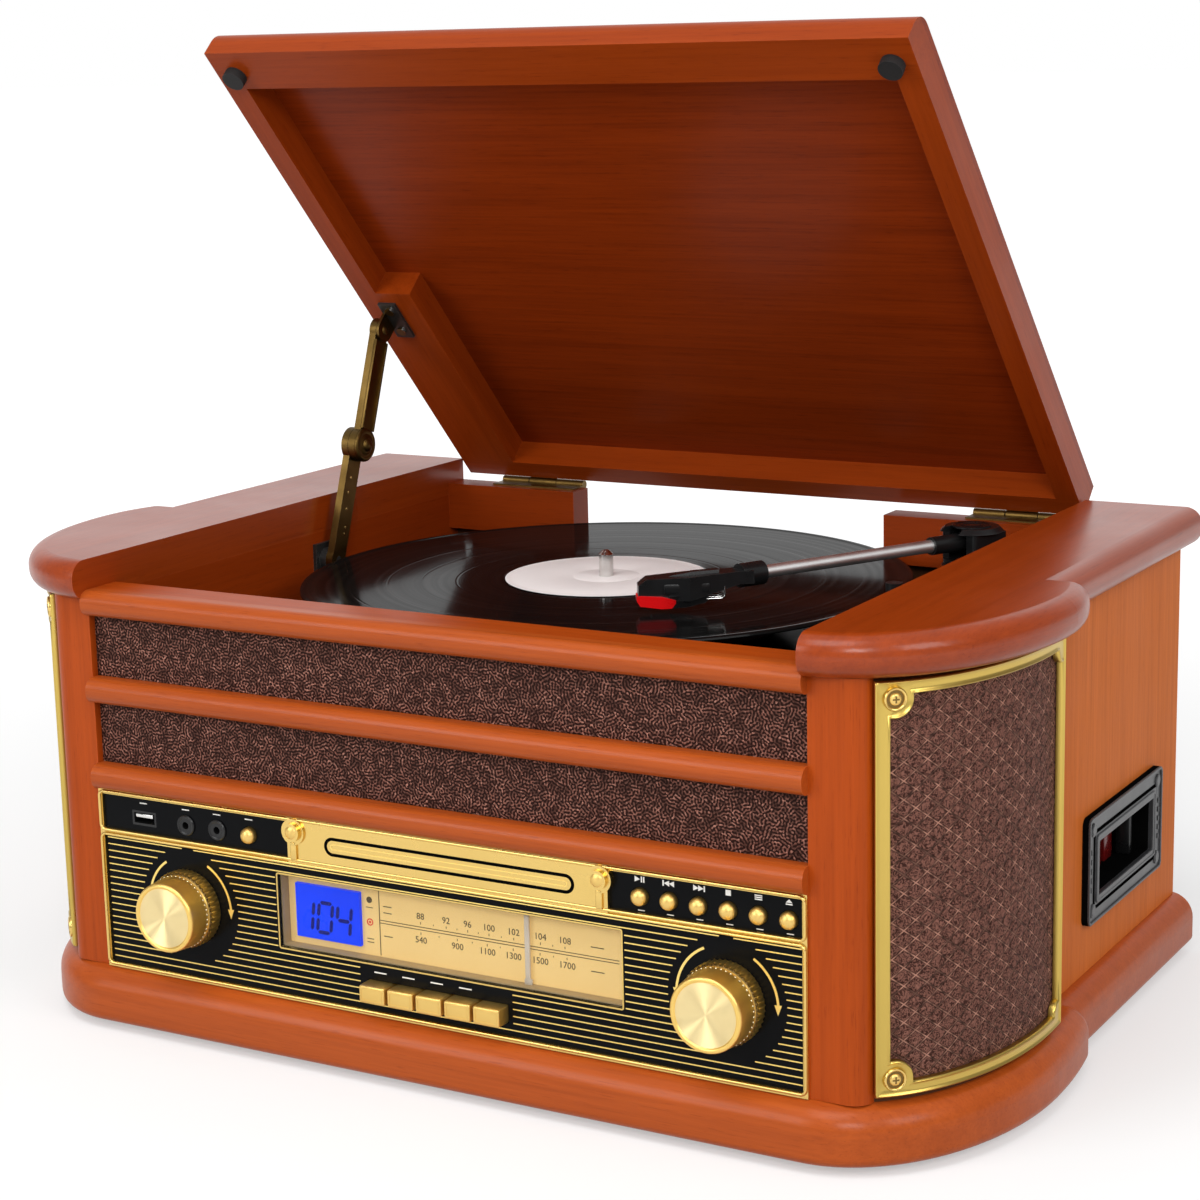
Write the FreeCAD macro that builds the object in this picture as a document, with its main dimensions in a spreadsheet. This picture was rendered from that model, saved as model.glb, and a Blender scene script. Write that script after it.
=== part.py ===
import FreeCAD, Part
import math
import os
from types import SimpleNamespace

import Sketcher

# Table-top record player in a wooden cabinet: lidded record bay on top, radio and disc fascia
# in front, a bowed loudspeaker column at each front corner and a tape slot in the right side.
# Millimetres and degrees. X runs to the right, Y to the back and Z up. The origin is on the
# table, in the middle of the plinth.

CABINET = {
    "foot_height": 4.0,
    "foot_radius": 9.0,
    "foot_inset": 34.0,
    "foot_taper": 1.5,
    "cabinet_width": 469.0,
    "cabinet_depth": 335.0,
    "side_height": 179.2,
    "side_thickness": 12.0,
    "rear_set_back": 2.0,
    "plinth_height": 25.5,
    "plinth_top_round": 12.0,
    "plinth_bottom_round": 4.0,
    "ledge_overhang": 10.0,
    "cap_thickness": 18.5,
    "cap_round": 8.5,
    "cap_reach": 76.5,
    "cap_tail": 36.5,
    "cap_tail_axis": 80.0,
    "back_thickness": 6.0,
    "back_drop": 18.7,
    "column_width": 50.0,
    "bay_wall_thickness": 6.0,
    "bow_reach": 71.0,
    "bow_depth": 111.0,
    "bow_tail": 56.5,
    "bow_tail_axis": 146.0,
    "bow_corner_round": 10.0,
    "bow_lap": 20.0,
    "cut_overrun": 1.0,
}

FRONT = {
    "post_width": 25.0,
    "post_depth": 24.0,
    "post_round": 9.0,
    "fascia_set_back": 10.2,
    "fascia_height": 87.9,
    "fascia_thickness": 3.0,
    "rail_height": 12.0,
    "rail_stand_out": 6.0,
    "rail_round": 5.5,
    "top_rail_overlap": 4.1,
    "board_set_back": 4.3,
    "front_board_thickness": 16.0,
    "cloth_thickness": 1.0,
}

SPEAKERS = {
    "column_end_gap": 38.0,
    "baffle_thickness": 9.0,
    "grille_inset": 6.5,
    "grille_thickness": 2.0,
    "grille_seat_gap": 0.3,
    "grille_post_gap": 1.7,
    "grille_low_margin": 3.0,
    "grille_top_margin": 1.5,
    "grille_front_border": 5.8,
    "grille_rear_border": 4.0,
    "grille_edge_border": 6.0,
    "grille_lobe_radius": 13.0,
    "grille_clip_radius": 6.0,
    "grille_screw_offset_x": 4.5,
    "grille_screw_offset_z": 2.0,
    "grille_screw_radius": 3.0,
    "grille_screw_height": 1.4,
    "driver_radius": 40.0,
    "driver_flange": 3.0,
    "driver_basket_depth": 22.0,
    "driver_magnet_radius": 24.0,
    "driver_magnet_depth": 14.0,
    "driver_wall": 2.0,
    "driver_cone_gap": 0.5,
    "driver_rise": 80.0,
    "driver_forward": 32.0,
    "driver_seat_inset": 40.0,
    "driver_ring_width": 6.0,
}

DECK = {
    "bay_depth": 38.7,
    "deck_thickness": 4.0,
    "record_shift": 12.6,
    "record_set_back": 28.5,
    "record_radius": 150.8,
    "record_thickness": 2.0,
    "record_rim_round": 0.6,
    "record_hole_radius": 3.65,
    "label_radius": 50.0,
    "label_thickness": 0.3,
    "platter_rise": 26.6,
    "platter_radius": 98.0,
    "platter_plate": 5.0,
    "platter_rim_depth": 16.0,
    "platter_rim_wall": 4.0,
    "drive_rim_radius": 60.0,
    "drive_rim_wall": 4.0,
    "drive_rim_depth": 13.0,
    "hub_radius": 12.0,
    "hub_gap": 0.4,
    "spindle_radius": 3.55,
    "spindle_rise": 13.0,
    "spindle_tip": 2.0,
    "shaft_radius": 4.0,
    "shaft_clearance": 0.05,
    "shaft_end_gap": 0.5,
    "bearing_radius": 10.0,
    "bearing_depth": 16.0,
    "bearing_floor": 3.0,
    "pulley_radius": 5.0,
    "pulley_flange": 1.5,
    "pulley_height": 9.0,
    "pulley_offset": 76.0,
    "belt_thickness": 1.0,
    "belt_width": 5.0,
    "belt_clearance": 0.3,
    "motor_radius": 16.0,
    "motor_height": 26.0,
    "motor_shaft_radius": 1.0,
    "motor_hole_radius": 6.0,
    "speed_slot_length": 26.0,
    "speed_slot_width": 5.0,
    "speed_lever_width": 4.4,
    "speed_lever_length": 9.0,
    "speed_lever_rise": 7.0,
    "speed_lever_inset": 15.0,
    "speed_lever_forward": 60.0,
}

TONEARM = {
    "arm_side_inset": 37.5,
    "arm_pivot_y": 110.5,
    "arm_angle": 27.7,
    "arm_axis_rise": 44.0,
    "arm_base_radius": 15.0,
    "arm_base_height": 32.0,
    "arm_base_flange": 3.0,
    "arm_gap": 0.3,
    "yoke_radius": 14.0,
    "yoke_floor": 3.0,
    "yoke_width": 25.0,
    "yoke_cheek": 6.0,
    "yoke_front": 9.0,
    "yoke_back": 12.0,
    "yoke_rise": 4.9,
    "yoke_cover": 2.3,
    "yoke_cover_radius": 15.5,
    "yoke_round": 2.0,
    "root_radius": 4.4,
    "root_length": 26.0,
    "tube_radius": 3.1,
    "tube_end": 127.0,
    "collar_length": 13.0,
    "collar_radius": 5.6,
    "headshell_angle": 29.0,
    "headshell_length": 47.0,
    "headshell_root_width": 10.0,
    "headshell_width": 17.0,
    "headshell_nose_width": 9.0,
    "headshell_root_height": 6.0,
    "headshell_crown": 1.5,
    "headshell_depth": 9.5,
    "headshell_nose_top": 2.5,
    "headshell_nose_low": 7.5,
    "headshell_chamfer": 4.0,
    "stylus_gap": 1.9,
    "stylus_length": 24.0,
    "stylus_width": 8.0,
    "stylus_nose": 4.0,
    "stylus_set_back": 3.0,
    "arm_rest_radius": 4.0,
    "arm_rest_reach": 95.0,
}

LID = {
    "lid_side_gap": 2.5,
    "lid_shift": 1.5,
    "lid_length": 325.3,
    "lid_thickness": 18.5,
    "lid_panel_thickness": 3.5,
    "lid_front_round": 10.5,
    "lid_open_angle": 46.6,
    "lid_front_rail": 23.6,
    "lid_rear_rail": 12.5,
    "lid_side_rail": 12.0,
    "bumper_radius": 5.5,
    "bumper_set_back": 14.6,
    "bumper_side_inset": 11.0,
    "bumper_gap": 0.3,
    "block_depth": 16.0,
    "block_height": 25.3,
    "block_left_length": 81.5,
    "block_right_length": 102.5,
    "hinge_length": 52.0,
    "hinge_left_centre": 52.0,
    "hinge_right_centre": 34.0,
    "hinge_leaf": 0.8,
    "hinge_leaf_depth": 10.0,
    "hinge_leaf_gap": 0.5,
    "hinge_knuckle_radius": 2.4,
    "hinge_pin_radius": 1.2,
    "hinge_clearance": 0.06,
    "hinge_gap": 0.3,
    "stay_block_width": 21.5,
    "stay_block_length": 141.0,
    "stay_reach": 136.0,
    "stay_drop": 8.0,
    "stay_wall_y": 29.5,
    "stay_wall_rise": 24.0,
    "stay_arm_width": 11.0,
    "stay_arm_thickness": 4.0,
    "stay_eye_radius": 6.2,
    "stay_elbow_radius": 9.0,
    "stay_rivet_radius": 2.0,
    "stay_rivet_head": 3.6,
    "stay_rivet_height": 1.4,
    "stay_gap": 0.3,
    "stay_pin_clearance": 0.08,
    "stay_plate_length": 26.0,
    "stay_plate_width": 10.5,
    "stay_plate_thickness": 1.6,
    "stay_ear_thickness": 1.6,
    "stay_wall_plate": 2.0,
    "stay_wall_plate_size": 18.0,
    "stay_screw_radius": 2.6,
    "stay_screw_height": 1.0,
}

CONTROLS = {
    "trim_thickness": 1.2,
    "trim_band": 2.2,
    "divider_rise": 67.0,
    "divider_band": 2.4,
    "plate_left": 74.5,
    "plate_right": 92.0,
    "plate_thickness": 2.0,
    "plate_boss_radius": 4.3,
    "plate_boss_inset": 3.8,
    "plate_boss_rise": 81.5,
    "plate_lug_radius": 6.1,
    "plate_lug_height": 1.0,
    "plate_boss_height": 2.6,
    "drawer_left": 52.4,
    "drawer_right": 74.2,
    "drawer_rise": 77.0,
    "drawer_height": 5.8,
    "drawer_groove": 1.2,
    "drawer_face": 4.0,
    "tray_length": 138.0,
    "tray_height": 5.0,
    "tray_side_gap": 1.0,
    "tray_well_radius": 60.5,
    "tray_well_depth": 1.6,
    "tray_well_set_back": 66.0,
    "drive_wall": 4.0,
    "drive_height": 17.0,
    "drive_gap": 0.4,
    "knob_left_inset": 50.7,
    "knob_right_inset": 37.5,
    "knob_rise": 36.5,
    "knob_base_radius": 18.4,
    "knob_base_depth": 8.0,
    "knob_face_radius": 16.2,
    "knob_depth": 20.5,
    "knob_dish_radius": 13.5,
    "knob_dish_depth": 0.8,
    "knob_gap": 0.8,
    "knob_shaft_radius": 3.0,
    "knob_hole_radius": 4.0,
    "pot_width": 18.0,
    "pot_depth": 10.0,
    "pot_gap": 0.3,
    "button_radius": 3.9,
    "button_rim": 2.2,
    "button_dome": 2.0,
    "button_crown_radius": 2.4,
    "button_clearance": 0.3,
    "button_stem": 7.0,
    "button_rise": 75.8,
    "button_first_inset": 77.8,
    "button_pitch": 13.85,
    "button_left_inset": 87.2,
    "key_width": 13.5,
    "key_pitch": 15.05,
    "key_height": 8.2,
    "key_stand_out": 8.0,
    "key_inside": 6.0,
    "key_first_x": 27.5,
    "key_rise": 8.3,
    "key_clearance": 0.3,
    "key_edge_round": 1.0,
    "window_left": 82.2,
    "window_right": 97.0,
    "window_rise": 42.0,
    "window_height": 34.6,
    "window_thickness": 1.5,
    "dial_depth": 7.0,
    "dial_thickness": 1.5,
    "lcd_left": 76.5,
    "lcd_width": 35.2,
    "lcd_height": 25.4,
    "lcd_thickness": 2.0,
    "pointer_x": 47.0,
    "pointer_width": 1.6,
    "pointer_thickness": 1.0,
    "pointer_gap": 1.2,
    "pointer_end_gap": 0.4,
    "pointer_leg": 4.0,
    "usb_inset": 25.9,
    "usb_width": 14.0,
    "usb_height": 7.0,
    "usb_wall": 1.0,
    "usb_depth": 14.0,
    "jack_outer_inset": 50.8,
    "jack_inner_inset": 68.9,
    "jack_radius": 4.7,
    "jack_bore_radius": 1.8,
    "jack_depth": 14.0,
    "jack_stand_out": 0.8,
    "board_thickness": 1.6,
    "board_gap": 12.0,
    "board_spacer_radius": 2.5,
}

INNER = {
    "tape_y": 28.4,
    "tape_length": 105.0,
    "tape_rise": 23.8,
    "tape_height": 51.8,
    "tape_plate": 3.0,
    "tape_corner_round": 4.0,
    "tape_frame_inset": 9.0,
    "tape_frame_stand_out": 0.8,
    "tape_mouth_front": 13.2,
    "tape_mouth_length": 77.8,
    "tape_mouth_low": 12.4,
    "tape_mouth_height": 26.1,
    "tape_well_wall": 2.0,
    "tape_well_depth": 40.0,
    "tape_fit": 0.5,
    "tape_unit_depth": 42.0,
    "tape_screw_radius": 2.4,
    "tape_screw_inset": 6.5,
    "tape_screw_height": 0.8,
    "transformer_length": 62.0,
    "transformer_width": 50.0,
    "transformer_height": 52.0,
    "transformer_x": 195.0,
    "transformer_y": 92.0,
    "transformer_core": 14.0,
    "transformer_core_margin": 5.0,
    "main_board_length": 190.0,
    "main_board_width": 90.0,
    "main_board_x": 110.0,
    "main_board_y": 45.0,
    "main_board_rise": 9.0,
    "line_out_x": 60.0,
    "line_out_pitch": 18.0,
    "line_out_rise": 40.0,
    "line_out_radius": 4.3,
    "line_out_flange_radius": 6.5,
    "line_out_stand_out": 8.0,
    "line_out_bore_radius": 1.7,
    "line_out_flange": 1.5,
    "mains_x": 165.0,
    "mains_rise": 30.0,
    "mains_width": 24.0,
    "mains_height": 16.0,
    "mains_depth": 18.0,
    "mains_wall": 2.5,
    "mains_flange": 2.0,
    "mains_pin_radius": 1.2,
    "mains_pin_pitch": 8.6,
    "mains_pin_length": 11.0,
}

TABLES = {
    "cabinet": CABINET,
    "front": FRONT,
    "loudspeakers": SPEAKERS,
    "record deck": DECK,
    "tonearm": TONEARM,
    "lid": LID,
    "controls": CONTROLS,
    "inner units": INNER,
}

doc = FreeCAD.newDocument("record_player")
sheet = doc.addObject("Spreadsheet::Sheet", "Sizes")

UP = FreeCAD.Rotation()
TO_FRONT = FreeCAD.Rotation(FreeCAD.Vector(1, 0, 0), 90)
TO_BACK = FreeCAD.Rotation(FreeCAD.Vector(1, 0, 0), -90)
TO_RIGHT = FreeCAD.Rotation(FreeCAD.Vector(0, 1, 0), 90)
TO_LEFT = FreeCAD.Rotation(FreeCAD.Vector(0, 1, 0), -90)
HALF_TURN = 180
FULL_TURN = 360
QUARTER = math.pi / 2
NUDGE = 1e-4


class Size:
    """A length or an angle: its value now, and the expression that ties it to the sheet."""

    def __init__(self, text, value):
        self.text = text
        self.value = value

    def __float__(self):
        return self.value

    def __add__(self, other):
        other = as_size(other)
        return Size("(%s + %s)" % (self.text, other.text), self.value + other.value)

    def __sub__(self, other):
        other = as_size(other)
        return Size("(%s - %s)" % (self.text, other.text), self.value - other.value)

    def __mul__(self, other):
        other = as_size(other)
        return Size("(%s * %s)" % (self.text, other.text), self.value * other.value)

    def __truediv__(self, other):
        other = as_size(other)
        return Size("(%s / %s)" % (self.text, other.text), self.value / other.value)

    def __neg__(self):
        return Size("(0 - %s)" % self.text, -self.value)


def as_size(number):
    """Take a plain count or zero as a size."""
    if isinstance(number, Size):
        return number
    return Size(repr(float(number)), float(number))


def load_sizes():
    """Write every driving dimension to the sheet and give each back under its name."""
    sizes = SimpleNamespace()
    row = 1
    for heading, table in TABLES.items():
        sheet.set("A%d" % row, heading)
        row += 1
        for alias, value in table.items():
            sheet.set("A%d" % row, alias)
            sheet.set("B%d" % row, str(value))
            sheet.setAlias("B%d" % row, alias)
            setattr(sizes, alias, Size("Sizes.%s" % alias, float(value)))
            row += 1
    doc.recompute()
    return sizes


V = load_sizes()
NODES = []


def node(part, label):
    """Name a finished sub-part: the label becomes its file's name."""
    part.Label = label
    NODES.append(part)
    return part


def place(part, at, turn=UP):
    """Turn a part and tie the place of its origin to the sheet."""
    part.Placement = FreeCAD.Placement(FreeCAD.Vector(), turn)
    for axis, where in zip("xyz", at):
        part.setExpression("Placement.Base.%s" % axis, as_size(where).text)
    return part


def box(name, xs, ys, zs):
    """A block between two values on each axis."""
    part = doc.addObject("Part::Box", name)
    for size, (low, high) in zip(("Length", "Width", "Height"), (xs, ys, zs)):
        part.setExpression(size, (as_size(high) - low).text)
    return place(part, (xs[0], ys[0], zs[0]))


def cylinder(name, radius, height, at, turn=UP):
    """A round bar that starts at a point and runs along the turned Z axis."""
    part = doc.addObject("Part::Cylinder", name)
    part.setExpression("Radius", radius.text)
    part.setExpression("Height", height.text)
    return place(part, at, turn)


def fuse(name, parts):
    """Join parts that are one piece."""
    part = doc.addObject("Part::MultiFuse", name)
    part.Shapes = parts
    part.Refine = True
    return part


def cut(name, base, tools):
    """Take one or more tools away from a base."""
    part = doc.addObject("Part::Cut", name)
    part.Base = base
    part.Tool = tools[0] if len(tools) == 1 else fuse(name + "_tools", tools)
    part.Refine = True
    return part


def common(name, base, tool):
    """Keep what two parts share."""
    part = doc.addObject("Part::Common", name)
    part.Base = base
    part.Tool = tool
    part.Refine = True
    return part


def group(name, parts):
    """Keep separate pieces of one kind together in one sub-part."""
    part = doc.addObject("Part::Compound", name)
    part.Links = parts
    return part


def solid(name, shape):
    """A piece whose outline is curved in plan, built from sheet values."""
    part = doc.addObject("Part::Feature", name)
    part.Shape = shape
    part.Placement = FreeCAD.Placement()
    return part


def round_edges(name, base, radius, chosen):
    """Round the edges of a part for which the chooser says yes."""
    doc.recompute()
    part = doc.addObject("Part::Fillet", name)
    part.Base = base
    part.Edges = [
        (index, float(radius), float(radius))
        for index, edge in enumerate(base.Shape.Edges, start=1)
        if chosen(edge)
    ]
    return part


def origin_feature(body, role):
    """One of a body's own origin planes."""
    return next(part for part in body.Origin.OriginFeatures if part.Role == role)


def sketch_outline(body, plane, points):
    """A closed outline of straight sides whose corners are tied to the sheet."""
    sketch = body.newObject("Sketcher::SketchObject", body.Name + "_sketch")
    sketch.AttachmentSupport = [(origin_feature(body, plane), "")]
    sketch.MapMode = "FlatFace"
    corners = [FreeCAD.Vector(float(u), float(v), 0) for u, v in points]
    count = len(corners)
    for index, corner in enumerate(corners):
        sketch.addGeometry(Part.LineSegment(corner, corners[(index + 1) % count]), False)
    for index in range(count):
        sketch.addConstraint(Sketcher.Constraint("Coincident", index, 2, (index + 1) % count, 1))
    for index, point in enumerate(points):
        for kind, value in zip(("DistanceX", "DistanceY"), point):
            value = as_size(value)
            row = sketch.addConstraint(Sketcher.Constraint(kind, -1, 1, index, 1, value.value))
            sketch.setExpression("Constraints[%d]" % row, value.text)
    return sketch


def turned(name, profile, at, turn=UP):
    """A piece turned about its own Z axis from radius and height pairs."""
    body = doc.addObject("PartDesign::Body", name)
    sketch = sketch_outline(body, "XZ_Plane", profile)
    revolution = body.newObject("PartDesign::Revolution", name + "_turn")
    revolution.Profile = sketch
    revolution.ReferenceAxis = (sketch, ["V_Axis"])
    revolution.Angle = FULL_TURN
    return place(body, at, turn)


def padded(name, outline, height, at, turn=UP):
    """A piece padded up from an outline on its own XY plane."""
    body = doc.addObject("PartDesign::Body", name)
    pad = body.newObject("PartDesign::Pad", name + "_pad")
    pad.Profile = sketch_outline(body, "XY_Plane", outline)
    pad.setExpression("Length", height.text)
    return place(body, at, turn)


def both_sides(value):
    """A value to the left and to the right of the middle."""
    return -value, value


# Lines that the whole cabinet shares
side_half = V.cabinet_width / 2
bay_half = side_half - V.column_width
side_inner = side_half - V.side_thickness
ledge_half = side_half + V.ledge_overhang
rear_line = V.cabinet_depth / 2
front_line = -rear_line
panel_rear = rear_line - V.rear_set_back
back_front = panel_rear - V.back_thickness
plinth_top = V.foot_height + V.plinth_height
cap_bottom = plinth_top + V.side_height
bow_centre = front_line + V.bow_depth
notch = bow_centre + V.bow_tail
column_end = notch - V.column_end_gap
post_outer = bay_half + V.post_width
fascia_front = front_line + V.fascia_set_back
fascia_rear = fascia_front + V.fascia_thickness
fascia_top = plinth_top + V.fascia_height
board_front = fascia_front + V.board_set_back
board_rear = board_front + V.front_board_thickness
top_rail_top = cap_bottom + V.top_rail_overlap
rail_pitch = (top_rail_top - V.rail_height - fascia_top) / 2
deck_top = cap_bottom - V.bay_depth
deck_bottom = deck_top - V.deck_thickness
back_top = cap_bottom - V.back_drop
record_x = -V.record_shift
record_y = V.record_set_back
knob_left_x = bay_half - V.knob_left_inset
knob_right_x = bay_half - V.knob_right_inset
button_first_x = bay_half - V.button_first_inset
button_left_x = bay_half - V.button_left_inset
usb_x = bay_half - V.usb_inset
jack_outer_x = bay_half - V.jack_outer_inset
jack_inner_x = bay_half - V.jack_inner_inset
arm_pivot_x = bay_half - V.arm_side_inset
record_bottom = deck_top + V.platter_rise
record_top = record_bottom + V.record_thickness


# Reach to the side and length of the tail of the bowed ends: the caps' end sooner
PLINTH_BOW = SimpleNamespace(reach=V.bow_reach, tail=V.bow_tail, tail_axis=V.bow_tail_axis)
CAP_BOW = SimpleNamespace(reach=V.cap_reach, tail=V.cap_tail, tail_axis=V.cap_tail_axis)


def bow_curve(inset, height, tail_end, bow):
    """Edges in plan of a right bowed end, from the bay's edge round to the tail's end."""
    centre = FreeCAD.Vector(float(bay_half), float(bow_centre), float(height))
    reach = FreeCAD.Vector(float(bow.reach - inset), 0, 0)
    forward = FreeCAD.Vector(0, float(inset - V.bow_depth), 0)
    backward = FreeCAD.Vector(0, float(bow.tail_axis - inset), 0)
    front = Part.Ellipse(centre + forward, centre + reach, centre)
    tail = Part.Ellipse(centre + backward, centre - reach, centre)
    end = math.acos(float(tail_end - bow_centre) / backward.y)
    return [
        Part.ArcOfEllipse(front, 0, QUARTER).toShape(),
        Part.ArcOfEllipse(tail, -QUARTER, -end).toShape(),
    ]


def bow_prism(inset, bottom, top, tail_end, bow=PLINTH_BOW):
    """Everything inside a right bowed end's inset curve, in front of the tail's end."""
    edges = bow_curve(inset, bottom, tail_end, bow)
    first = edges[0].firstVertex().Point
    last = edges[-1].lastVertex().Point
    corner = FreeCAD.Vector(first.x, last.y, first.z)
    edges.append(Part.LineSegment(last, corner).toShape())
    edges.append(Part.LineSegment(corner, first).toShape())
    rise = FreeCAD.Vector(0, 0, float(top - bottom))
    return Part.Face(Part.Wire(edges)).extrude(rise)


def plain_block(xs, ys, zs):
    """A block as a bare shape, for pieces that are cut out of a curved one."""
    low = [float(pair[0]) for pair in (xs, ys, zs)]
    high = [float(pair[1]) for pair in (xs, ys, zs)]
    sides = [top - bottom for bottom, top in zip(low, high)]
    return Part.makeBox(*sides, FreeCAD.Vector(*low))


def mirrored(shape):
    """The same shape on the other side of the middle."""
    return shape.mirror(FreeCAD.Vector(), FreeCAD.Vector(1, 0, 0))


def level_edges(shape, height):
    """The edges of a shape that lie flat at a height."""
    return [
        edge for edge in shape.Edges
        if abs(edge.BoundBox.ZMin - height) < NUDGE and abs(edge.BoundBox.ZMax - height) < NUDGE
    ]


def bow_board(bottom, thickness, top_round, bottom_round, bow_sizes):
    """Right end of the plinth or a cap: a bowed front, a notch and a straight rear half."""
    top = bottom + thickness
    end = bow_centre + bow_sizes.tail
    bow = bow_prism(as_size(0), bottom, top, end, bow_sizes)
    uprights = [
        edge for edge in bow.Edges
        if edge.BoundBox.ZLength > NUDGE
        and abs(edge.BoundBox.YMin - end.value) < NUDGE
        and edge.BoundBox.XMin > bay_half.value + NUDGE
    ]
    bow = bow.makeFillet(V.bow_corner_round.value, uprights)
    rear = plain_block((bay_half, ledge_half), (end - V.bow_lap, rear_line), (bottom, top))
    for height, radius in ((top, top_round), (bottom, bottom_round)):
        outer = [
            edge for edge in level_edges(bow, height.value)
            if edge.BoundBox.XMax > bay_half.value + NUDGE
        ]
        bow = bow.makeFillet(radius.value, outer)
        side = [
            edge for edge in level_edges(rear, height.value)
            if edge.BoundBox.XMin > ledge_half.value - NUDGE
        ]
        rear = rear.makeFillet(radius.value, side)
    return bow.fuse(rear).removeSplitter()


def build_cabinet():
    """Plinth, feet, side and back panels, caps, bay walls and hinge blocks."""
    foot_x = ledge_half - V.foot_inset
    foot_y = rear_line - V.foot_inset
    foot = (
        (0, 0),
        (V.foot_radius - V.foot_taper, 0),
        (V.foot_radius, V.foot_height),
        (0, V.foot_height),
    )
    feet = [
        turned("foot", foot, (x, y, 0)) for x in both_sides(foot_x) for y in both_sides(foot_y)
    ]
    node(group("feet_group", feet), "rubber_feet")

    end = bow_board(V.foot_height, V.plinth_height, V.plinth_top_round, V.plinth_bottom_round, PLINTH_BOW)
    middle = plain_block(both_sides(bay_half), both_sides(rear_line), (V.foot_height, plinth_top))
    for height, radius in ((plinth_top, V.plinth_top_round), (V.foot_height, V.plinth_bottom_round)):
        nose = [
            edge for edge in level_edges(middle, height.value)
            if edge.BoundBox.YMax < front_line.value + NUDGE
        ]
        middle = middle.makeFillet(radius.value, nose)
    plinth = middle.multiFuse([end, mirrored(end)]).removeSplitter()
    node(solid("plinth", plinth), "base_plinth")

    cap = bow_board(cap_bottom, V.cap_thickness, V.cap_round, V.cap_round, CAP_BOW)
    caps = [solid("cap_right", cap), solid("cap_left", mirrored(cap))]
    node(group("caps", caps), "top_caps")

    heights = (plinth_top, cap_bottom)
    left = box("side_left", (-side_half, -side_inner), (column_end, panel_rear), heights)
    right = box("side_right_blank", (side_inner, side_half), (column_end, panel_rear), heights)
    hole = tape_tunnel("tape_hole", V.tape_fit, side_inner - V.cut_overrun, side_half + V.cut_overrun)
    right = cut("side_right", right, [hole])
    node(group("sides", [left, right]), "side_panels")

    back = box("back_blank", both_sides(side_inner), (back_front, panel_rear), (plinth_top, back_top))
    node(cut("back", back, rear_holes()), "back_panel")

    wall_outer = bay_half + V.bay_wall_thickness
    post_rear = fascia_front + V.post_depth
    walls = [
        box("bay_wall", xs, (post_rear, back_front), (deck_bottom, cap_bottom))
        for xs in ((-wall_outer, -bay_half), (bay_half, wall_outer))
    ]
    block_ys = (rear_line - V.block_depth, rear_line)
    block_zs = (back_top, back_top + V.block_height)
    walls.append(box("block_left", (-bay_half, V.block_left_length - bay_half), block_ys, block_zs))
    walls.append(box("block_right", (bay_half - V.block_right_length, bay_half), block_ys, block_zs))
    node(group("walls", walls), "bay_walls")


def tape_tunnel(name, growth, start, end):
    """The tape mouth's tunnel through the right side, widened all round by a fit."""
    low_y = V.tape_y + V.tape_mouth_front - V.tape_well_wall - growth
    high_y = V.tape_y + V.tape_mouth_front + V.tape_mouth_length + V.tape_well_wall + growth
    low_z = plinth_top + V.tape_rise + V.tape_mouth_low - V.tape_well_wall - growth
    high_z = low_z + V.tape_mouth_height + (V.tape_well_wall + growth) * 2
    return box(name, (start, end), (low_y, high_y), (low_z, high_z))


def build_front():
    """Corner posts, half-round rails, the board behind them and its two strips of cloth."""
    posts = []
    for side, xs in (("left", (-post_outer, -bay_half)), ("right", (bay_half, post_outer))):
        ys = (fascia_front, fascia_front + V.post_depth)
        blank = box("post_blank_" + side, xs, ys, (plinth_top, cap_bottom))
        posts.append(round_edges("post_" + side, blank, V.post_round, is_post_corner))
    node(group("posts", posts), "front_posts")

    rails = []
    cloths = []
    for index in range(3):
        low = fascia_top + rail_pitch * index
        high = low + V.rail_height
        ys = (fascia_front - V.rail_stand_out, board_front)
        blank = box("rail_blank_%d" % index, both_sides(bay_half), ys, (low, high))
        rails.append(round_edges("rail_%d" % index, blank, V.rail_round, is_rail_nose))
        if index < 2:
            cloth_ys = (board_front - V.cloth_thickness, board_front)
            cloth_zs = (high, low + rail_pitch)
            cloths.append(box("cloth_%d" % index, both_sides(bay_half), cloth_ys, cloth_zs))
    node(group("rails", rails), "front_rails")
    node(group("cloths", cloths), "front_cloths")


def is_post_corner(edge):
    """The outer front upright of a post."""
    box_of = edge.BoundBox
    outermost = max(abs(box_of.XMin), abs(box_of.XMax)) > post_outer.value - NUDGE
    return outermost and box_of.ZLength > NUDGE and box_of.YMax < fascia_front.value + NUDGE


def is_rail_nose(edge):
    """The long front edges of a rail."""
    box_of = edge.BoundBox
    return box_of.YMax < fascia_front.value - V.rail_stand_out.value + NUDGE and box_of.XLength > NUDGE


def column_shell(outer_inset, inner_inset, start_x, end_y, zs):
    """A curved sheet round the right column, from a start in X to an end in Y."""
    outer = bow_prism(outer_inset, zs[0], zs[1], end_y)
    inner = bow_prism(inner_inset, zs[0], zs[1], end_y + V.cut_overrun)
    keep = plain_block((start_x, ledge_half + V.bow_reach), (front_line, end_y), zs)
    return outer.cut(inner).common(keep)


def driver_middle():
    """Height and depth of the loudspeaker's axis."""
    return bow_centre - V.driver_forward, plinth_top + V.driver_rise


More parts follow.
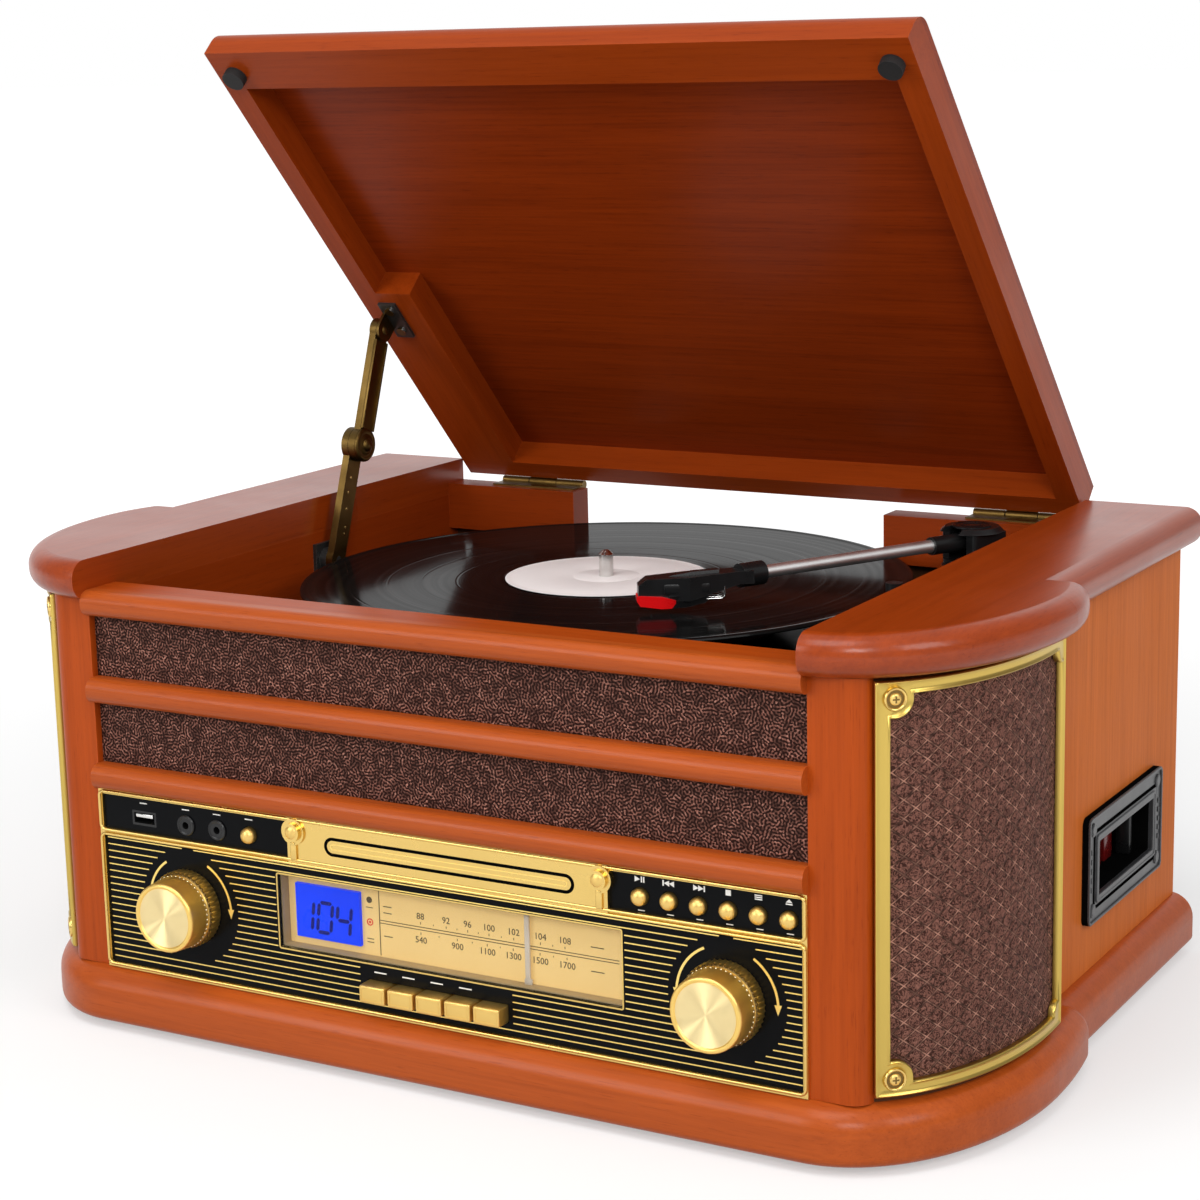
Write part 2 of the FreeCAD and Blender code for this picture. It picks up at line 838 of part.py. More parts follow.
def build_speakers():
    """Front board and bowed baffles, grille cloths, gilt grille frames with screws, drivers."""
    zs = (plinth_top, cap_bottom)
    cloth_inset = V.grille_inset + V.grille_thickness + V.grille_seat_gap
    cloth_inner = cloth_inset + V.cloth_thickness
    baffle_inset = cloth_inner + V.grille_seat_gap
    inner_inset = baffle_inset + V.baffle_thickness
    middle_y, middle_z = driver_middle()
    seat_x = bay_half + V.bow_reach - V.driver_seat_inset

    outer = bow_prism(baffle_inset, zs[0], zs[1], column_end)
    inner = bow_prism(inner_inset, zs[0], zs[1], column_end - V.baffle_thickness)
    keep = plain_block((post_outer, ledge_half + V.bow_reach), (front_line, column_end), zs)
    axis_start = FreeCAD.Vector(seat_x.value, middle_y.value, middle_z.value)
    along = FreeCAD.Vector(1, 0, 0)
    reach = V.bow_reach.value
    ring_outer = Part.makeCylinder(V.driver_radius.value, reach, axis_start, along)
    ring_bore = V.driver_radius.value - V.driver_ring_width.value
    ring_inner = Part.makeCylinder(ring_bore, reach, axis_start, along)
    baffle = outer.cut(inner).common(keep).cut(ring_inner)
    ring = ring_outer.cut(ring_inner).common(inner)
    baffle = baffle.fuse(ring).removeSplitter()

    board_zs = (fascia_top, top_rail_top)
    board = box("front_board", both_sides(bay_half), (board_front, board_rear), board_zs)
    baffles = [board, solid("baffle_right", baffle), solid("baffle_left", mirrored(baffle))]
    node(group("baffles", baffles), "baffle_boards")

    cloth = column_shell(cloth_inset, cloth_inner, post_outer, column_end, zs)
    cloths = [solid("grille_cloth_right", cloth), solid("grille_cloth_left", mirrored(cloth))]
    node(group("grille_cloth_pair", cloths), "grille_cloths")

    frame = grille_frame()
    frames = [solid("frame_right", frame), solid("frame_left", mirrored(frame))]
    node(group("frames", frames), "grille_frames")

    depth = V.driver_flange + V.driver_basket_depth
    basket = (
        (V.driver_radius - V.driver_ring_width, 0),
        (V.driver_radius, 0),
        (V.driver_radius, V.driver_flange),
        (V.driver_radius - V.driver_ring_width + V.driver_wall, V.driver_flange),
        (V.driver_magnet_radius, depth),
        (V.driver_magnet_radius, depth + V.driver_magnet_depth),
        (0, depth + V.driver_magnet_depth),
        (0, depth - V.driver_wall),
        (V.driver_magnet_radius - V.driver_wall, depth - V.driver_wall),
    )
    rim = V.driver_radius - V.driver_ring_width
    throat = V.driver_magnet_radius - V.driver_wall
    cone = (
        (0, depth - V.driver_wall),
        (0, depth - V.driver_wall * 3),
        (throat - V.driver_wall, depth - V.driver_wall * 3),
        (rim - V.driver_wall, 0),
        (rim - V.driver_cone_gap, 0),
        (throat - V.driver_cone_gap, depth - V.driver_wall),
    )
    drivers = []
    for x, turn in ((seat_x, TO_LEFT), (-seat_x, TO_RIGHT)):
        drivers.append(turned("driver_basket", basket, (x, middle_y, middle_z), turn))
        drivers.append(turned("driver_cone", cone, (x, middle_y, middle_z), turn))
    node(group("drivers", drivers), "speaker_drivers")


def grille_frame():
    """Right gilt frame: round lobes with screws in front, small clips at the back."""
    bottom = plinth_top + V.grille_low_margin
    top = cap_bottom - V.grille_top_margin
    start_x = post_outer + V.grille_post_gap
    outer_inset = V.grille_inset
    inner_inset = outer_inset + V.grille_thickness
    frame = column_shell(outer_inset, inner_inset, start_x, column_end, (bottom, top))
    window_x = start_x + V.grille_front_border
    window_y = column_end - V.grille_rear_border
    low = bottom + V.grille_edge_border
    high = top - V.grille_edge_border
    window = plain_block((window_x, ledge_half + V.bow_reach), (front_line, window_y), (low, high))
    skin = bow_prism(outer_inset - V.grille_screw_height, bottom, top, column_end)
    skin = skin.cut(bow_prism(outer_inset, bottom, top, column_end + V.cut_overrun))
    front_way = FreeCAD.Vector(0, -1, 0)
    side_way = FreeCAD.Vector(1, 0, 0)
    reach = V.bow_depth.value
    screws = []
    for height, inward in ((low, V.grille_screw_offset_z), (high, -V.grille_screw_offset_z)):
        front_at = FreeCAD.Vector(window_x.value, bow_centre.value, height.value)
        side_at = FreeCAD.Vector(bay_half.value, window_y.value, height.value)
        screw_at = front_at + FreeCAD.Vector(V.grille_screw_offset_x.value, 0, inward.value)
        window = window.cut(Part.makeCylinder(V.grille_lobe_radius.value, reach, front_at, front_way))
        window = window.cut(Part.makeCylinder(V.grille_clip_radius.value, reach, side_at, side_way))
        head = Part.makeCylinder(V.grille_screw_radius.value, reach, screw_at, front_way)
        screws.append(skin.common(head))
    return frame.cut(window).multiFuse(screws).removeSplitter()


def build_deck():
    """Deck plate with its bearing, platter, record, motor, pulley, belt and speed lever."""
    ys = (board_rear, back_front)
    plate = box("deck_blank", both_sides(bay_half), ys, (deck_bottom, deck_top))
    boss_low = deck_bottom - V.bearing_depth
    boss = cylinder("bearing", V.bearing_radius, V.bearing_depth, (record_x, record_y, boss_low))
    bore_low = boss_low + V.bearing_floor
    bore_radius = V.shaft_radius + V.shaft_clearance
    bore = cylinder("bearing_bore", bore_radius, deck_top - bore_low + V.cut_overrun,
                    (record_x, record_y, bore_low))
    pulley_x = record_x - V.pulley_offset
    under = deck_bottom - V.cut_overrun
    through = V.deck_thickness + V.cut_overrun * 2
    motor_hole = cylinder("motor_hole", V.motor_hole_radius, through, (pulley_x, record_y, under))
    lever_x = bay_half - V.speed_lever_inset
    lever_y = -V.speed_lever_forward
    slot_half = V.speed_slot_width / 2
    slot = box("speed_slot", (lever_x - slot_half, lever_x + slot_half),
               (lever_y, lever_y + V.speed_slot_length), (under, under + through))
    node(cut("deck", fuse("deck_body", [plate, boss]), [bore, motor_hole, slot]), "deck_plate")

    lever_half = V.speed_lever_width / 2
    lever_low = lever_y + (V.speed_slot_width - V.speed_lever_width) / 2
    lever_ys = (lever_low, lever_low + V.speed_lever_length)
    lever = box("lever", (lever_x - lever_half, lever_x + lever_half), lever_ys,
                (deck_bottom, deck_top + V.speed_lever_rise))
    node(lever, "speed_lever")

    plate_bottom = record_bottom - V.platter_plate
    rim_inner = V.platter_radius - V.platter_rim_wall
    drive_inner = V.drive_rim_radius - V.drive_rim_wall
    rim_low = record_bottom - V.platter_rim_depth
    drive_low = plate_bottom - V.drive_rim_depth
    hub_low = deck_top + V.hub_gap
    shaft_low = bore_low + V.shaft_end_gap
    spindle_top = record_top + V.spindle_rise
    profile = (
        (0, shaft_low),
        (V.shaft_radius, shaft_low),
        (V.shaft_radius, hub_low),
        (V.hub_radius, hub_low),
        (V.hub_radius, plate_bottom),
        (drive_inner, plate_bottom),
        (drive_inner, drive_low),
        (V.drive_rim_radius, drive_low),
        (V.drive_rim_radius, plate_bottom),
        (rim_inner, plate_bottom),
        (rim_inner, rim_low),
        (V.platter_radius, rim_low),
        (V.platter_radius, record_bottom),
        (V.spindle_radius, record_bottom),
        (V.spindle_radius, spindle_top - V.spindle_tip),
        (V.spindle_radius - V.spindle_tip, spindle_top),
        (0, spindle_top),
    )
    node(turned("platter", profile, (record_x, record_y, 0)), "platter_and_spindle")

    edge = V.record_radius - V.record_rim_round
    disc = (
        (V.record_hole_radius, record_bottom),
        (edge, record_bottom),
        (V.record_radius, record_bottom + V.record_rim_round),
        (V.record_radius, record_top - V.record_rim_round),
        (edge, record_top),
        (V.record_hole_radius, record_top),
    )
    node(turned("disc", disc, (record_x, record_y, 0)), "vinyl_record")
    label_top = record_top + V.label_thickness
    label = (
        (V.record_hole_radius, record_top),
        (V.label_radius, record_top),
        (V.label_radius, label_top),
        (V.record_hole_radius, label_top),
    )
    node(turned("label", label, (record_x, record_y, 0)), "record_label")

    belt_low = drive_low + (V.drive_rim_depth - V.belt_width) / 2
    pulley_low = belt_low + (V.belt_width - V.pulley_height) / 2
    flange = V.pulley_radius + V.pulley_flange
    pulley_top = pulley_low + V.pulley_height
    shaft_start = deck_bottom - V.shaft_end_gap
    pulley = (
        (0, shaft_start),
        (V.motor_shaft_radius, shaft_start),
        (V.motor_shaft_radius, pulley_low),
        (flange, pulley_low),
        (V.pulley_radius, pulley_low + V.pulley_flange),
        (V.pulley_radius, pulley_top - V.pulley_flange),
        (flange, pulley_top),
        (0, pulley_top),
    )
    node(turned("pulley", pulley, (pulley_x, record_y, 0)), "motor_pulley")

    motor_at = (pulley_x, record_y, deck_bottom - V.motor_height)
    motor = cylinder("motor_can", V.motor_radius, V.motor_height, motor_at)
    hole_at = (pulley_x, record_y, deck_bottom - V.shaft_end_gap * 2)
    mouth_depth = V.shaft_end_gap * 2 + V.cut_overrun
    shaft_hole = cylinder("motor_mouth", V.motor_shaft_radius * 2, mouth_depth, hole_at)
    node(cut("motor", motor, [shaft_hole]), "drive_motor")

    node(solid("belt", belt_loop(belt_low, pulley_x)), "drive_belt")


def belt_loop(low, pulley_x):
    """Flat belt round the platter's drive rim and the motor pulley."""
    inner = [V.drive_rim_radius + V.belt_clearance, V.pulley_radius + V.belt_clearance]
    outer = [radius + V.belt_thickness for radius in inner]
    centres = [record_x.value, pulley_x.value]
    return loop_prism(outer, centres, low).cut(loop_prism(inner, centres, low))


def loop_prism(radii, centres, low):
    """What a taut loop round two level circles encloses, one belt width high."""
    big, small = [radius.value for radius in radii]
    span = centres[0] - centres[1]
    lean = math.acos((big - small) / span)
    middle_y = record_y.value

    def on_circle(centre, radius, angle):
        x = centre + radius * math.cos(angle)
        return FreeCAD.Vector(x, middle_y + radius * math.sin(angle), low.value)

    turn = math.pi - lean
    top_big = on_circle(centres[0], big, turn)
    low_big = on_circle(centres[0], big, -turn)
    top_small = on_circle(centres[1], small, turn)
    low_small = on_circle(centres[1], small, -turn)
    edges = [
        Part.Arc(low_big, on_circle(centres[0], big, 0), top_big).toShape(),
        Part.LineSegment(top_big, top_small).toShape(),
        Part.Arc(top_small, on_circle(centres[1], small, math.pi), low_small).toShape(),
        Part.LineSegment(low_small, low_big).toShape(),
    ]
    return Part.Face(Part.Wire(edges)).extrude(FreeCAD.Vector(0, 0, V.belt_width.value))


def place_on_arm(part):
    """Put a piece made along local X, from the pivot, where the tonearm lies."""
    turn = FreeCAD.Rotation(FreeCAD.Vector(0, 0, -1), HALF_TURN / 2 + V.arm_angle.value)
    return place(part, (arm_pivot_x, V.arm_pivot_y, deck_top + V.arm_axis_rise), turn)


def build_tonearm():
    """Pedestal and rest, yoke that swings, then the arm itself, which also lifts."""
    waist = V.arm_base_radius - V.arm_base_flange
    height = V.arm_base_height
    pedestal = (
        (0, 0),
        (V.arm_base_radius + V.arm_base_flange, 0),
        (V.arm_base_radius + V.arm_base_flange, V.arm_base_flange),
        (waist, V.arm_base_flange * 2),
        (waist, height - V.arm_base_flange),
        (V.arm_base_radius, height),
        (0, height),
    )
    rest_height = V.arm_axis_rise - V.tube_radius - V.arm_gap
    rest_at = (arm_pivot_x, V.arm_pivot_y - V.arm_rest_reach, deck_top)
    parts = [
        turned("pedestal", pedestal, (arm_pivot_x, V.arm_pivot_y, deck_top)),
        cylinder("arm_rest", V.arm_rest_radius, rest_height, rest_at),
    ]
    node(group("arm_base", parts), "tonearm_base")

    floor_low = V.arm_base_height + V.arm_gap - V.arm_axis_rise
    floor_top = floor_low + V.yoke_floor
    half = V.yoke_width / 2
    inside = half - V.yoke_cheek
    length = (-V.yoke_back, V.yoke_front)
    cover_top = V.yoke_rise + V.yoke_cover
    block = box("yoke_blank", length, both_sides(half), (floor_top, V.yoke_rise))
    rounded = round_edges("yoke_rounded", block, V.yoke_round, is_upright)
    lip = V.yoke_cover_radius - V.yoke_cover
    cover = (
        (0, V.yoke_rise),
        (V.yoke_cover_radius, V.yoke_rise),
        (lip, cover_top),
        (0, cover_top),
    )
    crown = turned("yoke_crown", cover, (0, 0, 0))
    disc = cylinder("yoke_floor", V.yoke_radius, V.yoke_floor, (0, 0, floor_low))
    slot_back = -V.root_radius - V.arm_gap * 4
    slot = box("yoke_slot", (slot_back, V.yoke_front + V.cut_overrun), both_sides(inside),
               (floor_top, V.yoke_rise))
    mouth_start = V.root_radius / 2
    mouth = box("yoke_mouth", (mouth_start, V.yoke_cover_radius + V.cut_overrun), both_sides(inside),
                (floor_top, cover_top + V.cut_overrun))
    yoke = cut("yoke", fuse("yoke_body", [rounded, disc, crown]), [slot, mouth])
    node(place_on_arm(yoke), "tonearm_yoke")

    barrel_half = inside - V.arm_gap
    barrel_at = (0, -barrel_half, 0)
    barrel = cylinder("root_barrel", V.root_radius, barrel_half * 2, barrel_at, TO_BACK)
    sleeve = cylinder("root_sleeve", V.root_radius, V.root_length, (0, 0, 0), TO_RIGHT)
    node(place_on_arm(fuse("root", [barrel, sleeve])), "tonearm_root")

    tube_length = V.tube_end - V.root_length
    tube = cylinder("tube", V.tube_radius, tube_length, (V.root_length, 0, 0), TO_RIGHT)
    node(place_on_arm(group("tube_group", [tube])), "tonearm_tube")
    build_headshell()


def is_upright(edge):
    """An upright edge."""
    return edge.BoundBox.ZLength > NUDGE


def build_headshell():
    """Collar, cranked wedge of a headshell, cartridge and red stylus guard."""
    collar_at = (V.tube_end, 0, 0)
    collar = cylinder("collar", V.collar_radius, V.collar_length, collar_at, TO_RIGHT)
    bend_x = V.tube_end + V.collar_length
    length = V.headshell_length
    root = V.headshell_root_height
    chamfer = V.headshell_chamfer
    bottom = -V.headshell_depth
    belly = length - V.stylus_length
    tip_low = record_top - deck_top - V.arm_axis_rise + V.stylus_gap
    profile = (
        (-V.collar_length / 2, -root / 2),
        (0, -root / 2),
        (belly, bottom),
        (length - chamfer, bottom),
        (length, -V.headshell_nose_low),
        (length, -V.headshell_nose_top),
        (length - chamfer, V.headshell_crown - chamfer / 4),
        (belly, V.headshell_crown),
        (0, root / 2),
        (-V.collar_length / 2, root / 2),
    )
    half = V.headshell_width / 2
    side_on = FreeCAD.Rotation(FreeCAD.Vector(1, 0, 0), 90)
    wedge = padded("wedge", profile, V.headshell_width, (0, half, 0), side_on)
    root_half = V.headshell_root_width / 2
    nose_half = V.headshell_nose_width / 2
    plan = (
        (-V.collar_length, -root_half),
        (0, -root_half),
        (length / 2, -half),
        (length, -nose_half),
        (length, nose_half),
        (length / 2, half),
        (0, root_half),
        (-V.collar_length, root_half),
    )
    plan_height = V.headshell_depth * 4
    plan_pad = padded("plan", plan, plan_height, (0, 0, -plan_height / 2))
    shell = common("shell", wedge, plan_pad)
    crank = FreeCAD.Rotation(FreeCAD.Vector(0, 0, -1), V.headshell_angle.value)
    place(shell, (bend_x, 0, 0), crank)
    node(place_on_arm(fuse("headshell", [collar, shell])), "headshell")

    guard_end = length - V.stylus_set_back - chamfer
    guard_start = guard_end - V.stylus_length + chamfer
    guard = (
        (guard_start, bottom),
        (guard_start + V.stylus_nose, tip_low),
        (guard_end - V.stylus_nose, tip_low),
        (guard_end, bottom),
    )
    stylus_half = V.stylus_width / 2
    unit = group("guard", [padded("guard_pad", guard, V.stylus_width, (0, stylus_half, 0), side_on)])
    place(unit, (bend_x, 0, 0), crank)
    node(place_on_arm(group("stylus", [unit])), "stylus_unit")


# Hinge axis of the lid, in the plane across the cabinet
hinge_y = rear_line + V.hinge_knuckle_radius + V.hinge_gap
hinge_z = back_top + V.block_height + V.hinge_leaf + V.hinge_leaf_gap / 2
lid_rear = -(V.hinge_knuckle_radius + V.hinge_gap)
lid_front = lid_rear - V.lid_length
lid_under = V.hinge_leaf_gap / 2 + V.hinge_leaf
lid_half = bay_half - V.lid_side_gap
lid_left = V.lid_shift - lid_half
lid_right = V.lid_shift + lid_half


def place_on_lid(part):
    """Put a piece made as on the closed lid, from the hinge axis, where the lid stands open."""
    turn = FreeCAD.Rotation(FreeCAD.Vector(-1, 0, 0), V.lid_open_angle.value)
    place(part, (0, hinge_y, hinge_z), turn)
    part.setExpression("Placement.Rotation.Angle", V.lid_open_angle.text)
    return part


def hinge_middles():
    """Middle of the left and the right hinge."""
    return V.hinge_left_centre - bay_half, bay_half - V.hinge_right_centre


def build_lid():
    """Lid panel, its four rails and the stay's block, bumpers and both halves of the hinges."""
    lid_top = lid_under + V.lid_thickness
    seam = lid_top - V.lid_panel_thickness
    slab = box("slab", (lid_left, lid_right), (lid_front, lid_rear), (lid_under, lid_top))
    rounded = round_edges("slab_rounded", slab, V.lid_front_round, is_lid_nose(lid_top))
    over = V.cut_overrun
    wide = (lid_left - over, lid_right + over)
    upper = box("lid_upper", wide, (lid_front - over, lid_rear + over), (seam, lid_top + over))
    node(place_on_lid(common("lid_top_sheet", rounded, upper)), "lid_panel")

    front_line_of_well = lid_front + V.lid_front_rail
    rear_line_of_well = lid_rear - V.lid_rear_rail
    well_left = lid_left + V.lid_side_rail
    well_right = lid_right - V.lid_side_rail
    rail_zs = (lid_under, seam)
    well = (front_line_of_well, rear_line_of_well)
    front_space = box("front_rail_space", wide, (lid_front - over, front_line_of_well),
                      (lid_under - over, seam))
    rails = [
        common("lid_front_rail_piece", rounded, front_space),
        box("lid_rear_rail_piece", (lid_left, lid_right), (rear_line_of_well, lid_rear), rail_zs),
        box("lid_left_rail_piece", (lid_left, well_left), well, rail_zs),
        box("lid_right_rail_piece", (well_right, lid_right), well, rail_zs),
        box("stay_block_piece", (well_left, well_left + V.stay_block_width),
            (rear_line_of_well - V.stay_block_length, rear_line_of_well), rail_zs),
    ]
    node(place_on_lid(group("lid_rail_group", rails)), "lid_rails")

    bumper_low = top_rail_top + V.bumper_gap - hinge_z
    bumper_y = lid_front + V.bumper_set_back
    bumpers = [
        cylinder("bumper", V.bumper_radius, lid_under - bumper_low, (x, bumper_y, bumper_low))
        for x in (lid_left + V.bumper_side_inset, lid_right - V.bumper_side_inset)
    ]
    node(place_on_lid(group("bumper_pair", bumpers)), "lid_bumpers")
    build_hinges()
    build_stay()


def is_lid_nose(top):
    """A chooser for the upper front edge of the lid."""
    def chosen(edge):
        box_of = edge.BoundBox
        return box_of.YMax < lid_front.value + NUDGE and box_of.ZMin > top.value - NUDGE
    return chosen


def hinge_leaf(name, xs, middle_x, zs, outer_knuckles):
    """One leaf of a hinge with its knuckles, in the closed position, from the hinge axis."""
    leaf_ys = (lid_rear - V.hinge_leaf_depth, 0)
    parts = [box(name + "_leaf", xs, leaf_ys, zs)]
    third = V.hinge_length / 3
    starts = [xs[0], xs[1] - third] if outer_knuckles else [middle_x - third / 2]
    for start in starts:
        parts.append(cylinder(name + "_knuckle", V.hinge_knuckle_radius, third, (start, 0, 0), TO_RIGHT))
    return fuse(name + "_body", parts)


def build_hinges():
    """Two butt hinges: the cabinet's leaves keep the pins, and the lid's leaves turn on them."""
    half = V.hinge_length / 2
    third = V.hinge_length / 3
    half_gap = V.hinge_leaf_gap / 2
    reach = V.hinge_knuckle_radius + V.cut_overrun
    cabinet_leaves = []
    lid_leaves = []
    for side, middle in zip(("left", "right"), hinge_middles()):
        xs = (middle - half, middle + half)
        low = hinge_leaf("fixed_" + side, xs, middle, (-V.hinge_leaf - half_gap, -half_gap), True)
        room = box("fixed_room_" + side,
                   (middle - third / 2 - V.hinge_gap, middle + third / 2 + V.hinge_gap),
                   (lid_rear, reach), both_sides(reach))
        pin = cylinder("pin_" + side, V.hinge_pin_radius, V.hinge_length, (xs[0], 0, 0), TO_RIGHT)
        fixed = fuse("fixed_hinge_" + side, [cut("fixed_cut_" + side, low, [room]), pin])
        cabinet_leaves.append(fixed)
        high = hinge_leaf("moving_" + side, xs, middle, (half_gap, half_gap + V.hinge_leaf), False)
        bore_radius = V.hinge_pin_radius + V.hinge_clearance
        bore = cylinder("bore_" + side, bore_radius, V.hinge_length, (xs[0], 0, 0), TO_RIGHT)
        rooms = [
            box("moving_room_%s_%d" % (side, index), room_xs, (lid_rear, reach), both_sides(reach))
            for index, room_xs in enumerate((
                (xs[0] - V.cut_overrun, middle - third / 2),
                (middle + third / 2, xs[1] + V.cut_overrun),
            ))
        ]
        lid_leaves.append(cut("moving_hinge_" + side, high, [bore] + rooms))
    fixed_group = group("fixed_hinges", cabinet_leaves + stay_wall_fitting())
    place(fixed_group, (0, hinge_y, hinge_z))
    node(fixed_group, "cabinet_hinge_fittings")
    node(place_on_lid(group("moving_hinges", lid_leaves)), "lid_hinge_leaves")


def stay_points():
    """The stay's lid pivot with the lid open, its wall pivot and the angle of the line between."""
    angle = math.radians(V.lid_open_angle.value)
    closed_y = -V.stay_reach.value
    closed_z = (lid_under - V.stay_drop).value
    lid_y = hinge_y.value + closed_y * math.cos(angle) + closed_z * math.sin(angle)
    lid_z = hinge_z.value - closed_y * math.sin(angle) + closed_z * math.cos(angle)
    wall_y = V.stay_wall_y.value
    wall_z = (deck_top + V.stay_wall_rise).value
    length = math.hypot(lid_y - wall_y, lid_z - wall_z) / 2
    lean = math.degrees(math.atan2(lid_z - wall_z, lid_y - wall_y))
    return (lid_y, lid_z), (wall_y, wall_z), length, lean


# Planes of the stay's layers, from the lid's left rail outwards
stay_ear_right = lid_left + V.lid_side_rail
stay_ear_left = stay_ear_right - V.stay_ear_thickness
stay_upper_left = stay_ear_left - V.stay_gap - V.stay_arm_thickness
stay_lower_left = stay_upper_left - V.stay_gap - V.stay_arm_thickness


def stay_arm(name, length, left, rivet_x, eye_bore):
    """One bar of the stay along local Y with an eye at each end and a rivet head at the elbow."""
    half = V.stay_arm_width / 2
    right = left + V.stay_arm_thickness
    bar = box(name + "_bar", (left, right), (0, length), both_sides(half))
    eyes = [
        cylinder(name + "_eye", V.stay_eye_radius, V.stay_arm_thickness, (left, 0, 0), TO_RIGHT),
        cylinder(name + "_elbow", V.stay_elbow_radius, V.stay_arm_thickness, (left, length, 0), TO_RIGHT),
    ]
    head_at = (rivet_x, length, 0)
    head = cylinder(name + "_rivet", V.stay_rivet_head, V.stay_rivet_height, head_at, TO_RIGHT)
    body = fuse(name + "_body", [bar] + eyes + [head])
    bore_at = (left - V.cut_overrun, 0, 0)
    bore_length = V.stay_arm_thickness + V.cut_overrun * 2
    return cut(name, body, [cylinder(name + "_bore", eye_bore, bore_length, bore_at, TO_RIGHT)])


def build_stay():
    """Bracket on the lid, upper and lower arm of the folding stay, straight with the lid open."""
    lid_pivot, wall_pivot, length, lean = stay_points()
    pivot_z = lid_under - V.stay_drop
    half_plate = V.stay_plate_length / 2
    plate_low = lid_under - V.stay_plate_thickness
    plate = box("bracket_plate", (stay_ear_left, stay_ear_left + V.stay_plate_width),
                (-V.stay_reach - half_plate, half_plate - V.stay_reach), (plate_low, lid_under))
    ear = box("bracket_ear", (stay_ear_left, stay_ear_right),
              (-V.stay_reach - V.stay_eye_radius, V.stay_eye_radius - V.stay_reach),
              (pivot_z, lid_under))
    eye = cylinder("bracket_eye", V.stay_eye_radius, V.stay_ear_thickness,
                   (stay_ear_left, -V.stay_reach, pivot_z), TO_RIGHT)
    rivet_left = stay_upper_left - V.stay_rivet_height
    rivet = cylinder("bracket_rivet", V.stay_rivet_radius, stay_ear_right - stay_upper_left,
                     (stay_upper_left, -V.stay_reach, pivot_z), TO_RIGHT)
    screw_x = stay_ear_left + V.stay_plate_width - V.stay_screw_radius * 2
    screw_low = plate_low - V.stay_screw_height
    screws = [
        cylinder("bracket_screw", V.stay_screw_radius, V.stay_screw_height, (screw_x, y, screw_low))
        for y in (V.stay_screw_radius * 2 - half_plate - V.stay_reach,
                  half_plate - V.stay_screw_radius * 2 - V.stay_reach)
    ]
    node(place_on_lid(fuse("bracket", [plate, ear, eye, rivet] + screws)), "stay_bracket")

    bore = V.stay_rivet_radius + V.stay_pin_clearance
    arm_length = as_size(length)
    upper = stay_arm("upper_arm", arm_length, stay_upper_left, stay_upper_left + V.stay_arm_thickness, bore)
    upper_turn = FreeCAD.Rotation(FreeCAD.Vector(1, 0, 0), lean - HALF_TURN)
    node(place(upper, (0, lid_pivot[0], lid_pivot[1]), upper_turn), "stay_upper_arm")
    lower = stay_arm("lower_arm", arm_length, stay_lower_left, stay_lower_left - V.stay_rivet_height, bore)
    lower_turn = FreeCAD.Rotation(FreeCAD.Vector(1, 0, 0), lean)
    node(place(lower, (0, wall_pivot[0], wall_pivot[1]), lower_turn), "stay_lower_arm")


def stay_wall_fitting():
    """Brass plate on the left bay wall with the lower arm's stud, from the hinge axis."""
    y = V.stay_wall_y - hinge_y
    z = deck_top + V.stay_wall_rise - hinge_z
    half = V.stay_wall_plate_size / 2
    plate = box("wall_plate", (-bay_half, V.stay_wall_plate - bay_half), (y - half, y + half),
                (z - half, z + half))
    boss_left = V.stay_wall_plate - bay_half
    boss = cylinder("wall_boss", V.stay_eye_radius, stay_lower_left - V.stay_gap - boss_left,
                    (boss_left, y, z), TO_RIGHT)
    stud_left = stay_lower_left - V.stay_gap
    stud = cylinder("wall_stud", V.stay_rivet_radius, V.stay_arm_thickness + V.stay_gap,
                    (stud_left, y, z), TO_RIGHT)
    return [fuse("wall_fitting", [plate, boss, stud])]


def fascia_hole(name, radius, x, rise):
    """A round hole through the fascia and what lies on it."""
    start = fascia_front - V.plate_thickness - V.cut_overrun
    depth = V.plate_thickness + V.fascia_thickness + V.cut_overrun * 2
    return cylinder(name, radius, depth, (x, start, plinth_top + rise), TO_BACK)


def fascia_slot(name, xs, zs):
    """A rectangular hole through the fascia and what lies on it."""
    ys = (fascia_front - V.plate_thickness - V.cut_overrun, fascia_rear + V.cut_overrun)
    return box(name, xs, ys, zs)


def button_places():
    """Name and X of each round push button."""
    places = [("mode_button", -button_left_x)]
    names = ("play", "skip_back", "skip_forward", "stop", "program", "open_close")
    for index, name in enumerate(names):
        places.append((name + "_button", button_first_x + V.button_pitch * index))
    return places


def key_places():
    """Name and left edge of each function key."""
    half = V.key_width / 2
    names = ("tuner", "disc", "tape", "phono", "power")
    return [
        (name + "_key", V.key_pitch * index - V.key_first_x - half)
        for index, name in enumerate(names)
    ]


def drawer_outline(name, growth, ys):
    """The disc drawer's long rounded section, widened all round by a gap."""
    radius = V.drawer_height / 2
    z = plinth_top + V.drawer_rise
    ends = (-V.drawer_left + radius, V.drawer_right - radius)
    big = radius + growth
    length = as_size(ys[1]) - ys[0]
    parts = [box(name + "_middle", ends, ys, (z - big, z + big))]
    for index, x in enumerate(ends):
        parts.append(cylinder("%s_end_%d" % (name, index), big, length, (x, ys[0], z), TO_BACK))
    return fuse(name, parts)


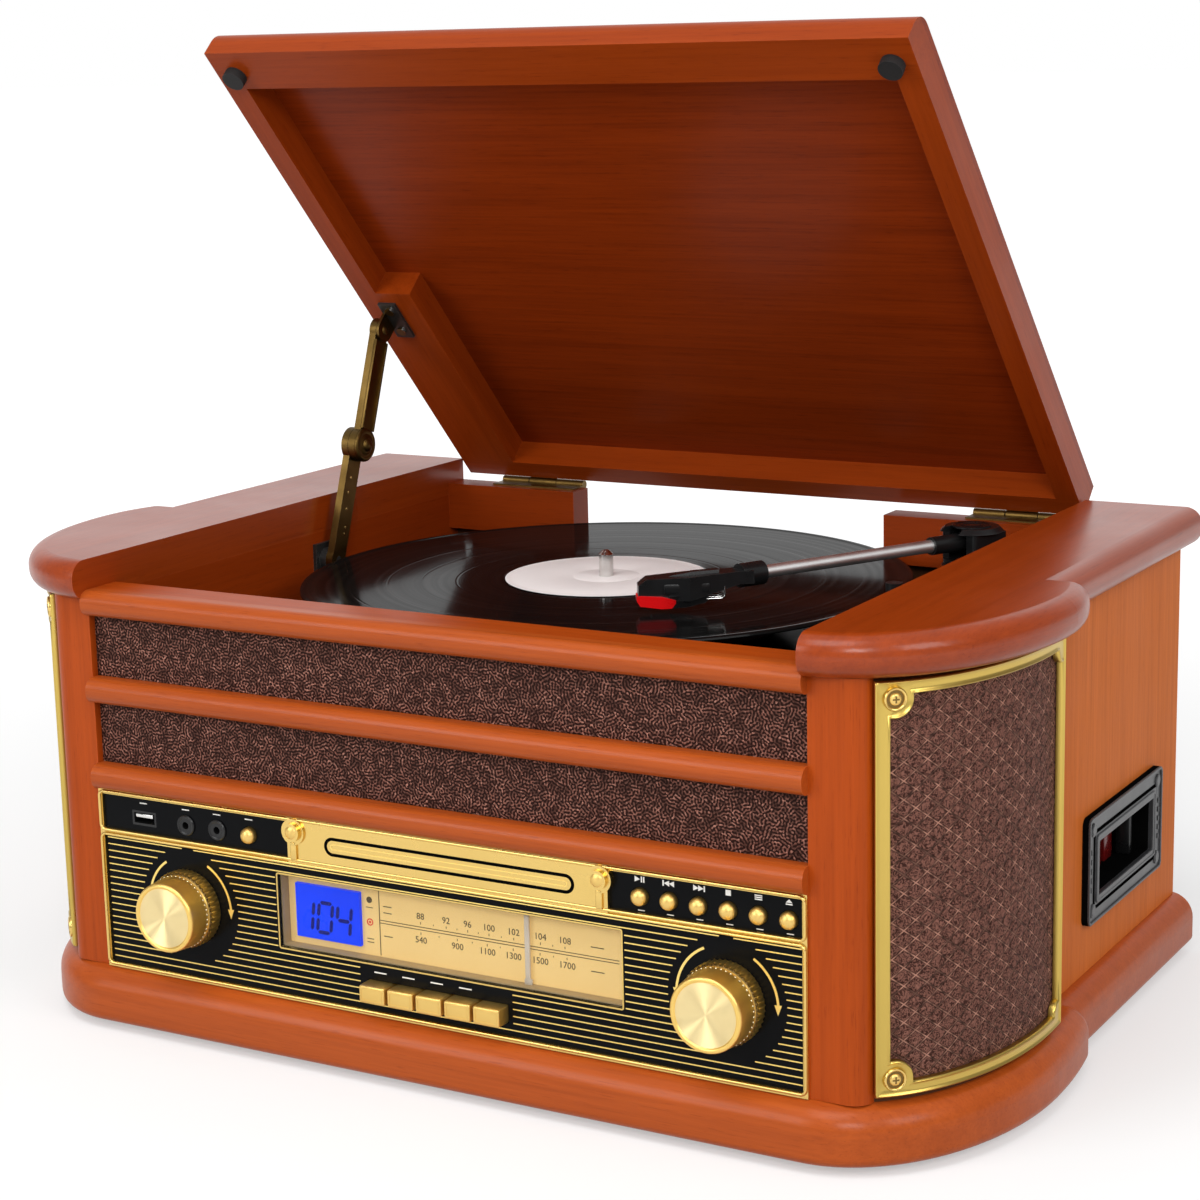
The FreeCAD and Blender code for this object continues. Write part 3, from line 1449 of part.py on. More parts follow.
def build_fascia():
    """Black fascia, gilt trim with the disc plate, dial, display, knobs, buttons and keys."""
    keys = key_places()
    gap = V.key_clearance
    key_low = plinth_top + V.key_rise
    key_xs = (keys[0][1] - gap, keys[-1][1] + V.key_width + gap)
    key_slot = fascia_slot("key_slot", key_xs, (key_low - gap, key_low + V.key_height + gap))
    window_xs = (-V.window_left, V.window_right)
    window_low = plinth_top + V.window_rise - V.window_height / 2
    window_zs = (window_low, window_low + V.window_height)
    holes = [key_slot, fascia_slot("window_slot", window_xs, window_zs)]
    for name, x in button_places():
        holes.append(fascia_hole(name + "_hole", V.button_radius + V.button_clearance, x, V.button_rise))
    for side, x in (("left", -knob_left_x), ("right", knob_right_x)):
        holes.append(fascia_hole("knob_hole_" + side, V.knob_hole_radius, x, V.knob_rise))
    for index, x in enumerate((jack_outer_x, jack_inner_x)):
        holes.append(fascia_hole("jack_hole_%d" % index, V.jack_radius, -x, V.button_rise))
    usb_half = V.usb_width / 2
    usb_low = plinth_top + V.button_rise - V.usb_height / 2
    holes.append(fascia_slot("usb_hole", (-usb_x - usb_half, usb_half - usb_x),
                             (usb_low, usb_low + V.usb_height)))
    drawer_ys = (fascia_front - V.plate_thickness - V.cut_overrun, fascia_rear + V.cut_overrun)
    holes.append(drawer_outline("drawer_hole", V.drawer_groove, drawer_ys))
    panel = box("fascia_blank", both_sides(bay_half), (fascia_front, fascia_rear), (plinth_top, fascia_top))
    node(cut("fascia", panel, holes), "fascia_panel")
    build_trim(drawer_ys)
    build_dial(window_xs, window_zs)
    build_drawer()
    build_knobs()
    build_buttons(keys)
    build_sockets(usb_low)


def build_trim(drawer_ys):
    """Gilt edge of the fascia, its dividing bar and the plate round the disc drawer."""
    ys = (fascia_front - V.trim_thickness, fascia_front)
    outer = box("trim_outer", both_sides(bay_half), ys, (plinth_top, fascia_top))
    band = V.trim_band
    inner = box("trim_inner", both_sides(bay_half - band),
                (ys[0] - V.cut_overrun, ys[1] + V.cut_overrun), (plinth_top + band, fascia_top - band))
    edge = cut("trim_edge", outer, [inner])
    divider_low = plinth_top + V.divider_rise - V.divider_band / 2
    divider = box("divider", both_sides(bay_half - band), ys, (divider_low, divider_low + V.divider_band))
    plate_y = fascia_front - V.plate_thickness
    plate = box("disc_plate", (-V.plate_left, V.plate_right), (plate_y, fascia_front),
                (divider_low, fascia_top))
    boss_at = (fascia_front - V.plate_thickness, plinth_top + V.plate_boss_rise)
    bosses = [
        cylinder("plate_boss", V.plate_boss_radius, V.plate_boss_height,
                 (x, boss_at[0], boss_at[1]), TO_FRONT)
        for x in (V.plate_boss_inset - V.plate_left, V.plate_right - V.plate_boss_inset)
    ]
    lug_length = V.plate_thickness + V.plate_lug_height
    lugs = [
        cylinder("plate_lug", V.plate_lug_radius, lug_length, (x, fascia_front, boss_at[1]), TO_FRONT)
        for x in (V.plate_boss_inset - V.plate_left, V.plate_right - V.plate_boss_inset)
    ]
    body = fuse("trim_body", [edge, divider, plate] + lugs + bosses)
    drawer_hole = drawer_outline("drawer_plate_hole", V.drawer_groove, drawer_ys)
    node(cut("trim", body, [drawer_hole]), "fascia_trim")


def build_dial(xs, zs):
    """Clear window, dial plate with its raised rim, blue display and the pointer on its rail."""
    window_ys = (fascia_front, fascia_front + V.window_thickness)
    node(box("window", xs, window_ys, zs), "dial_window")
    dial_front = fascia_front + V.dial_depth
    margin = V.fascia_thickness
    wide = (xs[0] - margin, xs[1] + margin)
    tall = (zs[0] - margin, zs[1] + margin)
    tray = box("dial_tray", wide, (fascia_rear, dial_front + V.dial_thickness), tall)
    hollow = box("dial_hollow", xs, (fascia_rear - V.cut_overrun, dial_front), zs)
    node(cut("dial", tray, [hollow]), "dial_plate")
    lcd_low = (zs[0] + zs[1]) / 2 - V.lcd_height / 2
    lcd_xs = (-V.lcd_left, V.lcd_width - V.lcd_left)
    lcd_ys = (dial_front - V.lcd_thickness, dial_front)
    node(box("lcd", lcd_xs, lcd_ys, (lcd_low, lcd_low + V.lcd_height)), "lcd_display")
    half = V.pointer_width / 2
    pointer_rear = dial_front - V.pointer_gap
    needle = box("needle", (V.pointer_x - half, V.pointer_x + half),
                 (pointer_rear - V.pointer_thickness, pointer_rear),
                 (zs[0] + V.pointer_end_gap, zs[1] - V.pointer_end_gap))
    foot_half = V.pointer_leg / 2
    foot = box("needle_foot", (V.pointer_x - foot_half, V.pointer_x + foot_half),
               (pointer_rear - V.pointer_thickness, dial_front - V.pointer_end_gap),
               (zs[0] + V.pointer_end_gap, zs[0] + V.pointer_end_gap + V.pointer_leg))
    node(fuse("pointer", [needle, foot]), "dial_pointer")


def build_drawer():
    """Disc drawer: a rounded face flush with the gilt plate and the tray behind it."""
    face_y = fascia_front - V.plate_thickness
    face = drawer_outline("drawer_face", as_size(0), (face_y, face_y + V.drawer_face))
    z = plinth_top + V.drawer_rise
    half = V.tray_height / 2
    xs = (V.tray_side_gap - V.drawer_left, V.drawer_right - V.tray_side_gap)
    tray_front = face_y + V.drawer_face
    tray_ys = (tray_front, tray_front + V.tray_length)
    tray = box("tray_blank", xs, tray_ys, (z - half, z + half))
    well_x = (xs[0] + xs[1]) / 2
    well_at = (well_x, tray_front + V.tray_well_set_back, z + half - V.tray_well_depth)
    well = cylinder("disc_well", V.tray_well_radius, V.tray_well_depth + V.cut_overrun, well_at)
    node(fuse("drawer", [face, cut("tray", tray, [well])]), "disc_drawer")


def build_knobs():
    """Volume and tuning knobs, each on its own shaft."""
    base = V.knob_gap
    face = V.knob_gap + V.knob_depth
    shaft_end = -(V.fascia_thickness + V.board_gap - V.pot_gap - V.pot_depth)
    profile = (
        (0, shaft_end),
        (V.knob_shaft_radius, shaft_end),
        (V.knob_shaft_radius, base),
        (V.knob_base_radius, base),
        (V.knob_base_radius, base + V.knob_base_depth),
        (V.knob_face_radius, base + V.knob_base_depth),
        (V.knob_face_radius, face - V.knob_dish_depth),
        (V.knob_face_radius - V.knob_dish_depth, face),
        (V.knob_dish_radius, face),
        (V.knob_dish_radius - V.knob_dish_depth, face - V.knob_dish_depth),
        (0, face - V.knob_dish_depth),
    )
    z = plinth_top + V.knob_rise
    node(turned("volume", profile, (-knob_left_x, fascia_front, z), TO_FRONT), "volume_knob")
    node(turned("tuning", profile, (knob_right_x, fascia_front, z), TO_FRONT), "tuning_knob")


def build_buttons(keys):
    """Seven round push buttons and five function keys, each free to travel."""
    dome = V.button_rim + V.button_dome
    profile = (
        (0, -V.button_stem),
        (V.button_radius, -V.button_stem),
        (V.button_radius, V.button_rim),
        (V.button_crown_radius, dome - V.button_dome / 4),
        (0, dome),
    )
    for name, x in button_places():
        at = (x, fascia_front, plinth_top + V.button_rise)
        node(turned(name + "_piece", profile, at, TO_FRONT), name)
    low = plinth_top + V.key_rise
    key_ys = (fascia_front - V.key_stand_out, fascia_rear + V.key_inside)
    for name, left in keys:
        blank = box(name + "_blank", (left, left + V.key_width), key_ys, (low, low + V.key_height))
        node(round_edges(name + "_piece", blank, V.key_edge_round, is_key_nose), name)


def is_key_nose(edge):
    """The edges of a key's front face."""
    return edge.BoundBox.YMax < fascia_front.value - V.key_stand_out.value + NUDGE


def build_sockets(usb_low):
    """Front memory-stick port and jacks, rear line outputs and mains inlet."""
    usb_half = V.usb_width / 2
    wall = V.usb_wall
    usb_xs = (-usb_x - usb_half, usb_half - usb_x)
    usb_high = usb_low + V.usb_height
    shell = box("usb_shell", usb_xs, (fascia_front, fascia_front + V.usb_depth), (usb_low, usb_high))
    mouth = box("usb_mouth", (usb_xs[0] + wall, usb_xs[1] - wall),
                (fascia_front - V.cut_overrun, fascia_front + V.usb_depth - wall),
                (usb_low + wall, usb_high - wall))
    sockets = [cut("usb", shell, [mouth])]
    jack_z = plinth_top + V.button_rise
    jack_front = fascia_front - V.jack_stand_out
    for index, x in enumerate((jack_outer_x, jack_inner_x)):
        barrel = cylinder("jack_barrel_%d" % index, V.jack_radius, V.jack_depth,
                          (-x, jack_front, jack_z), TO_BACK)
        bore = cylinder("jack_bore_%d" % index, V.jack_bore_radius, V.jack_depth,
                        (-x, jack_front - V.usb_wall, jack_z), TO_BACK)
        sockets.append(cut("jack_%d" % index, barrel, [bore]))
    for index in range(2):
        at = line_out_at(index)
        flange = cylinder("line_flange_%d" % index, V.line_out_flange_radius, V.line_out_flange,
                          at, TO_BACK)
        stem_at = (at[0], back_front, at[2])
        stem_length = V.back_thickness + V.line_out_stand_out
        stem = cylinder("line_stem_%d" % index, V.line_out_radius, stem_length, stem_at, TO_BACK)
        bore_length = V.line_out_stand_out + V.cut_overrun
        bore = cylinder("line_bore_%d" % index, V.line_out_bore_radius, bore_length,
                        at, TO_BACK)
        sockets.append(cut("line_out_%d" % index, fuse("line_%d" % index, [flange, stem]), [bore]))
    sockets.append(mains_inlet())
    node(group("socket_group", sockets), "sockets")


def line_out_at(index):
    """Where a line output's flange meets the back panel."""
    x = V.line_out_x + V.line_out_pitch * index
    return x, panel_rear, plinth_top + V.line_out_rise


def mains_box(name, growth, ys):
    """The mains inlet's oblong section, widened all round by a growth."""
    half_x = V.mains_width / 2 + growth
    half_z = V.mains_height / 2 + growth
    z = plinth_top + V.mains_rise
    return box(name, (-V.mains_x - half_x, half_x - V.mains_x), ys, (z - half_z, z + half_z))


def mains_inlet():
    """Recessed two-pin mains inlet: the lead that plugs into it isn't shown."""
    body = mains_box("mains_body", as_size(0), (panel_rear - V.mains_depth, panel_rear))
    flange = mains_box("mains_flange", V.mains_flange, (panel_rear, panel_rear + V.mains_flange))
    floor = panel_rear - V.mains_depth + V.mains_wall
    hollow = mains_box("mains_hollow", -V.mains_wall, (floor, panel_rear + V.mains_flange + V.cut_overrun))
    shell = cut("mains_shell", fuse("mains_blank", [body, flange]), [hollow])
    z = plinth_top + V.mains_rise
    pins = [
        cylinder("mains_pin", V.mains_pin_radius, V.mains_pin_length + V.mains_wall / 2,
                 (x - V.mains_x, floor - V.mains_wall / 2, z), TO_BACK)
        for x in both_sides(V.mains_pin_pitch / 2)
    ]
    return fuse("mains", [shell] + pins)


def rear_holes():
    """Holes in the back panel for the line outputs and the mains inlet."""
    ys = (back_front - V.cut_overrun, panel_rear + V.cut_overrun)
    holes = [mains_box("mains_hole", as_size(0), ys)]
    for index in range(2):
        x, _, z = line_out_at(index)
        length = V.back_thickness + V.cut_overrun * 2
        holes.append(cylinder("line_hole_%d" % index, V.line_out_radius, length, (x, ys[0], z), TO_BACK))
    return holes


def build_tape():
    """Tape bezel with its well on the right side, four screws and a raised inner frame."""
    low = plinth_top + V.tape_rise
    ys = (V.tape_y, V.tape_y + V.tape_length)
    zs = (low, low + V.tape_height)
    plate = box("tape_plate_blank", (side_half, side_half + V.tape_plate), ys, zs)
    plate = round_edges("tape_plate_piece", plate, V.tape_corner_round, is_tape_corner)
    inset = V.tape_frame_inset
    face = side_half + V.tape_plate
    mouth_y = V.tape_y + V.tape_mouth_front
    mouth_z = low + V.tape_mouth_low
    mouth_ys = (mouth_y, mouth_y + V.tape_mouth_length)
    mouth_zs = (mouth_z, mouth_z + V.tape_mouth_height)
    rim = V.tape_well_wall
    raised = box("tape_raised", (face, face + V.tape_frame_stand_out),
                 (mouth_ys[0] - rim, mouth_ys[1] + rim), (mouth_zs[0] - rim, mouth_zs[1] + rim))
    outer_rim = box("tape_outer_rim", (face, face + V.tape_frame_stand_out / 2),
                    (ys[0] + inset, ys[1] - inset), (zs[0] + inset, zs[1] - inset))
    well_end = side_half - V.tape_well_depth
    well = tape_tunnel("tape_well", as_size(0), well_end, side_half)
    mouth = box("tape_mouth", (well_end + V.tape_well_wall, face + V.tape_frame_stand_out + V.cut_overrun),
                mouth_ys, mouth_zs)
    screws = []
    for y in (ys[0] + V.tape_screw_inset, ys[1] - V.tape_screw_inset):
        for z in (zs[0] + V.tape_screw_inset, zs[1] - V.tape_screw_inset):
            screws.append(cylinder("tape_screw", V.tape_screw_radius, V.tape_screw_height,
                                   (face, y, z), TO_RIGHT))
    body = fuse("tape_body", [plate, raised, outer_rim, well] + screws)
    node(cut("tape", body, [mouth]), "tape_bezel")


def is_tape_corner(edge):
    """The four short corner edges of the tape plate."""
    box_of = edge.BoundBox
    return box_of.XLength > V.tape_plate.value - NUDGE and box_of.YLength < NUDGE


def build_inner():
    """Disc drive, tape mechanism, transformer and circuit boards inside the cabinet."""
    z = plinth_top + V.drawer_rise
    wall = V.drive_wall
    gap = V.drive_gap
    half = V.tray_height / 2
    xs = (V.tray_side_gap - V.drawer_left, V.drawer_right - V.tray_side_gap)
    front = fascia_rear
    tray_end = fascia_front - V.plate_thickness + V.drawer_face + V.tray_length
    housing = box("drive_housing", (xs[0] - gap - wall, xs[1] + gap + wall), (front, tray_end + gap + wall),
                  (z - half - gap - wall, z - half - gap - wall + V.drive_height))
    face_end = fascia_front - V.plate_thickness + V.drawer_face + gap
    room = box("drive_room", (xs[0] - gap, xs[1] + gap), (front - V.cut_overrun, tray_end + gap),
               (z - half - gap, z + half + gap))
    face_room = drawer_outline("face_room", V.drawer_groove, (front - V.cut_overrun, face_end))
    drive = cut("disc_drive", housing, [room, face_room])

    tape_low = plinth_top + V.tape_rise
    tape_right = side_half - V.tape_well_depth
    tape_ys = (V.tape_y + V.tape_mouth_front, V.tape_y + V.tape_mouth_front + V.tape_mouth_length)
    tape_unit = box("tape_unit", (tape_right - V.tape_unit_depth, tape_right), tape_ys,
                    (plinth_top, tape_low + V.tape_height))

    left = -V.transformer_x
    core_xs = (left, left + V.transformer_length)
    core_ys = (V.transformer_y, V.transformer_y + V.transformer_width)
    margin = V.transformer_core_margin
    core_mid = V.transformer_y + V.transformer_width / 2
    core = box("transformer_core", core_xs,
               (core_mid - V.transformer_core, core_mid + V.transformer_core),
               (plinth_top, plinth_top + V.transformer_height))
    coil = box("transformer_coil", (core_xs[0] + margin * 2, core_xs[1] - margin * 2), core_ys,
               (plinth_top + margin, plinth_top + V.transformer_height - margin))
    transformer = fuse("transformer", [core, coil])
    node(group("units", [drive, tape_unit, transformer]), "inner_units")
    build_boards()


def build_boards():
    """Main board on its pillars and the control boards behind the fascia."""
    board_y = fascia_rear + V.board_gap
    ys = (board_y, board_y + V.board_thickness)
    low = plinth_top + V.key_rise
    radius = V.board_spacer_radius
    control_top = plinth_top + V.divider_rise - V.drawer_height
    control = box("control_board", both_sides(bay_half - radius * 4), ys, (low, control_top))
    spacers = []
    for x in both_sides(bay_half - radius * 8):
        spacers.append(cylinder("control_spacer", radius, V.board_gap,
                                (x, fascia_rear, low + radius * 2), TO_BACK))
    pots = []
    pot_half = V.pot_width / 2
    pot_z = plinth_top + V.knob_rise
    for x in (-knob_left_x, knob_right_x):
        pots.append(box("pot", (x - pot_half, x + pot_half), (board_y - V.pot_depth, board_y),
                        (pot_z - pot_half, pot_z + pot_half)))
    button_z = plinth_top + V.button_rise
    tall = V.usb_height
    first_x = button_first_x - V.button_radius
    last_x = button_first_x + V.button_pitch * 5 + V.button_radius
    strip_y = fascia_rear + V.board_gap
    strip = box("button_board", (first_x, last_x), (strip_y, strip_y + V.board_thickness),
                (button_z - tall, button_z + tall))
    strip_spacer = cylinder("button_spacer", radius, V.board_gap,
                            (button_first_x + V.button_pitch / 2, fascia_rear, button_z), TO_BACK)
    left_xs = (-usb_x - V.usb_width / 2, V.button_radius - button_left_x)
    left_strip = box("socket_board", left_xs, (strip_y, strip_y + V.board_thickness),
                     (button_z - tall, button_z + tall))
    left_x = -(button_left_x + jack_inner_x) / 2
    left_spacer = cylinder("socket_spacer", radius, V.board_gap, (left_x, fascia_rear, button_z), TO_BACK)

    board_xs = (-V.main_board_x, V.main_board_length - V.main_board_x)
    board_ys = (V.main_board_y, V.main_board_y + V.main_board_width)
    main_z = plinth_top + V.main_board_rise
    main = box("main_board", board_xs, board_ys, (main_z, main_z + V.board_thickness))
    pillars = [
        cylinder("main_pillar", radius, V.main_board_rise, (x, y, plinth_top))
        for x in (board_xs[0] + radius * 2, board_xs[1] - radius * 2)
        for y in (board_ys[0] + radius * 2, board_ys[1] - radius * 2)
    ]
    boards = [
        fuse("control_boards", [control] + spacers + pots),
        fuse("button_boards", [strip, strip_spacer]),
        fuse("socket_boards", [left_strip, left_spacer]),
        fuse("main_boards", [main] + pillars),
    ]
    node(group("boards", boards), "circuit_boards")


def check_document():
    """Stop before anything is written if a feature failed or a piece isn't sound."""
    doc.recompute()
    failed = [
        part.Name for part in doc.Objects
        if "Invalid" in part.State or "Error" in part.State
    ]
    for part in NODES:
        if part.Shape.isNull() or not part.Shape.isValid() or not part.Shape.Solids:
            failed.append(part.Label)
    if failed:
        raise SystemExit("failed: " + ", ".join(failed))


def write_parts():
    """Write each sub-part to a file of its own name."""
    os.makedirs("parts", exist_ok=True)
    for part in NODES:
        part.Shape.exportStep("parts/%s.step" % part.Label)


build_cabinet()
build_front()
build_speakers()
build_deck()
build_tonearm()
build_lid()
build_fascia()
build_tape()
build_inner()
check_document()
write_parts()
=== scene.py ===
import logging
import math
from dataclasses import dataclass, field
from enum import Enum
from typing import Callable, Iterable, Sequence

import bmesh
import bpy
from mathutils import Matrix, Vector, noise


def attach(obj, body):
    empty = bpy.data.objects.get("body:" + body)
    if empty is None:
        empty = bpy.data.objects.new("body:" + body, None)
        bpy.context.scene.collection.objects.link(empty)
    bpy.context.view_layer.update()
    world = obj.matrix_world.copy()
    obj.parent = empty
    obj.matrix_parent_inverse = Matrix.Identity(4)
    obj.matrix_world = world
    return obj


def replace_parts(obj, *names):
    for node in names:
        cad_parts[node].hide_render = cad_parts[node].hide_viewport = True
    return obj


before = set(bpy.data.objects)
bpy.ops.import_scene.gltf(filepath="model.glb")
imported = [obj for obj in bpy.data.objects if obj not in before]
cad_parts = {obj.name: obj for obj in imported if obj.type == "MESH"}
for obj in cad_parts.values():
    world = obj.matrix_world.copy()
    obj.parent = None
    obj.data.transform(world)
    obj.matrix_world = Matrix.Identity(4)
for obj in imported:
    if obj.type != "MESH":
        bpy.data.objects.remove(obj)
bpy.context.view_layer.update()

# The looks of a table-top record player in a wooden cabinet. Lengths are in millimetres until a
# mesh is made, X runs to the right, Y to the back and Z up, as in the CAD frame.

LOG = logging.getLogger("record_player")
MM = 0.001
Colour = tuple[float, float, float]
Point2 = tuple[float, float]
Box = tuple[float, float, float, float]
Outline = list[Point2]
Face = tuple[int, ...]
# Width and height of one diamond of the quilted cloth, and the distance between its stitch lines.
QUILT_PITCH = (10.7, 7.85)
QUILT_SPREAD = 1 / math.hypot(1 / QUILT_PITCH[0], 1 / QUILT_PITCH[1])
# Angles in degrees above which an edge stays sharp, on printed, moulded and turned pieces.
PRINT_CREASE = 30.0
MOULDED_CREASE = 40.0
TURNED_CREASE = 50.0
# Where the buttons and keys stand across the fascia.
BUTTON_XS = {"mode": -97.3, "play": 106.7, "skip_back": 120.55, "skip_forward": 134.4, "stop": 148.25,
    "program": 162.1, "open_close": 175.95}
KEY_XS = {"tuner": -27.5, "disc": -12.45, "tape": 2.6, "phono": 17.65, "power": 32.7}
# Thickness of the dial's print.
DIAL_INK = 0.12
# Turn of the stretched highlight on turned pieces, as a share of a full turn.
SPUN_TURN = 0.25


class Grain(Enum):
    """Which way the grain of a board runs."""

    ACROSS = "x"
    DEEP = "y"
    UPRIGHT = "z"
    LID_SLOPE = "slope"


class Side(Enum):
    """Right or left half of the cabinet, as the sign of X."""

    RIGHT = 1
    LEFT = -1


class Wiring:
    """Adds nodes to one node tree and joins them up."""

    def __init__(self, tree: bpy.types.NodeTree) -> None:
        """Take over a node tree."""
        self.tree = tree

    def feed(self, socket: bpy.types.NodeSocket, value: object) -> None:
        """Link an output to a socket, or set the socket's own value."""
        if isinstance(value, bpy.types.NodeSocket):
            self.tree.links.new(value, socket)
        elif isinstance(value, (tuple, list)) and socket.type == "RGBA" and len(value) == 3:
            socket.default_value = (*value, 1.0)
        else:
            socket.default_value = value

    def fill(self, node: bpy.types.Node, **values: object) -> bpy.types.Node:
        """Feed a node's inputs by name, with underscores for spaces, and return the node."""
        for name, value in values.items():
            self.feed(node.inputs[name.replace("_", " ")], value)
        return node

    def node(self, kind: str, settings: dict[str, object] | None = None,
            **values: object) -> bpy.types.Node:
        """Add a node.

        Args:
            kind: the node's type without its ShaderNode prefix.
            settings: the node's own properties.
            values: its inputs by name, with underscores for spaces.

        Returns:
            The new node.
        """
        made = self.tree.nodes.new("ShaderNode" + kind)
        for name, value in (settings or {}).items():
            setattr(made, name, value)
        return self.fill(made, **values)

    def math(self, operation: str, first: object, second: object = 0.0,
            clamp: bool = False) -> bpy.types.NodeSocket:
        """Do a sum on two values and return its result."""
        made = self.node("Math", {"operation": operation, "use_clamp": clamp})
        self.feed(made.inputs[0], first)
        self.feed(made.inputs[1], second)
        return made.outputs[0]

    def mix(self, factor: object, first: object, second: object) -> bpy.types.NodeSocket:
        """Mix two colours and return the result."""
        made = self.node("Mix", {"data_type": "RGBA"})
        self.feed(made.inputs[0], factor)
        self.feed(made.inputs[6], first)
        self.feed(made.inputs[7], second)
        return made.outputs[2]

    def levels(self, value: object, low: float, high: float, to_low: float = 0.0,
            to_high: float = 1.0) -> bpy.types.NodeSocket:
        """Stretch a range of a value to another range, clamped."""
        made = self.node("MapRange", {"clamp": True}, Value=value, From_Min=low, From_Max=high,
            To_Min=to_low, To_Max=to_high)
        return made.outputs[0]

    def noise(self, vector: object, scale: object, detail: float = 2.0, rough: float = 0.5,
            bend: float = 0.0) -> bpy.types.NodeSocket:
        """Noise over a vector, as a value about one half."""
        made = self.node("TexNoise", Vector=vector, Scale=scale, Detail=detail, Roughness=rough,
            Distortion=bend)
        return made.outputs[0]

    def stretch(self, vector: object, scale: Sequence[float],
            turn: Sequence[float] = (0, 0, 0)) -> bpy.types.NodeSocket:
        """Turn and scale a vector."""
        made = self.node("Mapping", {"vector_type": "POINT"}, Vector=vector, Rotation=turn, Scale=scale)
        return made.outputs[0]

    def bump(self, height: object, distance: float, strength: float) -> bpy.types.NodeSocket:
        """Turn a height into a normal."""
        return self.node("Bump", Height=height, Distance=distance, Strength=strength).outputs[0]

    def here(self) -> bpy.types.NodeSocket:
        """The point on the surface in its object's own frame."""
        return self.node("TexCoord").outputs["Object"]

    def group(self, effect: bpy.types.NodeTree, **values: object) -> bpy.types.Node:
        """Place a shared effect with its own values."""
        return self.fill(self.node("Group", {"node_tree": effect}), **values)

    def spin(self, surface: bpy.types.Node, amount: float) -> None:
        """Stretch a finish's highlights round its Z axis, as turning does."""
        tangent = self.node("Tangent", {"direction_type": "RADIAL", "axis": "Z"})
        self.fill(surface, Anisotropic=amount, Anisotropic_Rotation=SPUN_TURN,
            Tangent=tangent.outputs[0])


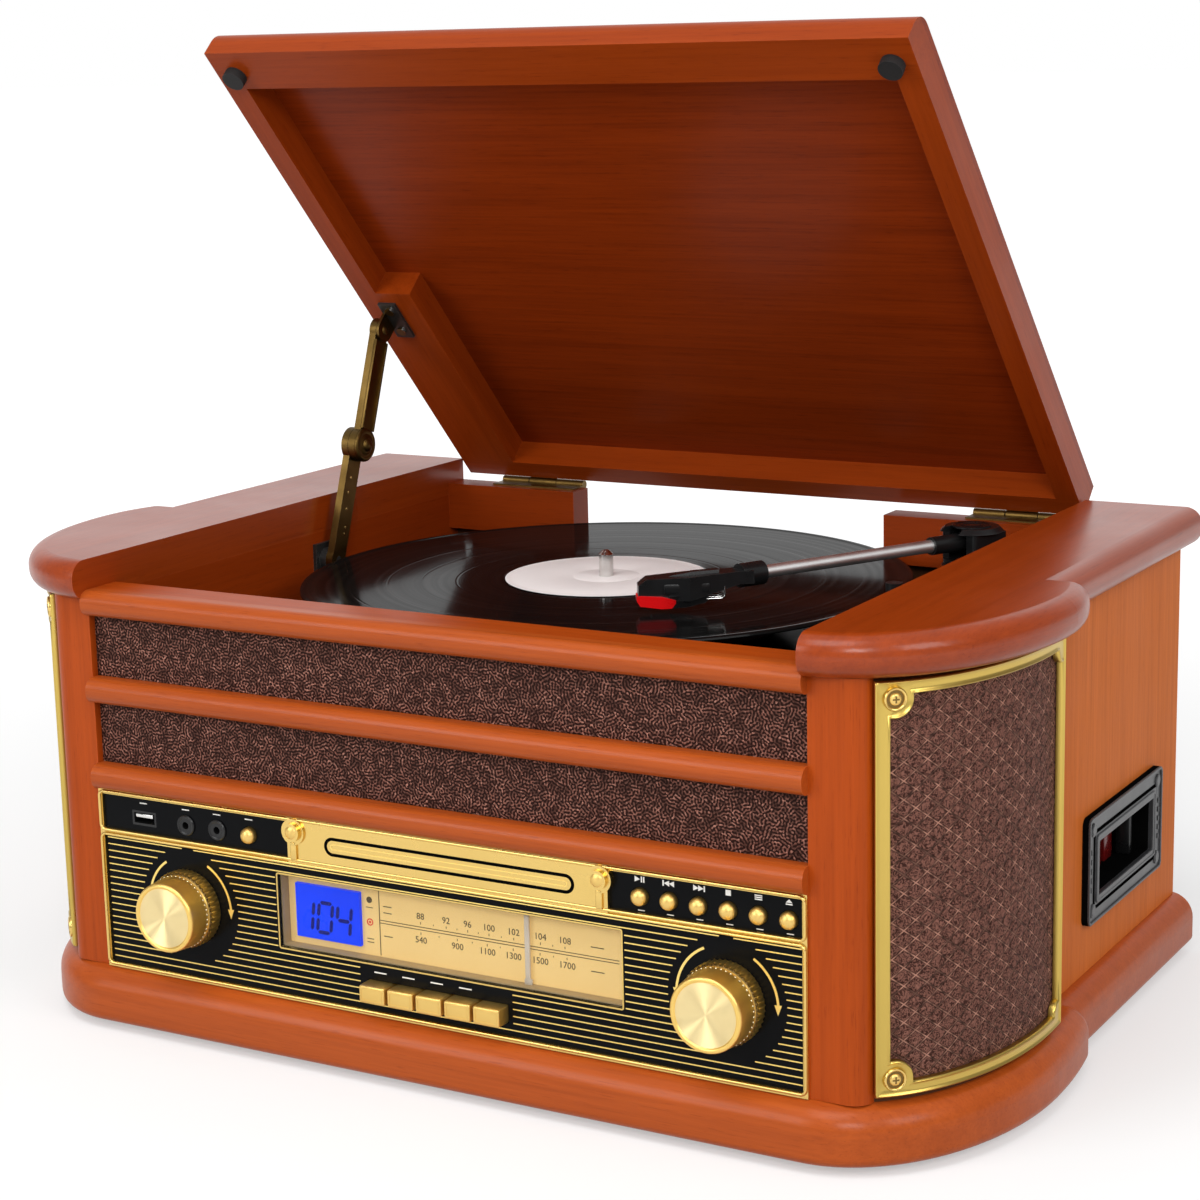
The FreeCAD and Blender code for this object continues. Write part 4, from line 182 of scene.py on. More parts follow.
class Effects:
    """The shader node groups that several finishes share, each built once."""

    def __init__(self) -> None:
        """Build every shared effect."""
        self.grain = self._grain()
        self.handling = self._handling()
        self.edge_wear_and_sheen = self._edge_wear_and_sheen()
        self.rings = self._rings()
        self.speckle = self._speckle()

    @staticmethod
    def _open(name: str, inputs: Iterable[tuple[str, str, object]],
            outputs: Iterable[tuple[str, str]]) -> tuple[Wiring, bpy.types.Node, bpy.types.Node]:
        """Start a group.

        Args:
            name: the group's name.
            inputs: name, kind and first value of each input.
            outputs: name and kind of each output.

        Returns:
            The group's wiring, its input node and its output node.
        """
        tree = bpy.data.node_groups.new(name, "ShaderNodeTree")
        for label, kind, value in inputs:
            socket = tree.interface.new_socket(label, in_out="INPUT", socket_type="NodeSocket" + kind)
            if value is not None:
                socket.default_value = value
        for label, kind in outputs:
            tree.interface.new_socket(label, in_out="OUTPUT", socket_type="NodeSocket" + kind)
        wires = Wiring(tree)
        return wires, tree.nodes.new("NodeGroupInput"), tree.nodes.new("NodeGroupOutput")

    def _grain(self) -> bpy.types.NodeTree:
        """Stained wood with its grain along the vector's X."""
        w, given, out = self._open("stained_grain",
            (("Vector", "Vector", None), ("Tone", "Color", (0.4, 0.1, 0.02, 1)),
            ("Dark", "Color", (0.2, 0.04, 0.01, 1)), ("Streaks", "Float", 0.5),
            ("Pores", "Float", 0.4)), (("Color", "Color"), ("Height", "Float")))
        place = given.outputs["Vector"]
        cloud = w.noise(w.stretch(place, (2.0, 16.0, 16.0)), 1.0, 3.0, 0.55)
        figure = w.noise(w.stretch(place, (5.5, 130.0, 130.0)), 1.0, 3.0, 0.55, 0.6)
        streak = w.noise(w.stretch(place, (16.0, 620.0, 620.0)), 1.0, 3.0, 0.6)
        pore = w.noise(w.stretch(place, (95.0, 1500.0, 1500.0)), 1.0, 2.0, 0.5)
        lines = w.math("ADD", w.math("MULTIPLY", w.levels(figure, 0.35, 0.7), 0.5),
            w.math("MULTIPLY", w.levels(streak, 0.38, 0.72), 0.5))
        lines = w.math("MULTIPLY", lines, given.outputs["Streaks"])
        ticks = w.math("MULTIPLY", w.levels(pore, 0.6, 0.76), given.outputs["Pores"])
        mask = w.math("ADD", lines, ticks, clamp=True)
        tone = w.mix(w.levels(cloud, 0.3, 0.7),
            w.mix(0.16, given.outputs["Tone"], given.outputs["Dark"]), given.outputs["Tone"])
        w.fill(out, Color=w.mix(mask, tone, given.outputs["Dark"]),
            Height=w.math("SUBTRACT", 1.0, mask))
        return w.tree

    def _handling(self) -> bpy.types.NodeTree:
        """Uneven gloss where hands and cloths have been."""
        w, given, out = self._open("handling_marks",
            (("Vector", "Vector", None), ("Scale", "Float", 30.0), ("Rough", "Float", 0.3),
            ("Spread", "Float", 0.08)), (("Roughness", "Float"), ("Mask", "Float")))
        broad = w.noise(given.outputs["Vector"], given.outputs["Scale"], 4.0, 0.6)
        smear = w.levels(broad, 0.3, 0.7, -1.0, 1.0)
        gloss = w.math("MULTIPLY", smear, given.outputs["Spread"])
        w.fill(out, Roughness=w.math("ADD", given.outputs["Rough"], gloss, clamp=True),
            Mask=w.levels(broad, 0.3, 0.7))
        return w.tree

    def _edge_wear_and_sheen(self) -> bpy.types.NodeTree:
        """Mask of the edges of a piece, broken up by noise, for rubbed wear; wood also uses it for a
        painted edge highlight.
        """
        w, given, out = self._open("edge_wear_and_sheen",
            (("Vector", "Vector", None), ("Width", "Float", 0.001), ("Scale", "Float", 220.0)),
            (("Mask", "Float"),))
        round_normal = w.node("Bevel", {"samples": 4}, Radius=given.outputs["Width"]).outputs[0]
        flat_normal = w.node("NewGeometry").outputs["Normal"]
        dot = w.node("VectorMath", {"operation": "DOT_PRODUCT"})
        w.feed(dot.inputs[0], round_normal)
        w.feed(dot.inputs[1], flat_normal)
        edge = w.levels(w.math("SUBTRACT", 1.0, dot.outputs["Value"]), 0.02, 0.25)
        broken = w.noise(given.outputs["Vector"], given.outputs["Scale"], 3.0)
        w.fill(out, Mask=w.math("MULTIPLY", edge, w.levels(broken, 0.3, 0.62)))
        return w.tree

    def _rings(self) -> bpy.types.NodeTree:
        """Fine turned rings about the object's Z axis, as a height and a mask of wider bands."""
        w, given, out = self._open("turned_rings",
            (("Vector", "Vector", None), ("Fine", "Float", 2000.0), ("Coarse", "Float", 200.0)),
            (("Height", "Float"), ("Bands", "Float")))
        parts = w.node("SeparateXYZ", Vector=given.outputs["Vector"])
        square = w.math("ADD", w.math("POWER", parts.outputs[0], 2.0),
            w.math("POWER", parts.outputs[1], 2.0))
        reach = w.math("SQRT", square)
        line = w.node("CombineXYZ", X=w.math("MULTIPLY", reach, given.outputs["Fine"])).outputs[0]
        wide = w.node("CombineXYZ", X=w.math("MULTIPLY", reach, given.outputs["Coarse"])).outputs[0]
        w.fill(out, Height=w.noise(line, 1.0, 3.0, 0.7), Bands=w.noise(wide, 1.0, 2.0, 0.6))
        return w.tree

    def _speckle(self) -> bpy.types.NodeTree:
        """Fine moulded grain of plastics and cast pieces."""
        w, given, out = self._open("moulded_grain",
            (("Vector", "Vector", None), ("Scale", "Float", 2500.0)),
            (("Height", "Float"), ("Mask", "Float")))
        fine = w.noise(given.outputs["Vector"], given.outputs["Scale"])
        w.fill(out, Height=fine, Mask=w.levels(fine, 0.35, 0.65))
        return w.tree


EFFECTS = Effects()


def open_material(name: str) -> tuple[bpy.types.Material, Wiring, bpy.types.Node]:
    """Start a material.

    Args:
        name: the material's name.

    Returns:
        The material, its wiring and its Principled node.
    """
    made = bpy.data.materials.new(name)
    made.use_nodes = True
    made.node_tree.nodes.clear()
    wires = Wiring(made.node_tree)
    surface = wires.node("BsdfPrincipled")
    wires.node("OutputMaterial", Surface=surface.outputs[0])
    return made, wires, surface


@dataclass(frozen=True)
class Wood:
    """Stained and lacquered wood, its edges lightened partly by wear and partly by a painted highlight.
    """

    name: str
    grain: Grain
    tone: Colour = (0.46, 0.072, 0.0062)
    dark: Colour = (0.225, 0.027, 0.0016)
    streaks: float = 0.55
    pores: float = 0.45
    rough: float = 0.38
    coat: float = 0.08
    specular: float = 0.10
    lid_angle: float = 46.6
    wear: float = 0.45
    wear_width: float = 0.0011
    pore_depth: float = 0.00006
    coat_rough: float = 0.2

    def material(self) -> bpy.types.Material:
        """Build the finish."""
        made, w, surface = open_material(self.name)
        turn = {Grain.ACROSS: (0.0, 0.0, 0.0), Grain.DEEP: (0.0, 0.0, math.pi / 2),
            Grain.UPRIGHT: (0.0, math.pi / 2, 0.0),
            Grain.LID_SLOPE: (math.radians(self.lid_angle), 0.0, 0.0)}[self.grain]
        here = w.here()
        along = w.stretch(here, (1, 1, 1), turn)
        if self.grain is Grain.LID_SLOPE:
            along = w.stretch(along, (1, 1, 1), (0.0, 0.0, math.pi / 2))
        board = w.group(EFFECTS.grain, Vector=along, Tone=self.tone, Dark=self.dark,
            Streaks=self.streaks, Pores=self.pores)
        wear = w.group(EFFECTS.edge_wear_and_sheen, Vector=here, Width=self.wear_width,
            Scale=140.0).outputs["Mask"]
        # Edges are lightened partly as wear and partly as a painted highlight.
        worn_and_lit_edge = tuple(min(1.0, part * 1.3 + 0.01) for part in self.tone)
        colour = w.mix(w.math("MULTIPLY", wear, self.wear), board.outputs["Color"], worn_and_lit_edge)
        gloss = w.group(EFFECTS.handling, Vector=here, Scale=14.0, Rough=self.rough, Spread=0.05)
        normal = w.bump(board.outputs["Height"], self.pore_depth, 0.35)
        w.fill(surface, Base_Color=colour, Roughness=gloss.outputs["Roughness"], Normal=normal)
        w.fill(surface, Specular_IOR_Level=self.specular, Coat_Weight=self.coat,
            Coat_Roughness=self.coat_rough)
        return made


@dataclass(frozen=True)
class Metal:
    """Gilt, brass, chrome or steel with rubbed edges and a trace of brushing."""

    name: str
    tone: Colour
    shade: Colour
    rough: float = 0.28
    spread: float = 0.08
    brushed: tuple[float, float, float] = (60.0, 2600.0, 2600.0)
    brush_depth: float = 0.00002
    patina: float = 0.25
    patina_scale: float = 60.0
    spun: float = 0.0
    wear: float = 0.35
    wear_width: float = 0.0005

    def material(self) -> bpy.types.Material:
        """Build the finish."""
        made, w, surface = open_material(self.name)
        here = w.here()
        marks = w.group(EFFECTS.handling, Vector=here, Scale=self.patina_scale, Rough=self.rough,
            Spread=self.spread)
        dull = w.math("MULTIPLY", marks.outputs["Mask"], self.patina)
        colour = w.mix(dull, self.tone, self.shade)
        if self.wear:
            rubbed = w.group(EFFECTS.edge_wear_and_sheen, Vector=here, Width=self.wear_width,
                Scale=300.0).outputs["Mask"]
            bright = tuple(min(1.0, part * 1.15 + 0.04) for part in self.tone)
            colour = w.mix(w.math("MULTIPLY", rubbed, self.wear), colour, bright)
        if self.spun:
            height = w.group(EFFECTS.rings, Vector=here, Fine=2600.0, Coarse=300.0).outputs["Height"]
        else:
            height = w.noise(w.stretch(here, self.brushed), 1.0, 2.0)
        normal = w.bump(height, self.brush_depth, 0.3)
        w.fill(surface, Base_Color=colour, Roughness=marks.outputs["Roughness"], Normal=normal,
            Metallic=1.0)
        if self.spun:
            w.spin(surface, self.spun)
        return made


@dataclass(frozen=True)
class Plastic:
    """Moulded plastic, rubber, paper or paint: a coloured base with a fine moulded grain."""

    name: str
    tone: Colour
    shade: Colour
    rough: float = 0.4
    spread: float = 0.06
    grain_scale: float = 2200.0
    grain_depth: float = 0.00003
    specular: float = 0.4
    coat: float = 0.0
    edge: Colour = (0.09, 0.09, 0.092)
    wear: float = 0.25
    glow: Colour | None = None
    glow_strength: float = 0.0
    alpha: float = 1.0
    coat_rough: float = 0.08
    wear_width: float = 0.0004

    def material(self) -> bpy.types.Material:
        """Build the finish."""
        made, w, surface = open_material(self.name)
        here = w.here()
        marks = w.group(EFFECTS.handling, Vector=here, Scale=45.0, Rough=self.rough, Spread=self.spread)
        speckle = w.group(EFFECTS.speckle, Vector=here, Scale=self.grain_scale)
        blend = w.math("MULTIPLY", w.math("ADD", marks.outputs["Mask"], speckle.outputs["Mask"]), 0.5)
        colour = w.mix(blend, self.tone, self.shade)
        if self.wear:
            rubbed = w.group(EFFECTS.edge_wear_and_sheen, Vector=here, Width=self.wear_width,
                Scale=400.0).outputs["Mask"]
            colour = w.mix(w.math("MULTIPLY", rubbed, self.wear), colour, self.edge)
        normal = w.bump(speckle.outputs["Height"], self.grain_depth, 0.5)
        w.fill(surface, Base_Color=colour, Roughness=marks.outputs["Roughness"], Normal=normal,
            Alpha=self.alpha)
        w.fill(surface, Specular_IOR_Level=self.specular, Coat_Weight=self.coat,
            Coat_Roughness=self.coat_rough)
        if self.glow is not None:
            w.fill(surface, Emission_Color=w.mix(blend, self.glow, self.shade),
                Emission_Strength=self.glow_strength)
        return made


class Finishes:
    """Every finish of the player, made once and looked up by name."""

    def __init__(self) -> None:
        """Make all the materials."""
        # The bay walls' wood is a darker copy, a painted shade of the bay.
        bay_shaded_tone = (0.32, 0.041, 0.003)
        bay_shaded_streak = (0.17, 0.021, 0.0018)
        self.wood = {grain: Wood("wood_" + grain.value, grain).material() for grain in Grain}
        self.shaded_inner_wood = {grain: Wood("shaded_inner_wood_" + grain.value, grain, bay_shaded_tone,
            bay_shaded_streak).material() for grain in Grain}
        self.front_wood = Wood("front_wood", Grain.ACROSS, (0.48, 0.090, 0.012), (0.26, 0.038, 0.004),
            specular=0.14, coat=0.15).material()
        # The caps' wood is darker, a painted shade on their tops.
        self.cap_wood_shaded = Wood("cap_wood_shaded", Grain.DEEP, (0.36, 0.050, 0.004), (0.17, 0.018, 0.001),
            rough=0.32, coat=0.3, specular=0.2).material()
        # The lid panel's wood is darker, a painted shade on the lid's underside.
        self.lid_wood_shaded = Wood("lid_wood_shaded", Grain.ACROSS, (0.31, 0.039, 0.003), (0.14, 0.014, 0.0009),
            streaks=0.7).material()
        self.lid_rail_wood = {grain: Wood("lid_rail_" + grain.value, grain, (0.37, 0.053, 0.0042),
            (0.19, 0.022, 0.0013)).material() for grain in (Grain.ACROSS, Grain.LID_SLOPE)}
        # The side panels' wood is lighter, painted light where the side lamp falls.
        self.side_wood_lit = Wood("side_wood_lit", Grain.UPRIGHT, (0.70, 0.185, 0.036), (0.48, 0.105, 0.016),
            streaks=0.7, specular=0.02, coat=0.0).material()
        self.gilt = Metal("gilt", (0.77, 0.54, 0.175), (0.66, 0.44, 0.12), 0.27, 0.03,
            brush_depth=0.000002, patina=0.3, patina_scale=14.0, wear=0.0).material()
        # Its pale tone is partly the spun metal and partly a painted sheen of the turned face.
        self.gilt_spun = Metal("gilt_spun", (1.0, 0.82, 0.43), (0.86, 0.66, 0.30), 0.44, 0.02,
            brush_depth=0.000003, spun=0.95).material()
        self.gilt_dull = Metal("gilt_dull", (0.58, 0.41, 0.10), (0.50, 0.34, 0.08), 0.3, 0.04,
            brush_depth=0.000002, patina_scale=14.0, wear=0.0).material()
        self.gilt_satin = Metal("gilt_satin", (0.80, 0.55, 0.175), (0.70, 0.46, 0.125), 0.43, 0.04,
            brush_depth=0.000002, patina_scale=25.0, wear=0.0).material()
        self.gilt_line = Metal("gilt_line", (0.98, 0.74, 0.24), (0.86, 0.62, 0.18), 0.5, 0.05,
            wear=0.0).material()
        self.gilt_side = Metal("gilt_side", (0.90, 0.62, 0.18), (0.78, 0.50, 0.12), 0.38, 0.04,
            brush_depth=0.000002, patina_scale=25.0, wear=0.0).material()
        self.brass = Metal("aged_brass", (0.17, 0.104, 0.030), (0.085, 0.048, 0.012), 0.4, 0.08,
            brush_depth=0.00001, patina=0.6).material()
        self.bright_brass = Metal("rubbed_brass", (0.66, 0.47, 0.17), (0.5, 0.34, 0.11), 0.25,
            0.06).material()
        # Pale metal for the knob's dots, a painted glint on each.
        self.bright = Metal("painted_glint_dots", (0.95, 0.86, 0.62), (0.9, 0.8, 0.52), 0.2, 0.04).material()
        self.dark_brass = Metal("dark_brass", (0.20, 0.125, 0.04), (0.12, 0.07, 0.02), 0.4,
            0.06).material()
        self.steel = Metal("bright_steel", (0.72, 0.71, 0.69), (0.5, 0.49, 0.47), 0.2, 0.06).material()
        self.chrome = Metal("tube_chrome", (0.97, 0.96, 0.95), (0.90, 0.89, 0.88), 0.42, 0.03,
            brush_depth=0.000002, patina=0.12, wear=0.0).material()
        self.black = Plastic("black_plastic", (0.006, 0.006, 0.0063), (0.010, 0.010, 0.0105), 0.3,
            specular=0.35, edge=(0.12, 0.12, 0.12), wear=0.4).material()
        self.black_gloss = Plastic("black_gloss", (0.0035, 0.0038, 0.0045), (0.0052, 0.0055, 0.0062),
            0.2, specular=0.05, wear=0.0).material()
        # Matt black with no reflection, a painted shadow in grooves, recesses and screw heads.
        self.painted_shadow_gap = Plastic("painted_shadow_gap", (0.002, 0.002, 0.002), (0.004, 0.004, 0.004), 0.8,
            specular=0.0, wear=0.0).material()
        self.grey_plastic = Plastic("tape_grey", (0.026, 0.027, 0.029), (0.036, 0.036, 0.038), 0.32,
            specular=0.6, wear=0.7, edge=(0.22, 0.22, 0.23)).material()
        self.black_metal = Plastic("black_enamel", (0.016, 0.0155, 0.015), (0.026, 0.025, 0.024), 0.3,
            wear=0.6, edge=(0.2, 0.19, 0.17)).material()
        self.rubber = Plastic("soft_rubber", (0.012, 0.012, 0.012), (0.022, 0.021, 0.021), 0.62,
            specular=0.25).material()
        self.card = Plastic("dial_card", (0.88, 0.62, 0.25), (0.84, 0.58, 0.225), 0.5, specular=0.2,
            wear=0.0, glow=(0.88, 0.62, 0.25), glow_strength=0.25).material()
        self.surround = Plastic("dial_surround", (0.42, 0.31, 0.16), (0.36, 0.26, 0.13), 0.45,
            wear=0.0).material()
        self.ink = Plastic("dial_ink", (0.10, 0.075, 0.04), (0.16, 0.12, 0.065), 0.6, specular=0.1,
            wear=0.0).material()
        self.white_ink = Plastic("white_ink", (0.90, 0.89, 0.86), (0.82, 0.81, 0.78), 0.5, specular=0.2,
            wear=0.0).material()
        self.red = Plastic("stylus_red", (0.92, 0.008, 0.010), (0.80, 0.006, 0.008), 0.3, wear=0.0,
            coat=0.3).material()
        self.dark_red = Plastic("tape_red", (0.17, 0.006, 0.006), (0.10, 0.004, 0.004), 0.25, wear=0.0,
            coat=0.3).material()
        self.paper = Plastic("label_paper", (0.93, 0.885, 0.87), (0.90, 0.85, 0.835), 0.55,
            specular=0.2, wear=0.0).material()
        self.pointer = Plastic("pointer_clear", (0.86, 0.80, 0.70), (0.78, 0.71, 0.60), 0.2, wear=0.0,
            alpha=0.72).material()
        self.display = Plastic("lit_display", (0.0012, 0.035, 0.62), (0.001, 0.026, 0.56), 0.3,
            wear=0.0, glow=(0.0003, 0.045, 0.88), glow_strength=0.88, specular=0.2).material()
        self.segment = Plastic("display_segment", (0.0006, 0.003, 0.10), (0.0006, 0.003, 0.13), 0.4,
            wear=0.0, glow=(0.0006, 0.003, 0.20), glow_strength=0.5, specular=0.2).material()
        self.window = Plastic("clear_window", (0.05, 0.048, 0.042), (0.06, 0.057, 0.05), 0.06, 0.02,
            grain_depth=0.000002, wear=0.0, alpha=0.07).material()
        self.vinyl = self._vinyl()
        self.front_cloth = self._front_cloth()
        self.grille_cloth = self._grille_cloth()
        self.hardboard = Plastic("stained_board", (0.10, 0.035, 0.012), (0.07, 0.024, 0.008), 0.6,
            specular=0.2, edge=(0.2, 0.1, 0.05)).material()
        self.green = Plastic("bare_board", (0.03, 0.14, 0.05), (0.02, 0.10, 0.04), 0.5,
            wear=0.0).material()
        self.grey_metal = Plastic("plain_grey", (0.33, 0.34, 0.35), (0.28, 0.29, 0.30), 0.4).material()

    @staticmethod
    def _front_cloth() -> bpy.types.Material:
        """Brown cloth of short curled yarns that lie every way, with a painted sheen on some yarns."""
        made, w, surface = open_material("curled_cloth")
        here = w.here()
        parts = w.node("SeparateXYZ", Vector=here)
        flat = w.node("CombineXYZ", X=parts.outputs[0], Y=parts.outputs[2]).outputs[0]
        curl = w.node("TexGabor", {"gabor_type": "2D"}, Vector=flat, Scale=290.0, Frequency=2.25,
            Anisotropy=0.0)
        ridge = w.math("ABSOLUTE",
            w.math("SUBTRACT", w.math("MULTIPLY", curl.outputs["Phase"], 2.0), 1.0))
        worm = w.levels(ridge, 0.36, 0.85)
        cut = w.levels(w.noise(here, 420.0, 1.0), 0.40, 0.58, 0.28, 1.0)
        lit = w.math("MULTIPLY", worm, cut)
        # A painted sheen lightens some of the yarns.
        painted_yarn_sheen = w.levels(w.noise(here, 700.0, 1.0), 0.5, 0.7)
        yarn = w.mix(painted_yarn_sheen, (0.25, 0.104, 0.076), (0.50, 0.235, 0.175))
        colour = w.mix(lit, (0.018, 0.0062, 0.0045), yarn)
        w.fill(surface, Base_Color=colour, Normal=w.bump(lit, 0.0004, 0.6), Roughness=0.65,
            Specular_IOR_Level=0.08)
        return made

    @staticmethod
    def _grille_cloth() -> bpy.types.Material:
        """Brown cloth quilted in diamonds, with pale crossed stitches and a painted shade along the
        quilting lines.
        """
        made, w, surface = open_material("quilted_cloth")
        here = w.here()
        sway = w.math("MULTIPLY", w.math("SUBTRACT", w.noise(here, 70.0, 1.0), 0.5), 0.05)
        run = w.node("Attribute", {"attribute_name": "run"}).outputs["Fac"]
        across = w.math("ADD", w.math("DIVIDE", run, QUILT_PITCH[0]), sway)
        up = w.math("DIVIDE", w.node("SeparateXYZ", Vector=here).outputs[2], QUILT_PITCH[1] * MM)
        gaps = []
        for value in (w.math("ADD", across, up), w.math("SUBTRACT", across, up)):
            share = w.math("SUBTRACT", w.math("FRACT", w.math("ADD", value, 0.5)), 0.5)
            gaps.append(w.math("MULTIPLY", w.math("ABSOLUTE", share), QUILT_SPREAD))
        near, far = w.math("MINIMUM", *gaps), w.math("MAXIMUM", *gaps)
        curl = w.noise(here, 620.0, 1.0, 0.5, 1.2)
        worm = w.levels(w.math("ABSOLUTE", w.math("SUBTRACT", curl, 0.5)), 0.0, 0.12, 1.0, 0.0)
        # The cloth and its curls darken near the quilting lines, a painted shade in the creases.
        lit = w.math("MULTIPLY", worm, w.levels(near, 0.2, 0.8))
        colour = w.mix(w.levels(near, 0.2, 0.75), (0.006, 0.0022, 0.0018), (0.050, 0.0185, 0.0135))
        colour = w.mix(lit, colour, (0.28, 0.123, 0.091))
        broken = w.levels(w.noise(here, 130.0, 1.0), 0.38, 0.58, 0.28, 1.0)
        arm = w.math("MULTIPLY", w.levels(far, 1.1, 3.1, 1.0, 0.3), broken)
        stitch = w.math("MULTIPLY", w.levels(near, 0.12, 0.40, 1.0, 0.0), arm)
        colour = w.mix(stitch, colour, (0.50, 0.25, 0.18))
        w.fill(surface, Base_Color=colour, Normal=w.bump(worm, 0.0003, 0.6), Roughness=0.65,
            Specular_IOR_Level=0.08)
        return made

    @staticmethod
    def _vinyl() -> bpy.types.Material:
        """Black vinyl with its grooves."""
        made, w, surface = open_material("grooved_vinyl")
        here = w.here()
        rings = w.group(EFFECTS.rings, Vector=here, Fine=1500.0, Coarse=210.0)
        dull = w.levels(rings.outputs["Bands"], 0.35, 0.65)
        colour = w.mix(dull, (0.0035, 0.0034, 0.0034), (0.0065, 0.0062, 0.006))
        marks = w.group(EFFECTS.handling, Vector=here, Scale=9.0, Rough=0.09, Spread=0.025)
        rough = w.math("ADD", marks.outputs["Roughness"], w.math("MULTIPLY", dull, 0.05))
        normal = w.bump(rings.outputs["Height"], 0.000012, 0.5)
        coat = w.levels(rings.outputs["Bands"], 0.38, 0.62, 0.0, 0.10)
        w.fill(surface, Base_Color=colour, Roughness=rough, Normal=normal)
        w.fill(surface, Coat_Weight=coat, Coat_Roughness=0.06, Specular_IOR_Level=0.012)
        w.spin(surface, 0.4)
        return made


def dress(finish: bpy.types.Material, *nodes: str) -> None:
    """Give CAD nodes a finish."""
    for name in nodes:
        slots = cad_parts[name].data.materials
        slots.clear()
        slots.append(finish)
        LOG.info("dressed %s in %s", name, finish.name)


def dress_by_face(name: str, finishes: Sequence[bpy.types.Material],
        choose: Callable[[Vector], int]) -> None:
    """Give the faces of one CAD node different finishes.

    Args:
        name: the node.
        finishes: its finishes in order.
        choose: gives the finish's place in that order for a face's middle, in millimetres.
    """
    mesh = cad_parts[name].data
    mesh.materials.clear()
    for finish in finishes:
        mesh.materials.append(finish)
    mesh.polygons.foreach_set("material_index", [choose(face.center / MM) for face in mesh.polygons])
    LOG.info("dressed %s in %d finishes", name, len(finishes))


FRONT = Matrix(((1, 0, 0, 0), (0, 0, -1, 0), (0, 1, 0, 0), (0, 0, 0, 1)))
RIGHT = Matrix(((0, 0, 1, 0), (1, 0, 0, 0), (0, 1, 0, 0), (0, 0, 0, 1)))
REAR = Matrix(((-1, 0, 0, 0), (0, 0, 1, 0), (0, 1, 0, 0), (0, 0, 0, 1)))
Solid = tuple[list[Vector], list[Face]]


def stand(name: str, data: bpy.types.ID) -> bpy.types.Object:
    """Add an object with its data to the scene."""
    made = bpy.data.objects.new(name, data)
    bpy.context.scene.collection.objects.link(made)
    return made


def put(x: float, y: float, z: float, turn: Matrix = Matrix.Identity(4)) -> Matrix:
    """Place a solid at a point, turned."""
    return Matrix.Translation((x, y, z)) @ turn


def turned(profile: Sequence[Point2], steps: int = 48,
        ripple: Callable[[int, float], float] | None = None) -> Solid:
    """Turn a profile about Z.

    Args:
        profile: radius and height of each row, from the back to the front.
        steps: how many facets go round.
        ripple: what is added to the radius for a row and a share of the turn.

    Returns:
        The turned solid.
    """
    points: list[Vector] = []
    rings: list[list[int]] = []
    for row, (radius, height) in enumerate(profile):
        count = steps if radius > 1e-6 else 1
        rings.append(list(range(len(points), len(points) + count)))
        for step in range(count):
            angle = 2 * math.pi * step / steps
            reach = radius + (ripple(row, step / steps) if ripple else 0.0)
            points.append(Vector((reach * math.cos(angle), reach * math.sin(angle), height)))
    faces: list[Face] = []
    for low, high in zip(rings, rings[1:]):
        for step in range(max(len(low), len(high))):
            after = step + 1
            corners = (low[step % len(low)], low[after % len(low)], high[after % len(high)],
                high[step % len(high)])
            faces.append(tuple(dict.fromkeys(corners)))
    return points, faces


def skin(sections: Sequence[Sequence[Sequence[float]]], closed: bool = False) -> Solid:
    """Join equal sections into a skin, with ends unless the run is closed."""
    count, runs = len(sections[0]), len(sections)
    points = [Vector(point) for section in sections for point in section]
    faces: list[Face] = []
    for run in range(runs if closed else runs - 1):
        ahead = (run + 1) % runs
        for step in range(count):
            after = (step + 1) % count
            faces.append((run * count + step, run * count + after, ahead * count + after,
                ahead * count + step))
    if not closed:
        faces.append(tuple(reversed(range(count))))
        faces.append(tuple(range((runs - 1) * count, runs * count)))
    return points, faces


def shares(count: int) -> list[float]:
    """Even shares of a run, from the first step to the end."""
    return [step / count for step in range(1, count + 1)]


def inset_outline(outline: Sequence[Point2], depth: float) -> Outline:
    """Move an anticlockwise outline inwards."""
    moved: list[Point2] = []
    for index, here in enumerate(outline):
        before, after = Vector(outline[index - 1]), Vector(outline[(index + 1) % len(outline)])
        first, second = (Vector(here) - before).normalized(), (after - Vector(here)).normalized()
        normal = Vector((-first.y - second.y, first.x + second.x))
        normal = normal.normalized() / max(0.4, math.sqrt(max(0.16, (1 + first.dot(second)) / 2)))
        moved.append((here[0] + normal.x * depth, here[1] + normal.y * depth))
    return moved


def slab(outline: Sequence[Point2], low: float, high: float) -> Solid:
    """Raise an outline into a slab."""
    return skin([[(x, y, level) for x, y in outline] for level in (low, high)])


def band(outer: Sequence[Point2], inner: Sequence[Point2], low: float, high: float,
        round_off: float = 0.0) -> Solid:
    """Raise the band between two matching outlines."""
    rings = [(outer, low), (outer, high - round_off)]
    if round_off:
        rings += [(inset_outline(outer, round_off), high), (inset_outline(inner, -round_off), high)]
    rings += [(inner, high - round_off), (inner, low)]
    return skin([[(x, y, level) for x, y in ring] for ring, level in rings], closed=True)


def rounded(left: float, right: float, low: float, high: float, radius: float,
        steps: int = 6) -> Outline:
    """Outline of a rectangle with rounded corners, anticlockwise."""
    corners = ((right - radius, low + radius, -90), (right - radius, high - radius, 0),
        (left + radius, high - radius, 90), (left + radius, low + radius, 180))
    outline: list[Point2] = []
    for x, y, start in corners:
        for step in range(steps + 1):
            angle = math.radians(start + 90 * step / steps)
            outline.append((x + radius * math.cos(angle), y + radius * math.sin(angle)))
    return outline


def oblong(left: float, right: float, low: float, high: float) -> Outline:
    """Outline of a plain rectangle, anticlockwise."""
    return [(left, low), (right, low), (right, high), (left, high)]


